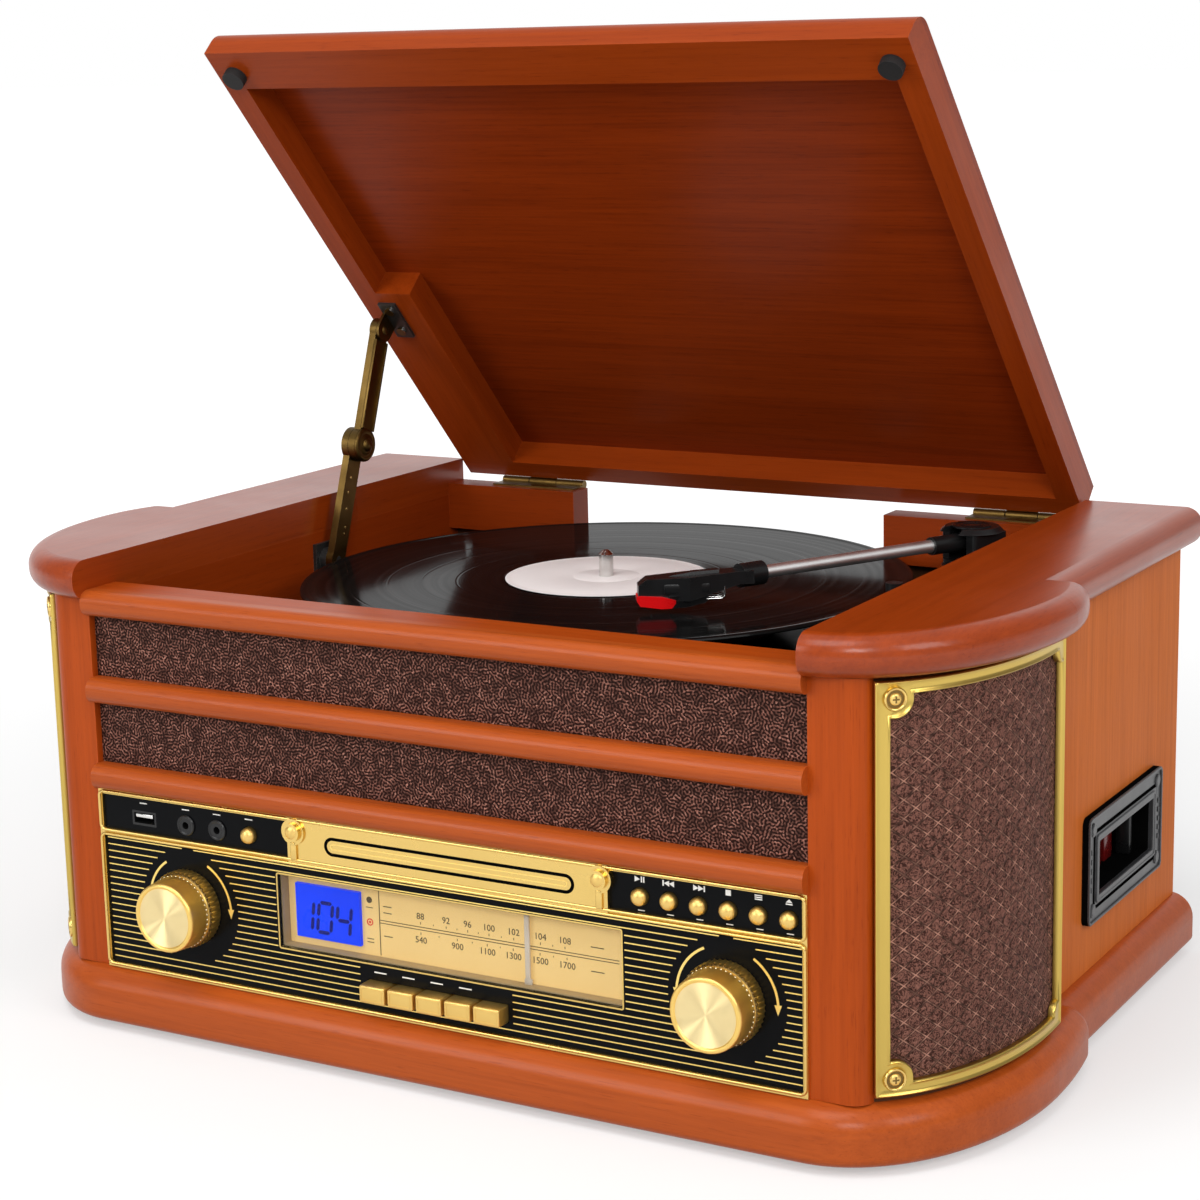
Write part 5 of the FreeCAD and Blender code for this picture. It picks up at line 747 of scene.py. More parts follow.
def raised_rim(box: Box, grow: Point2, radii: Point2, levels: Point2, round_off: float = 0.0,
        steps: int = 6) -> Solid:
    """Raise a rim with rounded corners round a box.

    Args:
        box: left, right, low and high of the box.
        grow: how far the rim's outer and inner edges lie outside the box.
        radii: corner radius of the outer and the inner edge.
        levels: where the rim starts and ends.
        round_off: bevel of its edges.
        steps: facets of each corner.

    Returns:
        The rim.
    """
    left, right, low, high = box
    outer, inner = (rounded(left - by, right + by, low - by, high + by, radius, steps)
        for by, radius in zip(grow, radii))
    return band(outer, inner, *levels, round_off)


def hull(rows: Sequence[Box], narrow: float) -> Solid:
    """Skin along X through rows of place, half width, low and high, with the given narrowing below."""
    return skin([[(x, -half, high), (x, -half * narrow, low), (x, half * narrow, low), (x, half, high)]
        for x, half, low, high in rows])


def arc_band(radius: float, width: float, start: float, end: float, steps: int = 24) -> Outline:
    """Outline of a curved stroke between two angles in degrees."""
    angles = [math.radians(start + (end - start) * step / steps) for step in range(steps + 1)]
    reaches = (radius + width / 2, radius - width / 2)
    outer, inner = ([(reach * math.cos(angle), reach * math.sin(angle)) for angle in angles]
        for reach in reaches)
    return outer + inner[::-1] if end > start else inner + outer[::-1]


def bead(path: Sequence[Vector], outs: Sequence[Vector], width: float, height: float,
        sides: int) -> Solid:
    """Run an oval bead along a path.

    Args:
        path: the bead's middle line.
        outs: the way out of the surface at each point.
        width: size along the surface.
        height: size out of the surface.
        sides: facets round the bead.

    Returns:
        The bead.
    """
    sections = []
    for index, (here, out) in enumerate(zip(path, outs)):
        before, after = path[max(0, index - 1)], path[min(index + 1, len(path) - 1)]
        side = (after - before).normalized().cross(out).normalized()
        angles = (2 * math.pi * step / sides for step in range(sides))
        sections.append([here + side * (width / 2 * math.cos(a)) + out * (height / 2 * math.sin(a))
            for a in angles])
    return skin(sections)


def block(low: Sequence[float], high: Sequence[float], bevel: float, segments: int = 2) -> Solid:
    """A block between two corners with rounded edges."""
    work = bmesh.new()
    bmesh.ops.create_cube(work, size=1.0)
    size, middle = Vector(high) - Vector(low), (Vector(high) + Vector(low)) / 2
    for vert in work.verts:
        vert.co = Vector(a * b for a, b in zip(vert.co, size)) + middle
    bmesh.ops.bevel(work, geom=work.edges[:], offset=bevel, segments=segments, profile=0.5,
        affect="EDGES")
    work.verts.index_update()
    points = [vert.co.copy() for vert in work.verts]
    faces = [tuple(vert.index for vert in face.verts) for face in work.faces]
    work.free()
    return points, faces


def dome(radius: float, height: float, rise: float = 0.0, rows: int = 6) -> Outline:
    """Profile of a dome on a short straight wall."""
    profile = [(radius, 0.0)] + ([(radius, rise)] if rise else [])
    for row in range(1, rows + 1):
        angle = math.pi / 2 * row / rows
        profile.append((radius * math.cos(angle) if row < rows else 0.0,
            rise + (height - rise) * math.sin(angle)))
    return profile


def cross_screw(radius: float, height: float) -> Solid:
    """Domed screw head on Z with a flat crown."""
    angles = [math.radians(12 * step) for step in range(1, 6)]
    crown = [(radius * math.cos(angle), height * (0.3 + 0.7 * math.sin(angle))) for angle in angles]
    return turned([(radius, 0.0), (radius, height * 0.3), *crown, (0.0, height * 0.92)], 40)


def cross_slot(radius: float, height: float) -> Solid:
    """Dark cross in the crown of a screw head."""
    long, half = radius * 0.56, radius * 0.13
    outline = [(half, -long), (half, -half), (long, -half), (long, half), (half, half), (half, long),
        (-half, long), (-half, half), (-long, half), (-long, -half), (-half, -half), (-half, -long)]
    return slab(outline, height * 0.5, height * 0.965)


def lettering(text: str, height: float, depth: float) -> Solid:
    """Plain figures standing on XY, centred."""
    curve = bpy.data.curves.new("figures", "FONT")
    curve.body, curve.size, curve.extrude = text, height * 1.4, depth / 2
    curve.align_x, curve.align_y, curve.resolution_u = "CENTER", "CENTER", 3
    holder = bpy.data.objects.new("figures", curve)
    mesh = bpy.data.meshes.new_from_object(holder)
    solid = [vert.co.copy() for vert in mesh.vertices], [tuple(face.vertices) for face in mesh.polygons]
    bpy.data.objects.remove(holder)
    bpy.data.curves.remove(curve)
    bpy.data.meshes.remove(mesh)
    return solid


class Shape:
    """Mesh of one piece while it is put together, with a finish number for each face."""

    def __init__(self) -> None:
        """Start empty."""
        self.points: list[Vector] = []
        self.faces: list[Face] = []
        self.marks: list[int] = []

    def add(self, solid: Solid, place: Matrix = Matrix.Identity(4), finish: int = 0) -> "Shape":
        """Add a solid at a place and return the shape."""
        start = len(self.points)
        self.points += [place @ Vector(point) for point in solid[0]]
        self.faces += [tuple(index + start for index in face) for face in solid[1]]
        self.marks += [finish] * len(solid[1])
        return self

    def screw(self, radius: float, height: float, place: Matrix, head: int = 0) -> None:
        """Add a cross-head screw, with its head in a given finish and its cross in the second one."""
        self.add(cross_screw(radius, height), place, head)
        self.add(cross_slot(radius, height), place, 1)

    def object(self, name: str, body: str, finishes: Sequence[bpy.types.Material], slot: str,
            origin: Matrix = Matrix.Identity(4), crease: float = 38.0,
            closed: bool = True) -> bpy.types.Object:
        """Make the piece.

        Args:
            name: the piece's name.
            body: the moving body it rides on.
            finishes: its materials in the order of the finish numbers.
            slot: the name of its material in the part's record; not used.
            origin: where the piece's own frame stands.
            crease: angle in degrees above which an edge stays sharp.
            closed: whether faces are turned outwards.

        Returns:
            The new object.
        """
        mesh = bpy.data.meshes.new(name)
        back = origin.inverted()
        mesh.from_pydata([(back @ point) * MM for point in self.points], [], self.faces)
        for finish in finishes:
            mesh.materials.append(finish)
        mesh.polygons.foreach_set("material_index", self.marks)
        if closed:
            work = bmesh.new()
            work.from_mesh(mesh)
            bmesh.ops.recalc_face_normals(work, faces=work.faces[:])
            work.to_mesh(mesh)
            work.free()
        mesh.polygons.foreach_set("use_smooth", [True] * len(mesh.polygons))
        mesh.set_sharp_from_angle(angle=math.radians(crease))
        made = stand(name, mesh)
        made.matrix_world = Matrix.Translation(origin.translation * MM) @ origin.to_3x3().to_4x4()
        bpy.context.view_layer.update()
        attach(made, body)
        LOG.info("made %s with %d faces", name, len(self.faces))
        return made


@dataclass
class Studio:
    """Camera, floor, lamps and backdrop."""

    eye: tuple[float, float, float] = (623.6, -1081.79, 455.18)
    yaw: float = 29.968
    pitch: float = 11.86
    roll: float = -1.317
    lens: float = 79.263
    sensor: float = 36.0
    floor_half: float = 30.0
    ambient: float = 0.75
    front_level: float = 0.34

    def camera(self) -> None:
        """Set up the camera where the photograph was taken from."""
        yaw, pitch, roll = (math.radians(value) for value in (self.yaw, self.pitch, self.roll))
        back = Vector((math.sin(yaw) * math.cos(pitch), -math.cos(yaw) * math.cos(pitch),
            math.sin(pitch)))
        right = (-back).cross(Vector((0, 0, 1))).normalized()
        up = right.cross(-back)
        right, up = (math.cos(roll) * right + math.sin(roll) * up,
            math.cos(roll) * up - math.sin(roll) * right)
        data = bpy.data.cameras.new("camera")
        data.lens = self.lens
        data.sensor_width = self.sensor
        data.clip_end = 100.0
        camera = stand("camera", data)
        turn = Matrix((right, up, back)).transposed().to_4x4()
        camera.matrix_world = Matrix.Translation(Vector(self.eye) * MM) @ turn
        bpy.context.scene.camera = camera
        LOG.info("camera set")

    @staticmethod
    def seen_directly(w: Wiring) -> bpy.types.NodeSocket:
        """One for rays from the camera, mirrors and glass, and zero for the rest."""
        path = w.node("LightPath")
        seen = w.math("MAXIMUM", path.outputs["Is Camera Ray"], path.outputs["Is Glossy Ray"])
        return w.math("MAXIMUM", seen, path.outputs["Is Transmission Ray"])

    def floor(self) -> None:
        """Lay a pale floor that keeps the shadow, its glow weaker near the player as a painted shade
        round it.
        """
        half = self.floor_half
        mesh = bpy.data.meshes.new("floor")
        mesh.from_pydata([(-half, -half, 0), (half, -half, 0), (half, half, 0), (-half, half, 0)], [],
            [(0, 1, 2, 3)])
        made, w, surface = open_material("floor_paper")
        w.fill(surface, Base_Color=(0.55, 0.55, 0.55), Roughness=0.9, Specular_IOR_Level=0.0,
            Emission_Color=(1, 1, 1))
        away = w.node("VectorMath", {"operation": "LENGTH"}, Vector=w.here()).outputs["Value"]
        # The floor's glow for camera and mirror rays rises away from the player: a painted shade near
        # it, white farther out.
        glow = w.levels(away, 0.30, 1.5, 0.42, 0.80)
        w.fill(surface, Emission_Strength=w.math("MULTIPLY", self.seen_directly(w), glow))
        mesh.materials.append(made)
        ground = stand("floor", mesh)

    def backdrop(self) -> None:
        """Make a white surround, dimmer in front, that lights the player."""
        world = bpy.data.worlds.new("studio")
        bpy.context.scene.world = world
        world.use_nodes = True
        world.node_tree.nodes.clear()
        w = Wiring(world.node_tree)
        shade = w.node("Background", Color=(1.0, 1.0, 1.0))
        parts = w.node("SeparateXYZ", Vector=w.node("TexCoord").outputs["Generated"])
        behind = w.math("ADD", w.math("MULTIPLY", parts.outputs[0], -0.5),
            w.math("MULTIPLY", parts.outputs[1], 0.866))
        front = w.levels(behind, 0.5, 0.86, self.front_level, 1.0)
        above = w.levels(parts.outputs[2], 0.3, 0.9, 0.0, 0.8)
        level = w.math("MAXIMUM", front, above)
        share = w.levels(self.seen_directly(w), 0.0, 1.0, self.ambient, 1.0)
        w.fill(shade, Strength=w.math("MULTIPLY", level, share))
        w.node("OutputWorld", Surface=shade.outputs[0])

    def lamp(self, name: str, at: Sequence[float], aim: Sequence[float], size: float,
            watts: float) -> None:
        """Hang one soft square lamp."""
        data = bpy.data.lights.new(name, "AREA")
        data.shape = "SQUARE"
        data.size = size
        data.energy = watts
        lamp = stand(name, data)
        lamp.location = at
        lamp.rotation_euler = (Vector(aim) - Vector(at)).to_track_quat("-Z", "Y").to_euler()

    def build(self) -> None:
        """Set everything up."""
        self.camera()
        self.floor()
        self.backdrop()
        self.lamp("key_lamp", (-1.0, -1.8, 1.0), (0, 0, 0.14), 1.0, 16.0)
        self.lamp("fill_lamp", (1.0, -1.75, 1.15), (0, 0, 0.14), 0.55, 13.0)
        self.lamp("side_lamp", (1.8, -0.6, 1.2), (0, 0, 0.12), 0.8, 11.5)
        self.lamp("top_lamp", (0.1, -0.95, 1.95), (0, 0, 0.15), 1.0, 13.0)
        bpy.context.scene.view_settings.view_transform = "Standard"


@dataclass
class Bow:
    """Bowed front corner of the cabinet, as an ellipse that runs into a longer tail."""

    centre_x: float = 184.5
    centre_y: float = -56.5
    reach: float = 71.0
    depth: float = 111.0
    tail: float = 146.0
    front_samples: int = 400
    tail_samples: int = 100

    def at_x(self, x: float, inset: float) -> tuple[Vector, Vector]:
        """Point and way out on the front part for a distance across."""
        wide, deep = self.reach - inset, self.depth - inset
        along = (x - self.centre_x) / wide
        rise = math.sqrt(max(0.0, 1 - along * along))
        out = Vector((along / wide, -rise / deep, 0)).normalized()
        return Vector((x, self.centre_y - deep * rise, 0)), out

    def at_y(self, y: float, inset: float) -> tuple[Vector, Vector]:
        """Point and way out for a distance from front to back."""
        wide = self.reach - inset
        deep = (self.depth if y < self.centre_y else self.tail) - inset
        along = (y - self.centre_y) / deep
        rise = math.sqrt(max(0.0, 1 - along * along))
        out = Vector((rise / wide, along / deep, 0)).normalized()
        return Vector((self.centre_x + wide * rise, y, 0)), out

    def run(self, start_x: float, end_y: float, inset: float,
            step: float) -> list[tuple[Vector, Vector]]:
        """Even points and ways out along the bow.

        Args:
            start_x: where it starts on the front.
            end_y: where it ends on the side.
            inset: how far inside the plinth's line it runs.
            step: the wanted distance between points.

        Returns:
            A list of points with their ways out.
        """
        begin = math.asin((start_x - self.centre_x) / (self.reach - inset))
        dense = []
        for number in range(self.front_samples + 1):
            angle = begin + (math.pi / 2 - begin) * number / self.front_samples
            dense.append(self.at_x(self.centre_x + (self.reach - inset) * math.sin(angle), inset))
        dense += [self.at_y(self.centre_y + (end_y - self.centre_y) * share, inset)
            for share in shares(self.tail_samples)]
        lengths = [0.0]
        for (before, _), (after, _) in zip(dense, dense[1:]):
            lengths.append(lengths[-1] + (after - before).length)
        count = max(2, round(lengths[-1] / step))
        even, place = [], 0
        for index in range(count + 1):
            want = lengths[-1] * index / count
            while place < len(lengths) - 2 and lengths[place + 1] < want:
                place += 1
            share = (want - lengths[place]) / max(1e-9, lengths[place + 1] - lengths[place])
            even.append((dense[place][0].lerp(dense[place + 1][0], share),
                dense[place][1].lerp(dense[place + 1][1], share).normalized()))
        return even


@dataclass
class Cloths:
    """Loudspeaker cloths: curled yarn in front, quilted diamonds on the bowed corners."""

    half_width: float = 184.4
    strips: tuple[Point2, ...] = ((129.5, 159.0), (171.2, 200.7))
    front_y: float = -153.55
    yarn_step: float = 0.62
    yarn_lift: float = 0.2
    quilt_step: float = 0.5
    quilt_lift: float = 0.42
    bow_inset: float = 9.2
    start_x: float = 211.4
    end_y: float = -38.2
    quilt_levels: Point2 = (32.7, 207.0)

    @staticmethod
    def yarn(u: float, v: float) -> float:
        """Height of the curled yarn from 0 to 1 at a place in millimetres."""
        bend = noise.noise_vector(Vector((u * 0.30, v * 0.30, 4.7)))
        value = noise.noise(Vector((u * 0.46 + bend.x * 0.9, v * 0.46 + bend.y * 0.9, 1.3)))
        return max(0.0, 1.0 - abs(value) * 4.0)

    def quilt(self, u: float, v: float) -> float:
        """Height of the quilting from 0 to 1 at a place in millimetres."""
        across, up = u / QUILT_PITCH[0], v / QUILT_PITCH[1]
        gaps = [abs(value - round(value)) * QUILT_SPREAD for value in (across + up, across - up)]
        groove = max(math.exp(-(gap / 0.6) ** 2) for gap in gaps)
        return (1.0 - 0.9 * groove) * (0.7 + self.yarn(u * 1.7, v * 1.7) * 0.3)

    @staticmethod
    def grid(name: str, points: list[Vector], wide: int, runs: list[float], finish: bpy.types.Material,
            flat: Point2, node_order: str) -> bpy.types.Object:
        """Make one cloth from a grid.

        Args:
            name: the cloth's name.
            points: its corners, row by row.
            wide: how many corners are in a row.
            runs: distance along the cloth at each corner in millimetres.
            finish: its material.
            flat: width and length of the cut in millimetres; not used.
            node_order: what it is stretched on; not used.

        Returns:
            The cloth.
        """
        shape = Shape()
        tall = len(points) // wide
        faces = [(row * wide + step, row * wide + step + 1, (row + 1) * wide + step + 1,
            (row + 1) * wide + step) for row in range(tall - 1) for step in range(wide - 1)]
        made = shape.add((points, faces)).object(name, "cabinet", [finish], "speaker_cloth",
            crease=180.0, closed=False)
        made.data.attributes.new("run", "FLOAT", "POINT").data.foreach_set("value", runs)
        return made

    def build(self, finish: Finishes) -> None:
        """Make all four cloths."""
        fronts, bows = [], []
        for number, (low, high) in enumerate(self.strips):
            wide = round(2 * self.half_width / self.yarn_step) + 1
            tall = round((high - low) / self.yarn_step) + 1
            points, runs = [], []
            for row in range(tall):
                z = low + (high - low) * row / (tall - 1)
                for step in range(wide):
                    x = self.half_width * (2 * step / (wide - 1) - 1)
                    runs.append(x)
                    points.append(Vector((x, self.front_y - self.yarn_lift * self.yarn(x, z), z)))
            fronts.append(self.grid(f"front_cloth_{number}", points, wide, runs, finish.front_cloth,
                (2 * self.half_width, high - low), "baffle_boards"))
        low, high = self.quilt_levels
        line = Bow().run(self.start_x, self.end_y, self.bow_inset, self.quilt_step)
        length = sum((after - before).length for (before, _), (after, _) in zip(line, line[1:]))
        tall = round((high - low) / self.quilt_step) + 1
        for side in Side:
            points, runs = [], []
            for row in range(tall):
                z = low + (high - low) * row / (tall - 1)
                for step, (here, out) in enumerate(line):
                    runs.append(length * step / (len(line) - 1))
                    spot = here + out * (self.quilt_lift * self.quilt(runs[-1], z))
                    points.append(Vector((spot.x * side.value, spot.y, z)))
            bows.append(self.grid(f"grille_cloth_{side.name.lower()}", points, len(line), runs,
                finish.grille_cloth, (length, high - low), "baffle_boards"))
        for pieces, node in ((fronts, "front_cloths"), (bows, "grille_cloths")):
            for made in pieces:
                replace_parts(made, node)


@dataclass
class Cabinet:
    """Wooden carcass: plinth, posts, rails, panels, caps and the gilt grille frames."""

    frame_inset: float = 6.5
    frame_start: float = 211.2
    frame_end: float = -38.0
    frame_levels: Point2 = (32.5, 207.2)
    frame_thickness: float = 2.0
    frame_profile: tuple[Point2, ...] = ((0.0, 0.0), (0.25, 0.8), (0.7, 1.05), (1.15, 0.85), (1.6, 0.4))
    window_x: float = 216.2
    window_y: float = -42.0
    window_levels: Point2 = (38.5, 201.2)
    lobe: float = 8.2
    lobe_steps: int = 16
    clip: float = 6.0
    clip_steps: int = 8
    side_steps: int = 5
    side_gap: float = 4.0
    sill_step: float = 2.0
    screw_run: float = 8.4
    screw_edge: float = 7.5
    screw_radius: float = 2.6
    back_y: float = 165.5
    wall_inside: float = 184.4
    board_half: float = 184.5
    board_top: float = 212.0
    back_screws: tuple[Point2, ...] = ((-170, 40), (-60, 36), (60, 36), (170, 40), (-170, 178),
        (-60, 182), (60, 182), (170, 178))

    def dress(self, finish: Finishes) -> None:
        """Dress the carcass."""
        wood, inner = finish.wood, finish.shaded_inner_wood
        dress(finish.front_wood, "base_plinth", "front_rails")
        dress(finish.cap_wood_shaded, "top_caps")
        dress(wood[Grain.UPRIGHT], "front_posts")
        dress(finish.side_wood_lit, "side_panels")
        # The bay walls take the darker wood, a painted shade in the bay.
        dress_by_face("bay_walls", (inner[Grain.DEEP], inner[Grain.ACROSS]),
            lambda at: int(abs(at.x) < self.wall_inside))
        dress(finish.hardboard, "back_panel")
        dress_by_face("baffle_boards", (finish.hardboard, wood[Grain.ACROSS]),
            lambda at: int(at.z > self.board_top and abs(at.x) < self.board_half))
        dress(finish.rubber, "rubber_feet")
        dress(finish.black_metal, "speaker_drivers")
        dress(finish.front_cloth, "front_cloths")
        dress(finish.grille_cloth, "grille_cloths")
        dress(finish.gilt_dull, "grille_frames")

    def frame_outlines(self, reach: float, front: float, rear: float) -> tuple[Outline, Outline]:
        """Matching outlines of a grille frame and its window, laid flat.

        Args:
            reach: length of the frame along the bow.
            front: where the window starts along it.
            rear: where the window ends.

        Returns:
            The outside and the window, both anticlockwise.
        """
        low, high = self.frame_levels
        sill, middle = self.window_levels[0], (low + high) / 2
        centre_z = low + self.screw_edge
        start = math.pi - math.acos((self.screw_run - front) / self.lobe)
        end = math.asin((sill - centre_z) / self.lobe)
        lobe_z = centre_z + self.lobe * math.sin(start)
        lobe_run = self.screw_run + self.lobe * math.cos(end)
        half, begin = middle - self.side_gap, rear - self.clip
        pairs: list[tuple[Point2, Point2]] = []
        for share in [0.0] + shares(self.side_steps):
            z = half + (lobe_z - half) * share
            pairs.append(((0.0, z), (front, z)))
        for share in shares(self.lobe_steps):
            angle = start + (end - start) * share
            if share <= 0.5:
                edge = (0.0, lobe_z + (low - lobe_z) * share * 2)
            else:
                edge = (lobe_run * (share * 2 - 1), low)
            pairs.append((edge,
                (self.screw_run + self.lobe * math.cos(angle), centre_z + self.lobe * math.sin(angle))))
        for share in shares(round((begin - lobe_run) / self.sill_step)):
            run = lobe_run + (begin - lobe_run) * share
            pairs.append(((run, low), (run, sill)))
        for share in shares(self.clip_steps):
            angle = math.pi / 2 * share
            if share <= 0.5:
                edge = (begin + (reach - begin) * share * 2, low)
            else:
                edge = (reach, low + (sill + self.clip - low) * (share * 2 - 1))
            pairs.append((edge,
                (rear - self.clip * math.cos(angle), sill + self.clip * math.sin(angle))))
        for share in shares(self.side_steps):
            z = sill + self.clip + (half - sill - self.clip) * share
            pairs.append(((reach, z), (rear, z)))
        pairs += [((a, low + high - b), (c, low + high - d)) for (a, b), (c, d) in reversed(pairs)]
        return [outside for outside, _ in pairs], [window for _, window in pairs]

    def grille(self, finish: Finishes, side: Side) -> None:
        """Make one grille frame in place of its solid and drive its screws."""
        flip = Matrix.Scale(side.value, 4, (1, 0, 0))
        name = side.name.lower()
        line = Bow().run(self.frame_start, self.frame_end, self.frame_inset, 0.5)
        pace = (line[1][0] - line[0][0]).length

        def spot(run: float, z: float, rise: float) -> Vector:
            """Place of a flat point on the bow, raised off it."""
            index = min(len(line) - 2, max(0, int(run / pace)))
            share = run / pace - index
            at, out = (first.lerp(second, share) for first, second in zip(line[index], line[index + 1]))
            return Vector((at.x, at.y, z)) + out.normalized() * rise

        front = pace * next(index for index, (at, _) in enumerate(line) if at.x >= self.window_x)
        rear = pace * next(index for index, (at, _) in enumerate(line) if at.y >= self.window_y)
        outside, window = self.frame_outlines(pace * (len(line) - 1), front, rear)
        deep, level = self.frame_profile[-1]
        inner_side, outer_side = inset_outline(window, -deep), inset_outline(outside, deep)
        rings = [(outside, -self.frame_thickness)] + [(inset_outline(outside, inwards), rise)
            for inwards, rise in self.frame_profile]
        for share in (1 / 3, 2 / 3):
            between = [tuple(Vector(first).lerp(Vector(second), share))
                for first, second in zip(outer_side, inner_side)]
            rings.append((between, level))
        rings += [(inset_outline(window, -inwards), rise)
            for inwards, rise in reversed(self.frame_profile)]
        rings.append((window, -self.frame_thickness))
        shape = Shape().add(skin([[spot(run, z, rise) for run, z in ring] for ring, rise in rings],
            closed=True), flip)
        made = shape.object(f"grille_frame_{name}", "cabinet", [finish.gilt_dull], "gilt",
            crease=TURNED_CREASE)
        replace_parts(made, "grille_frames")
        screws = Shape()
        low, high = self.frame_levels
        for z in (low + self.screw_edge, high - self.screw_edge):
            at = spot(self.screw_run, z, 0.0)
            turn = (spot(self.screw_run, z, 1.0) - at).to_track_quat("Z", "Y").to_matrix().to_4x4()
            place = flip @ put(at.x, at.y, at.z, turn)
            screws.add(turned([(5.0, 0.0), (5.0, 0.9), (4.6, 1.35), (4.1, 1.3), (3.7, 0.9),
                (3.6, 0.3)]), place)
            # The well's floor round the screw is dark brass, a painted shade in the recess.
            screws.add(turned([(3.7, 0.0), (3.7, 0.5), (0.0, 0.55)]), place, 1)
            screws.screw(self.screw_radius, 1.7, place, 2)
        screws.object(f"grille_screws_{name}", "cabinet",
            [finish.gilt, finish.dark_brass, finish.gilt_satin], "gilt", crease=TURNED_CREASE)

    def back(self, finish: Finishes) -> None:
        """Drive the screws of the back panel."""
        shape = Shape()
        for x, z in self.back_screws:
            shape.screw(3.4, 1.6, put(x, self.back_y, z, REAR))
        shape.object("back_screws", "cabinet", [finish.steel, finish.black], "black_metal",
            crease=TURNED_CREASE)

    def build(self, finish: Finishes) -> None:
        """Dress the carcass and make its fittings."""
        self.dress(finish)
        for side in Side:
            self.grille(finish, side)
        self.back(finish)


@dataclass
class Knob:
    """Turned knob with a knurled skirt, a ring of dots and a spun face."""

    name: str
    x: float
    z: float = 66.0
    front: float = -157.3
    teeth: int = 46
    tooth_depth: float = 0.95
    tooth_facets: int = 6
    tooth_rows: tuple[int, ...] = (2, 3)
    neck_rows: tuple[int, ...] = (3, 4)
    face_row: int = 14
    dots: int = 46
    dot_radius: float = 17.2
    dot_height: float = 9.6

    def build(self, finish: Finishes) -> None:
        """Make the knob in place of its solid."""
        profile = [(15.0, 0.4), (17.6, 0.4), (18.4, 1.0), (18.4, 7.0), (17.7, 7.9), (17.35, 8.2),
            (17.2, 10.2), (16.85, 15.0), (16.6, 18.6), (16.45, 19.6), (16.1, 20.2), (15.5, 20.5),
            (14.9, 20.5), (14.4, 20.25), (14.1, 19.7), (13.6, 19.6), (0.0, 19.45)]

        def ripple(row: int, share: float) -> float:
            """Cut the knurls into the skirt."""
            wave = 0.5 + 0.5 * math.cos(2 * math.pi * self.teeth * share)
            return -self.tooth_depth * min(1.0, wave * 1.6) if row in self.tooth_rows else 0.0

        place = put(self.x, self.front, self.z, FRONT)
        facets = self.teeth * self.tooth_facets
        shape = Shape().add(turned(profile, facets, ripple), place)
        rows = [index // facets for index in range(len(shape.faces))]
        shape.marks = [1 if row >= self.face_row else 3 if row in self.neck_rows else 0 for row in rows]
        # The ring of dots takes the pale metal, a painted glint on each dot.
        bump = turned(dome(0.46, 0.34, 0.0, 3), 10)
        for step in range(self.dots):
            angle = 2 * math.pi * (step + 0.5) / self.dots
            out = Vector((math.cos(angle), math.sin(angle), 0))
            turn = out.to_track_quat("Z", "Y").to_matrix().to_4x4()
            spot = out * self.dot_radius
            shape.add(bump, place @ put(spot.x, spot.y, self.dot_height, turn), 2)
        made = shape.object(self.name + "_turned", self.name,
            [finish.gilt_side, finish.gilt_spun, finish.bright, finish.dark_brass], "gilt", place,
            TURNED_CREASE)
        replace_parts(made, self.name)


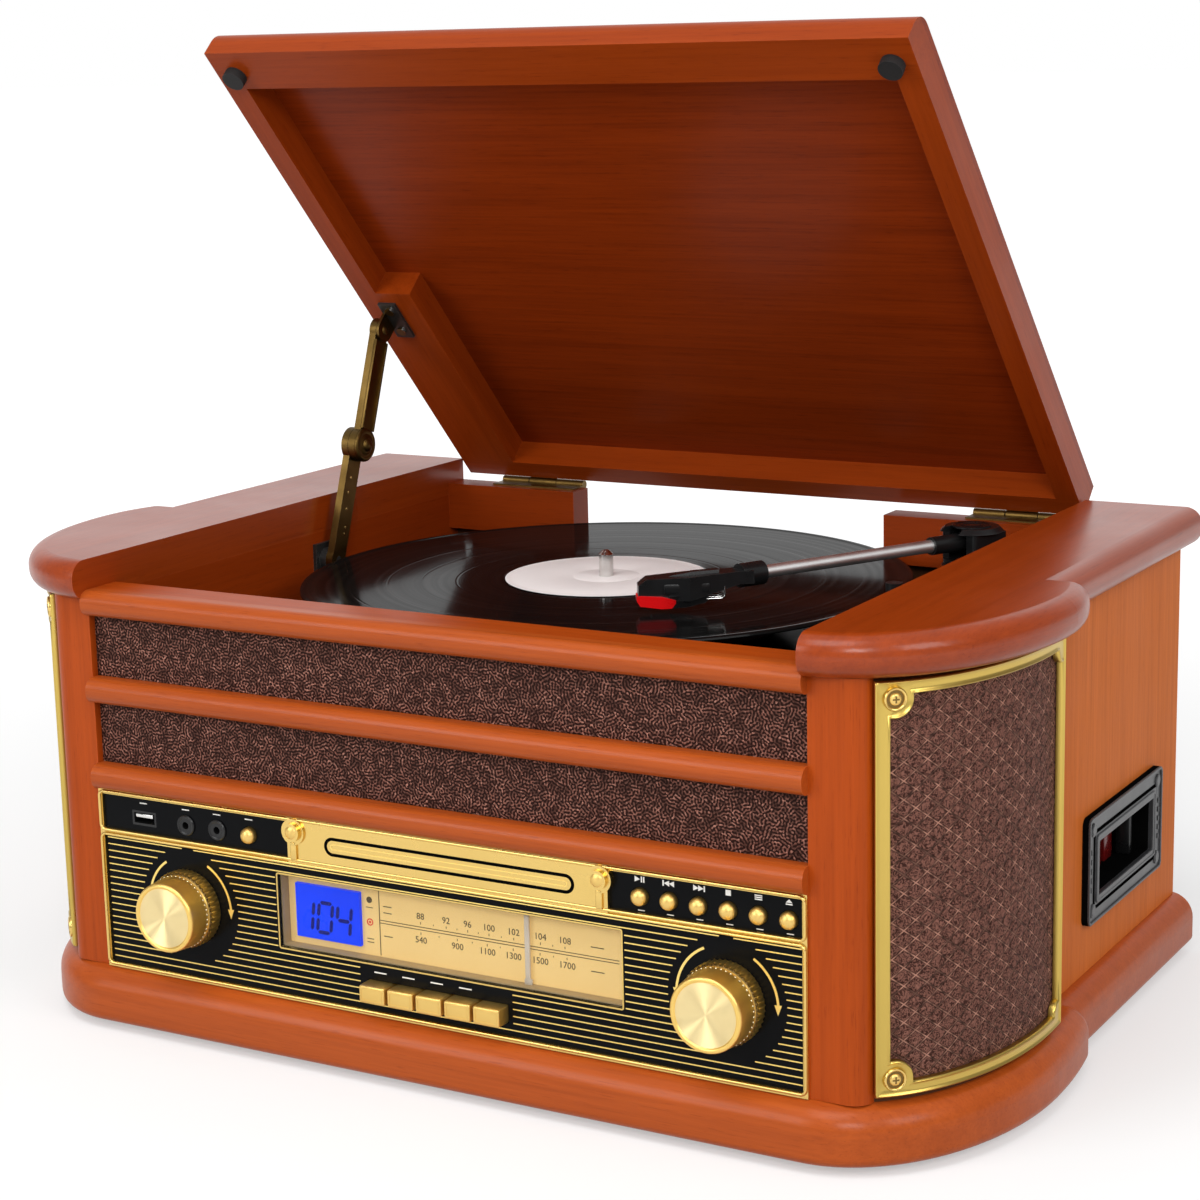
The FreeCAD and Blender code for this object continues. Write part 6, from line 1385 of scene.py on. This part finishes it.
@dataclass
class Controls:
    """Black fascia with its gilt trim, dial, knobs, buttons and keys."""

    front: float = -157.3
    print_depth: float = 0.16
    stripe_top: float = 93.6
    stripe_pitch: float = 3.27
    stripe_count: int = 19
    stripe_width: float = 0.52
    stripe_ends: Point2 = (-181.4, 181.6)
    knob_xs: Point2 = (-133.8, 147.0)
    knob_z: float = 66.0
    knob_clear: float = 27.8
    arrow_radius: float = 23.7
    window: Box = (-82.2, 97.0, 54.2, 88.8)
    key_box: Box = (-38.5, 42.0, 36.6, 53.5)
    dial_y: float = -150.3
    drawer_back: float = -159.0
    buttons: dict[str, float] = field(default_factory=BUTTON_XS.copy)
    button_z: float = 105.3
    sign_size: float = 2.5
    sign_lift: float = 7.6
    keys: dict[str, float] = field(default_factory=KEY_XS.copy)

    @property
    def face(self) -> Matrix:
        """Where the front of the fascia stands."""
        return put(0, self.front, 0, FRONT)

    def printed(self, outline: Sequence[Point2]) -> Solid:
        """Raise an outline by the thickness of the print."""
        return slab(outline, 0.0, self.print_depth)

    def dress(self, finish: Finishes) -> None:
        """Dress the solids of the fascia."""
        dress(finish.black_gloss, "fascia_panel")
        dress(finish.gilt, "fascia_trim", "volume_knob", "tuning_knob")
        dress_by_face("disc_drawer", (finish.gilt, finish.black),
            lambda at: int(at.y > self.drawer_back))
        dress(finish.gilt, *(name + "_button" for name in self.buttons))
        dress(finish.gilt, *(name + "_key" for name in self.keys))
        dress(finish.card, "dial_plate")
        dress(finish.display, "lcd_display")
        dress(finish.window, "dial_window")
        dress(finish.pointer, "dial_pointer")
        dress(finish.black, "sockets")
        dress(finish.grey_metal, "inner_units")
        dress(finish.green, "circuit_boards")

    def lips(self, finish: Finishes) -> None:
        """Raise the gilt lips of the trim, the window's edge and the lugs, and put a painted shadow
        ring and a gilt line on the disc drawer.
        """
        shape = Shape()
        for low, high in ((97.0, 117.2), (30.6, 96.4)):
            lip = raised_rim((-184.3, 184.3, low, high), (0.0, -1.4), (3.2, 1.9), (0.2, 2.4), 0.4)
            shape.add(lip, self.face)
        shape.add(raised_rim(self.window, (0.9, 0.2), (1.2, 0.5), (-0.5, 0.35)), self.face)
        for x in (-70.7, 88.2):
            shape.add(turned(dome(4.2, 4.4, 1.2, 9)), put(x, self.front - 1.2, 111.0, FRONT), 1)
            shape.add(block((x - 1.6, self.front - 3.2, 98.0), (x + 1.6, self.front - 1.8, 106.4), 0.5))
        shape.object("trim_lips", "cabinet", [finish.gilt, finish.gilt_satin], "gilt",
            crease=TURNED_CREASE)
        # A thin matt black ring on the drawer's face is a painted shadow of a groove.
        ring = band(rounded(-54.0, 75.8, 102.1, 110.9, 4.39, 10),
            rounded(-52.55, 74.35, 103.45, 109.55, 3.04, 10), 2.0, 2.12)
        Shape().add(ring, self.face).object("drawer_groove", "disc_drawer", [finish.painted_shadow_gap],
            "black_plastic")
        groove = band(rounded(-50.6, 72.4, 105.2, 107.8, 1.29, 8),
            rounded(-50.2, 72.0, 105.5, 107.5, 0.99, 8), 1.9, 2.1)
        Shape().add(groove, self.face).object("drawer_line", "disc_drawer", [finish.gilt_line], "gilt")

    def stripes(self, finish: Finishes) -> None:
        """Print the gilt stripes and the arrows round the knobs."""
        shape = Shape()
        for row in range(self.stripe_count):
            z = self.stripe_top - row * self.stripe_pitch
            gaps: list[Point2] = []
            for x in self.knob_xs:
                rise = abs(z - self.knob_z)
                if rise < self.knob_clear:
                    half = math.sqrt(self.knob_clear ** 2 - rise ** 2)
                    gaps.append((x - half, x + half))
            for left, right, low, high in ((self.window[0] - 1.6, self.window[1] + 1.6,
                    self.window[2] - 1.4, self.window[3] + 1.4), self.key_box):
                if low < z < high:
                    gaps.append((left, right))
            start = self.stripe_ends[0]
            for left, right in sorted(gaps) + [(self.stripe_ends[1], self.stripe_ends[1])]:
                if left - start > 1.0:
                    half = self.stripe_width / 2
                    shape.add(self.printed(rounded(start, left, z - half, z + half, 0.2, 2)), self.face)
                start = max(start, right)
        volume, tuning = self.knob_xs
        for x, arcs in ((volume, ((62, 4, True), (123, 166, False))),
                (tuning, ((58, 4, True), (116, 176, True)))):
            spot = put(x, self.front, self.knob_z, FRONT)
            for start, end, head in arcs:
                shape.add(self.printed(arc_band(self.arrow_radius, 1.1, start, end)), spot)
                if head:
                    tip, way = math.radians(end), -1 if end < start else 1
                    point = math.radians(end + way * 11)
                    spots = ((self.arrow_radius - 1.7, tip), (self.arrow_radius + 1.7, tip),
                        (self.arrow_radius, point))
                    corners = [(reach * math.cos(angle), reach * math.sin(angle))
                        for reach, angle in spots]
                    if way < 0:
                        corners.reverse()
                    shape.add(self.printed(corners), spot)
        shape.object("fascia_stripes", "cabinet", [finish.gilt_line], "gilt", crease=PRINT_CREASE)

    def symbols(self, finish: Finishes) -> None:
        """Print plain transport signs over the buttons and dashes over the rest."""
        shape = Shape()
        level = self.button_z + self.sign_lift

        def bar(x: float, width: float, height: float, z: float = level) -> None:
            """Print an upright bar."""
            outline = oblong(x - width / 2, x + width / 2, z - height / 2, z + height / 2)
            shape.add(self.printed(outline), self.face)

        def arrow(x: float, way: int) -> None:
            """Print a triangle that points left or right."""
            half = self.sign_size / 2
            corners = [(x - way * half, level - half), (x + way * half, level),
                (x - way * half, level + half)]
            shape.add(self.printed(corners if way > 0 else corners[::-1]), self.face)

        xs = self.buttons
        arrow(xs["play"] - 1.2, 1)
        bar(xs["play"] + 0.8, 0.6, self.sign_size)
        bar(xs["play"] + 1.9, 0.6, self.sign_size)
        for name, way in (("skip_back", -1), ("skip_forward", 1)):
            arrow(xs[name] - 1.15, way)
            arrow(xs[name] + 1.15, way)
            bar(xs[name] + way * 2.75, 0.6, self.sign_size)
        bar(xs["stop"], 2.4, 2.4)
        for step in (-1, 0, 1):
            bar(xs["program"], 3.4, 0.45, level + step * 0.85)
        corners = [(xs["open_close"] - 1.5, level - 0.3), (xs["open_close"] + 1.5, level - 0.3),
            (xs["open_close"], level + 1.2)]
        shape.add(self.printed(corners), self.face)
        bar(xs["open_close"], 3.0, 0.5, level - 1.0)
        for x in (xs["mode"], -115.6, -133.7, -158.6):
            bar(x, 4.2, 0.5, level - 0.2)
        for x in list(xs.values())[1:]:
            bar(x + 0.5, 3.2, 0.35, self.button_z - 6.0)
        for x in list(self.keys.values())[:-1]:
            bar(x, 6.5, 0.55, 50.0)
        shape.object("fascia_signs", "cabinet", [finish.white_ink], "pointer_white",
            crease=PRINT_CREASE)

    def press_pieces(self, finish: Finishes) -> None:
        """Make the domed buttons and the bevelled keys in place of their solids."""
        profile = [(3.2, -2.0), (3.85, -2.0)] + dome(3.85, 4.2, 0.9, 9)[1:]
        for name, x in self.buttons.items():
            place = put(x, self.front, self.button_z, FRONT)
            shape = Shape().add(turned(profile, 40), place)
            made = shape.object(name + "_button_dome", name + "_button", [finish.gilt_satin], "gilt",
                place, TURNED_CREASE)
            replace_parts(made, name + "_button")
        for name, x in self.keys.items():
            shape = Shape().add(block((x - 6.75, -165.3, 37.8), (x + 6.75, -150.0, 46.0), 0.9, 3))
            line = raised_rim((x - 5.6, x + 5.6, 39.0, 44.8), (0.0, -0.4), (0.8, 0.5), (7.8, 8.12),
                steps=3)
            shape.add(line, self.face)
            made = shape.object(name + "_key_cap", name + "_key", [finish.gilt_satin], "gilt",
                crease=TURNED_CREASE)
            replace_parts(made, name + "_key")

    def dial(self, finish: Finishes) -> None:
        """Print the dial, line its recess, make its pointer and light the display's figures."""
        liner = raised_rim(self.window, (-0.15, -0.7), (0.9, 0.5), (1.6, 6.9))
        turn_in = Matrix.Scale(-1, 4, (0, 1, 0))
        Shape().add(liner, put(0, self.front, 0, turn_in @ FRONT)).object("dial_liner", "cabinet",
            [finish.surround], "dial_card")
        place = put(0, self.dial_y, 0, FRONT)
        shape = Shape()

        def stroke(x0: float, x1: float, z0: float, z1: float) -> None:
            """Print a straight stroke."""
            shape.add(slab(oblong(x0, x1, z0, z1), 0.0, DIAL_INK), place)

        for z in (72.2, 70.9):
            stroke(-31.7, 92.0, z - 0.16, z + 0.16)
        stroke(-31.9, -31.5, 55.5, 86.5)
        upper = dict(zip((-9.6, 4.0, 15.3, 26.4, 39.1, 52.7, 65.1),
            ("88", "92", "96", "100", "102", "104", "108")))
        lower = dict(zip((-9.6, 9.7, 25.3, 38.7, 52.4, 66.0),
            ("540", "900", "1100", "1300", "1500", "1700")))
        for row, z, tick in ((upper, 77.1, 74.0), (lower, 66.0, 69.1)):
            for x, text in row.items():
                shape.add(lettering(text, 3.0, DIAL_INK), put(x, self.dial_y - DIAL_INK / 2, z, FRONT))
                stroke(x - 0.15, x + 0.15, tick - 0.55, tick + 0.55)
            spots = list(row)
            for before, after in zip(spots, spots[1:]):
                middle = (before + after) / 2
                stroke(middle - 0.12, middle + 0.12, tick - 0.35, tick + 0.35)
        for z in (79.0, 76.0, 65.0):
            stroke(-29.5, -25.0, z - 0.2, z + 0.2)
        for z in (76.5, 65.5):
            stroke(78.0, 84.5, z - 0.2, z + 0.2)
        shape.add(turned([(1.5, 0.0), (1.5, DIAL_INK), (0.0, DIAL_INK)], 20),
            put(-37.0, self.dial_y, 81.0, FRONT))
        for z in (77.4, 62.6, 61.0):
            stroke(-38.8, -35.2, z - 0.17, z + 0.17)
        shape.object("dial_print", "cabinet", [finish.ink], "black_plastic", crease=PRINT_CREASE)
        ring = [(1.7, 0.0), (1.7, DIAL_INK), (1.2, DIAL_INK), (1.2, 0.0)]
        dot = [(0.6, 0.0), (0.6, DIAL_INK), (0.0, DIAL_INK)]
        spot = put(-37.0, self.dial_y, 70.5, FRONT)
        red = Shape().add(turned(ring, 24), spot).add(turned(dot, 16), spot)
        red.object("dial_mark", "cabinet", [finish.red], "stylus_red", crease=PRINT_CREASE)
        bar = Shape().add(block((45.75, -152.5, 55.4), (48.25, -151.2, 88.2), 0.4))
        bar.add(block((45.1, -152.3, 54.7), (48.9, -150.8, 57.4), 0.4))
        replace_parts(bar.object("pointer_bar", "dial_pointer", [finish.pointer], "pointer_white",
            crease=40), "dial_pointer")
        self.figures(finish)

    def figures(self, finish: Finishes) -> None:
        """Make the three figures of the display from straight segments."""
        shape = Shape()
        front = min((corner.co.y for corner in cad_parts["lcd_display"].data.vertices)) / MM
        wide, tall, thick = 7.4, 14.2, 1.7
        strokes = {"a": (0, tall, wide, tall), "b": (wide, tall / 2, wide, tall),
            "c": (wide, 0, wide, tall / 2), "d": (0, 0, wide, 0), "e": (0, 0, 0, tall / 2),
            "f": (0, tall / 2, 0, tall), "g": (0, tall / 2, wide, tall / 2)}
        for number, parts in enumerate(("bc", "abcdef", "bcfg")):
            for part in parts:
                x0, z0, x1, z1 = strokes[part]
                upright = x0 == x1
                half, gap = thick / 2, 0.45
                if upright:
                    outline = [(x0 - half, z0 + gap + half), (x0, z0 + gap),
                        (x0 + half, z0 + gap + half), (x0 + half, z1 - gap - half), (x0, z1 - gap),
                        (x0 - half, z1 - gap - half)]
                else:
                    outline = [(x0 + gap, z0), (x0 + gap + half, z0 - half),
                        (x1 - gap - half, z0 - half), (x1 - gap, z0), (x1 - gap - half, z0 + half),
                        (x0 + gap + half, z0 + half)]
                slant = [(-75.4 + number * 10.4 + x + z * 0.12, 62.4 + z) for x, z in outline]
                shape.add(slab(slant, 0.0, DIAL_INK), put(0, front, 0, FRONT))
        shape.object("display_figures", "cabinet", [finish.segment], "display_blue",
            crease=PRINT_CREASE)

    def ports(self, finish: Finishes) -> None:
        """Fit the metal tongue of the memory-stick port and the rings of the jacks."""
        shape = Shape()
        shape.add(block((-163.6, -157.2, 105.6), (-153.6, -148.0, 107.3), 0.3))
        shape.object("stick_port_shell", "cabinet", [finish.steel], "tube_chrome",
            crease=MOULDED_CREASE)
        rings = Shape()
        for x in (-133.7, -115.6):
            rings.add(turned([(4.9, 0.0), (4.9, 0.7), (4.5, 1.1), (3.9, 1.1), (3.4, 0.7), (2.4, 0.85),
                (1.95, 0.6), (1.9, 0.0)], 40), put(x, self.front, self.button_z, FRONT))
        rings.object("jack_rings", "cabinet", [finish.black], "black_plastic", crease=MOULDED_CREASE)

    def build(self, finish: Finishes) -> None:
        """Dress the fascia and make its pieces."""
        self.dress(finish)
        self.lips(finish)
        self.stripes(finish)
        self.symbols(finish)
        self.press_pieces(finish)
        self.dial(finish)
        self.ports(finish)
        Knob("volume_knob", self.knob_xs[0]).build(finish)
        Knob("tuning_knob", self.knob_xs[1]).build(finish)


@dataclass
class RecordDeck:
    """Platter, record and tonearm."""

    centre: Point2 = (-12.6, 28.5)
    record_low: float = 196.6
    record_top: float = 198.6
    record_radius: float = 150.8
    label_radius: float = 50.0
    hole: float = 3.65
    breaks: tuple[float, ...] = (58.5, 74.0, 91.5, 108.0, 126.5, 143.5)
    head_middle: tuple[float, float, float] = (62.3, -26.2, 210.0)
    head_way: Point2 = (-0.836, -0.549)
    yoke: tuple[float, float, float] = (147.0, 110.5, 221.2)

    def dress(self, finish: Finishes) -> None:
        """Dress the solids of the deck."""
        dress(finish.black, "deck_plate", "tonearm_base", "tonearm_yoke", "tonearm_root", "headshell",
            "speed_lever")
        dress_by_face("platter_and_spindle", (finish.black, finish.steel), self.spindle_face)
        dress(finish.vinyl, "vinyl_record")
        dress(finish.paper, "record_label")
        dress(finish.chrome, "tonearm_tube")
        dress(finish.red, "stylus_unit")
        dress(finish.rubber, "drive_belt")
        dress(finish.black_metal, "drive_motor")
        dress(finish.brass, "motor_pulley")

    def spindle_face(self, at: Vector) -> int:
        """Tell the spindle's faces from the platter's."""
        away = math.hypot(at.x - self.centre[0], at.y - self.centre[1])
        return int(away < 4.0 and at.z > self.record_low)

    def record(self, finish: Finishes) -> None:
        """Press the record with its rim, bands and label."""
        top, low = self.record_top, self.record_low
        profile = [(self.hole, low), (148.0, low), (150.2, low + 0.25), (self.record_radius, low + 0.9),
            (150.5, top - 0.35), (149.4, top - 0.02), (147.6, top), (146.6, top - 0.25),
            (146.0, top - 0.3)]
        for radius in sorted(self.breaks, reverse=True):
            profile += [(radius + 1.0, top - 0.3), (radius + 0.5, top - 0.3),
                (radius + 0.25, top - 0.325), (radius - 0.25, top - 0.325), (radius - 0.5, top - 0.3),
                (radius - 1.0, top - 0.3)]
        profile += [(56.0, top - 0.3), (52.0, top - 0.3), (51.2, top - 0.28), (50.6, top - 0.05),
            (50.0, top), (49.0, top), (self.hole, top), (self.hole, low)]
        place = put(*self.centre, 0)
        made = Shape().add(turned(profile, 180), place).object("pressed_record", "platter",
            [finish.vinyl], "vinyl", place, PRINT_CREASE)
        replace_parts(made, "vinyl_record")
        label = [(self.hole, top + 0.02), (self.label_radius, top + 0.02),
            (self.label_radius, top + 0.24), (49.6, top + 0.3), (47.8, top + 0.3), (47.4, top + 0.2),
            (46.8, top + 0.2), (46.4, top + 0.3), (17.4, top + 0.3), (17.0, top + 0.16),
            (16.2, top + 0.16), (15.8, top + 0.3), (4.4, top + 0.3), (self.hole, top + 0.22),
            (self.hole, top + 0.02)]
        made = Shape().add(turned(label, 120), place).object("pressed_label", "platter", [finish.paper],
            "label_paper", place, PRINT_CREASE)
        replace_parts(made, "record_label")

    def head(self, finish: Finishes) -> None:
        """Add ribs, the cartridge's body, its stylus guard and its pins to the headshell."""
        x, y, z = self.head_middle
        way = Vector((*self.head_way, 0))
        turn = Matrix((way, Vector((-way.y, way.x, 0)), Vector((0, 0, 1)))).transposed().to_4x4()
        place = put(x, y, z, turn)
        shape = Shape()
        spine = [(-14.0, 3.2, 7.6), (-2.0, 3.0, 7.0), (8.0, 2.6, 5.4), (17.0, 2.0, 2.6)]
        shape.add(skin([[(x, -half, top - 1.6), (x, half, top - 1.6), (x, half * 0.7, top),
            (x, -half * 0.7, top)] for x, half, top in spine]), place)
        shape.add(block((-17.0, -6.2, -1.0), (-12.5, 6.2, 1.2), 0.5), place)
        for side in (-1, 1):
            shape.add(block((-9.0, side * 7.2 - 0.6, -2.0), (12.0, side * 7.2 + 0.6, 2.4), 0.4), place)
        under = [(9.6, 8.2, -9.0, -3.0), (2.0, 7.8, -8.8, -3.0), (-7.0, 7.0, -7.0, -3.0),
            (-8.5, 6.4, -6.0, -3.0)]
        shape.add(hull(under, 0.86), place)
        shape.object("head_ribs", "tonearm", [finish.black], "black_plastic", crease=PRINT_CREASE)
        nose = [(24.3, 4.4, -6.0, -3.6), (22.8, 5.6, -8.2, -3.0), (13.0, 8.3, -9.2, -3.4),
            (8.6, 8.7, -9.0, -4.4), (6.6, 8.4, -7.4, -5.0)]
        guard = Shape().add(hull(nose, 0.82), place)
        guard.add(turned([(0.0, -10.7), (0.2, -10.5), (0.7, -8.8), (0.7, -8.0)], 16),
            place @ put(17.5, 0, 0), 1)
        made = guard.object("stylus_guard", "tonearm", [finish.red, finish.steel], "stylus_red",
            crease=25)
        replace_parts(made, "stylus_unit")
        pins = Shape()
        for across in (-6.4, -2.2, 2.2, 6.4):
            path = [place @ Vector(point)
                for point in ((-7.6, across, -5.2), (-14.6, across, -5.0), (-16.0, across, -4.2),
                (-16.2, across, -2.8), (-16.2, across, 0.4))]
            outs = [place.to_3x3() @ Vector((0, 1, 0))] * len(path)
            pins.add(bead(path, outs, 0.8, 0.8, 8))
        pins.object("head_pins", "tonearm", [finish.steel], "tube_chrome", crease=60)

    def yoke_top(self, finish: Finishes) -> None:
        """Add the ringed disc on the yoke."""
        x, y, z = self.yoke
        ring = [(9.6, -0.4), (9.6, 0.3), (9.0, 0.7), (8.2, 0.7), (7.7, 0.3), (6.0, 0.3), (5.5, 0.7),
            (4.8, 0.7), (4.4, 0.35), (0.0, 0.35)]
        Shape().add(turned(ring, 48), put(x, y, z)).object("yoke_disc", "arm_yoke", [finish.black],
            "black_plastic", crease=MOULDED_CREASE)

    def build(self, finish: Finishes) -> None:
        """Dress the deck and make its pieces."""
        self.dress(finish)
        self.record(finish)
        self.head(finish)
        self.yoke_top(finish)


@dataclass
class Lid:
    """Lid with its rails, hinges, bumpers and folding stay."""

    hinge_y: float = 170.2
    hinge_z: float = 216.35
    angle: float = 46.6
    side_rails: Point2 = (-168.6, 171.4)
    front_rail: float = -304.4
    stay_foot: Point2 = (29.5, 194.0)
    stay_elbow: Point2 = (50.603, 252.194)
    stay_head: Point2 = (71.706, 310.389)
    upper_face: float = -170.4
    knuckles: tuple[Point2, ...] = ((-141.2, -123.8), (141.8, 159.2))
    knuckle_radius: float = 2.35
    lower_face: float = -174.7
    stay_block: Point2 = (-146.5, -16.0)
    plate_level: float = -0.7
    lug_side: float = -163.5
    fitting_shade_split: float = 60.0

    def at_rest(self, at: Vector) -> Vector:
        """Where a point of the open lid lies when measured from the hinge of the shut lid."""
        lean = math.radians(self.angle)
        y, z = at.y - self.hinge_y, at.z - self.hinge_z
        return Vector((at.x, y * math.cos(lean) - z * math.sin(lean),
            y * math.sin(lean) + z * math.cos(lean)))

    def rail_face(self, at: Vector) -> int:
        """Pick the grain of a rail's face: 0 across, 1 along the slope."""
        flat = self.at_rest(at)
        if flat.y < self.front_rail:
            return 0
        if flat.x < self.side_rails[0] or flat.x > self.side_rails[1]:
            return 1
        return int(flat.x < self.stay_block[0] and flat.y < self.stay_block[1])

    def dress(self, finish: Finishes) -> None:
        """Dress the solids of the lid."""
        dress(finish.lid_wood_shaded, "lid_panel")
        rails = finish.lid_rail_wood
        dress_by_face("lid_rails", (rails[Grain.ACROSS], rails[Grain.LID_SLOPE]), self.rail_face)
        dress(finish.rubber, "lid_bumpers")
        dress(finish.brass, "lid_hinge_leaves", "stay_upper_arm", "stay_lower_arm")
        # The fitting's faces in front of Y = 60 mm are black enamel, a painted shade beside the stay's
        # arm.
        dress_by_face("cabinet_hinge_fittings", (finish.brass, finish.black_metal),
            lambda at: int(at.y < self.fitting_shade_split))
        dress_by_face("stay_bracket", (finish.black_metal, finish.brass, finish.steel), self.lug_face)

    def hinges(self, finish: Finishes) -> None:
        """Turn the lid's hinge knuckles, their leaves let into the rail."""
        shape = Shape()
        lean = math.radians(self.angle)
        way = Vector((0, -math.cos(lean), math.sin(lean)))
        radius = self.knuckle_radius
        for start, end in self.knuckles:
            long = end - start
            profile = [(0.0, 0.0), (radius - 0.3, 0.0), (radius, 0.3), (radius, long - 0.3),
                (radius - 0.3, long), (0.0, long)]
            shape.add(turned(profile, 32),
                put(start, self.hinge_y, self.hinge_z, Matrix.Rotation(math.pi / 2, 4, "Y")))
            turn = Matrix((Vector((1, 0, 0)), way, Vector((1, 0, 0)).cross(way))).transposed().to_4x4()
            shape.add(block((0.2, 1.2, -1.9), (long - 0.2, 3.4, -1.2), 0.2, 1),
                put(start, self.hinge_y, self.hinge_z, turn))
        made = shape.object("hinge_knuckles", "lid", [finish.brass], "brass", crease=MOULDED_CREASE)
        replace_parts(made, "lid_hinge_leaves")

    def lug_face(self, at: Vector) -> int:
        """Tell the bracket's black plate, brass lug and screws apart."""
        if self.at_rest(at).z > self.plate_level:
            return 0
        return 2 if at.x > self.lug_side else 1

    def stay(self, finish: Finishes) -> None:
        """Add flanges, rivets and elbow discs to the stay."""
        spots = (self.stay_foot, self.stay_elbow, self.stay_head)
        foot, elbow, head = (Vector((0, *spot)) for spot in spots)
        along = (head - foot).normalized()
        turn = Matrix((along, Vector((1, 0, 0)).cross(along), Vector((1, 0, 0)))).transposed().to_4x4()
        upper = Shape()
        length = (head - elbow).length
        place = put(self.upper_face, elbow.y, elbow.z, turn)
        for side in (-1, 1):
            upper.add(block((8.0, side * 4.9 - 0.65, -0.6), (length - 6.0, side * 4.9 + 0.65, 1.3),
                0.35), place)
        upper.add(turned([(8.8, 0.0), (8.8, 0.9), (8.2, 1.5), (7.0, 1.7), (6.2, 1.4), (5.4, 1.4),
            (4.8, 1.9), (3.6, 2.0), (3.2, 2.9), (2.2, 3.6), (0.0, 3.8)], 48), place)
        upper.add(turned([(4.8, 0.0), (4.8, 0.7), (4.2, 1.2), (3.0, 1.3), (2.6, 2.0), (1.6, 2.6),
            (0.0, 2.8)], 40), put(self.upper_face, head.y, head.z, turn))
        upper.object("stay_upper_fittings", "stay_upper", [finish.brass], "brass",
            crease=MOULDED_CREASE)
        lower = Shape()
        place = put(self.lower_face, foot.y, foot.z, turn)
        for step, across in ((14.0, -1.0), (17.5, -1.0), (27.0, 0.4), (36.0, 1.2), (44.0, 1.0)):
            lower.add(turned([(0.75, 0.0), (0.75, 0.08), (0.45, 0.12), (0.0, 0.12)], 14),
                place @ put(step, across, 0))
        lower.object("stay_lower_marks", "stay_lower", [finish.bright_brass], "brass",
            crease=MOULDED_CREASE)

    def build(self, finish: Finishes) -> None:
        """Dress the lid and make its fittings."""
        self.dress(finish)
        self.hinges(finish)
        self.stay(finish)


@dataclass
class TapeSlot:
    """Tape bezel in the right side with the works inside."""

    face: float = 237.5
    rim: Box = (28.4, 133.4, 53.3, 105.1)
    mouth: Box = (41.6, 119.4, 65.7, 91.8)
    screw_edge: float = 6.5

    def dress(self, finish: Finishes) -> None:
        """Dress the bezel."""
        # The bezel's sides and the walls of its mouth are matt black, a painted shade.
        dress_by_face("tape_bezel", (finish.grey_plastic, finish.painted_shadow_gap),
            lambda at: int(at.x < self.face - 0.4))

    def trim(self, finish: Finishes) -> None:
        """Raise the frame round the mouth and sink the screws."""
        shape = Shape()
        place = put(self.face, 0, 0, RIGHT)
        left, right, low, high = self.mouth
        shape.add(raised_rim(self.mouth, (3.4, 1.9), (2.2, 1.4), (0.0, 1.1), 0.35), place)
        shape.add(raised_rim(self.mouth, (1.0, -0.1), (1.2, 0.6), (-1.5, 0.7), 0.25), place)
        shape.add(raised_rim(self.rim, (-0.2, -1.6), (3.0, 2.0), (0.0, 0.9), 0.35), place)
        near, far, bottom, top = self.rim
        edge = self.screw_edge
        spots = [place @ put(y, z, 0) for y in (near + edge, far - edge)
            for z in (bottom + edge, top - edge)]
        for spot in spots:
            shape.add(turned([(3.3, 0.0), (3.3, 0.45), (2.9, 0.7), (2.3, 0.6), (2.1, 0.1)], 32), spot)
        for y in (near + 4.6, far - 4.6):
            for step in range(5):
                z = (bottom + top) / 2 - 9 + step * 4.5
                shape.add(block((y - 0.6, z - 1.3, 0.0), (y + 0.6, z + 1.3, 0.5), 0.2, 1), place)
        # A thin matt black band round the frame is a painted shadow of a groove.
        shape.add(band(rounded(left - 6.2, right + 6.2, low - 6.0, high + 6.0, 3.0),
            rounded(left - 4.5, right + 4.5, low - 4.4, high + 4.4, 2.2), 0.0, 0.15), place, 1)
        shape.object("tape_frame", "cabinet", [finish.grey_plastic, finish.painted_shadow_gap], "black_plastic",
            crease=MOULDED_CREASE)
        screws = Shape()
        # The screw heads are matt black, a painted shade of their recesses.
        for spot in spots:
            screws.screw(2.0, 0.7, spot)
        screws.object("tape_screws", "cabinet", [finish.painted_shadow_gap, finish.steel], "black_metal",
            crease=TURNED_CREASE)

    def works(self, finish: Finishes) -> None:
        """Fit the hubs, the head and the tinted flap inside the well."""
        shape = Shape()
        for y in (62.0, 100.0):
            hub = [(5.2, 0.0), (5.2, 2.0), (3.6, 2.2), (3.4, 7.5), (2.6, 8.6), (0.0, 9.0)]
            shape.add(turned(hub, 36, lambda row, share: 0.5 * math.cos(2 * math.pi * 6 * share)
                if row in (2, 3) else 0.0), put(199.5, y, 78.5, RIGHT))
        shape.add(block((199.0, 72.0, 66.2), (222.0, 90.0, 69.6), 0.8))
        shape.add(block((224.0, 106.0, 66.0), (231.0, 110.0, 88.0), 0.6))
        shape.object("tape_works", "cabinet", [finish.black], "black_plastic", crease=MOULDED_CREASE)
        flap = Shape().add(block((221.0, 68.0, 65.9), (224.0, 86.0, 79.0), 0.8))
        flap.add(block((221.0, 90.0, 65.9), (224.0, 101.0, 84.0), 0.8))
        flap.object("tape_flap", "cabinet", [finish.dark_red], "stylus_red", crease=MOULDED_CREASE)

    def build(self, finish: Finishes) -> None:
        """Dress the bezel and fit its pieces."""
        self.dress(finish)
        self.trim(finish)
        self.works(finish)


def main() -> None:
    """Build the looks of the player in order."""
    logging.basicConfig(level=logging.INFO, format="%(name)s: %(message)s")
    finish = Finishes()
    Studio().build()
    for assembly in (Cabinet(), Cloths(), Controls(), RecordDeck(), Lid(), TapeSlot()):
        assembly.build(finish)
        LOG.info("built %s", type(assembly).__name__)


if __name__ == "__main__":
    main()
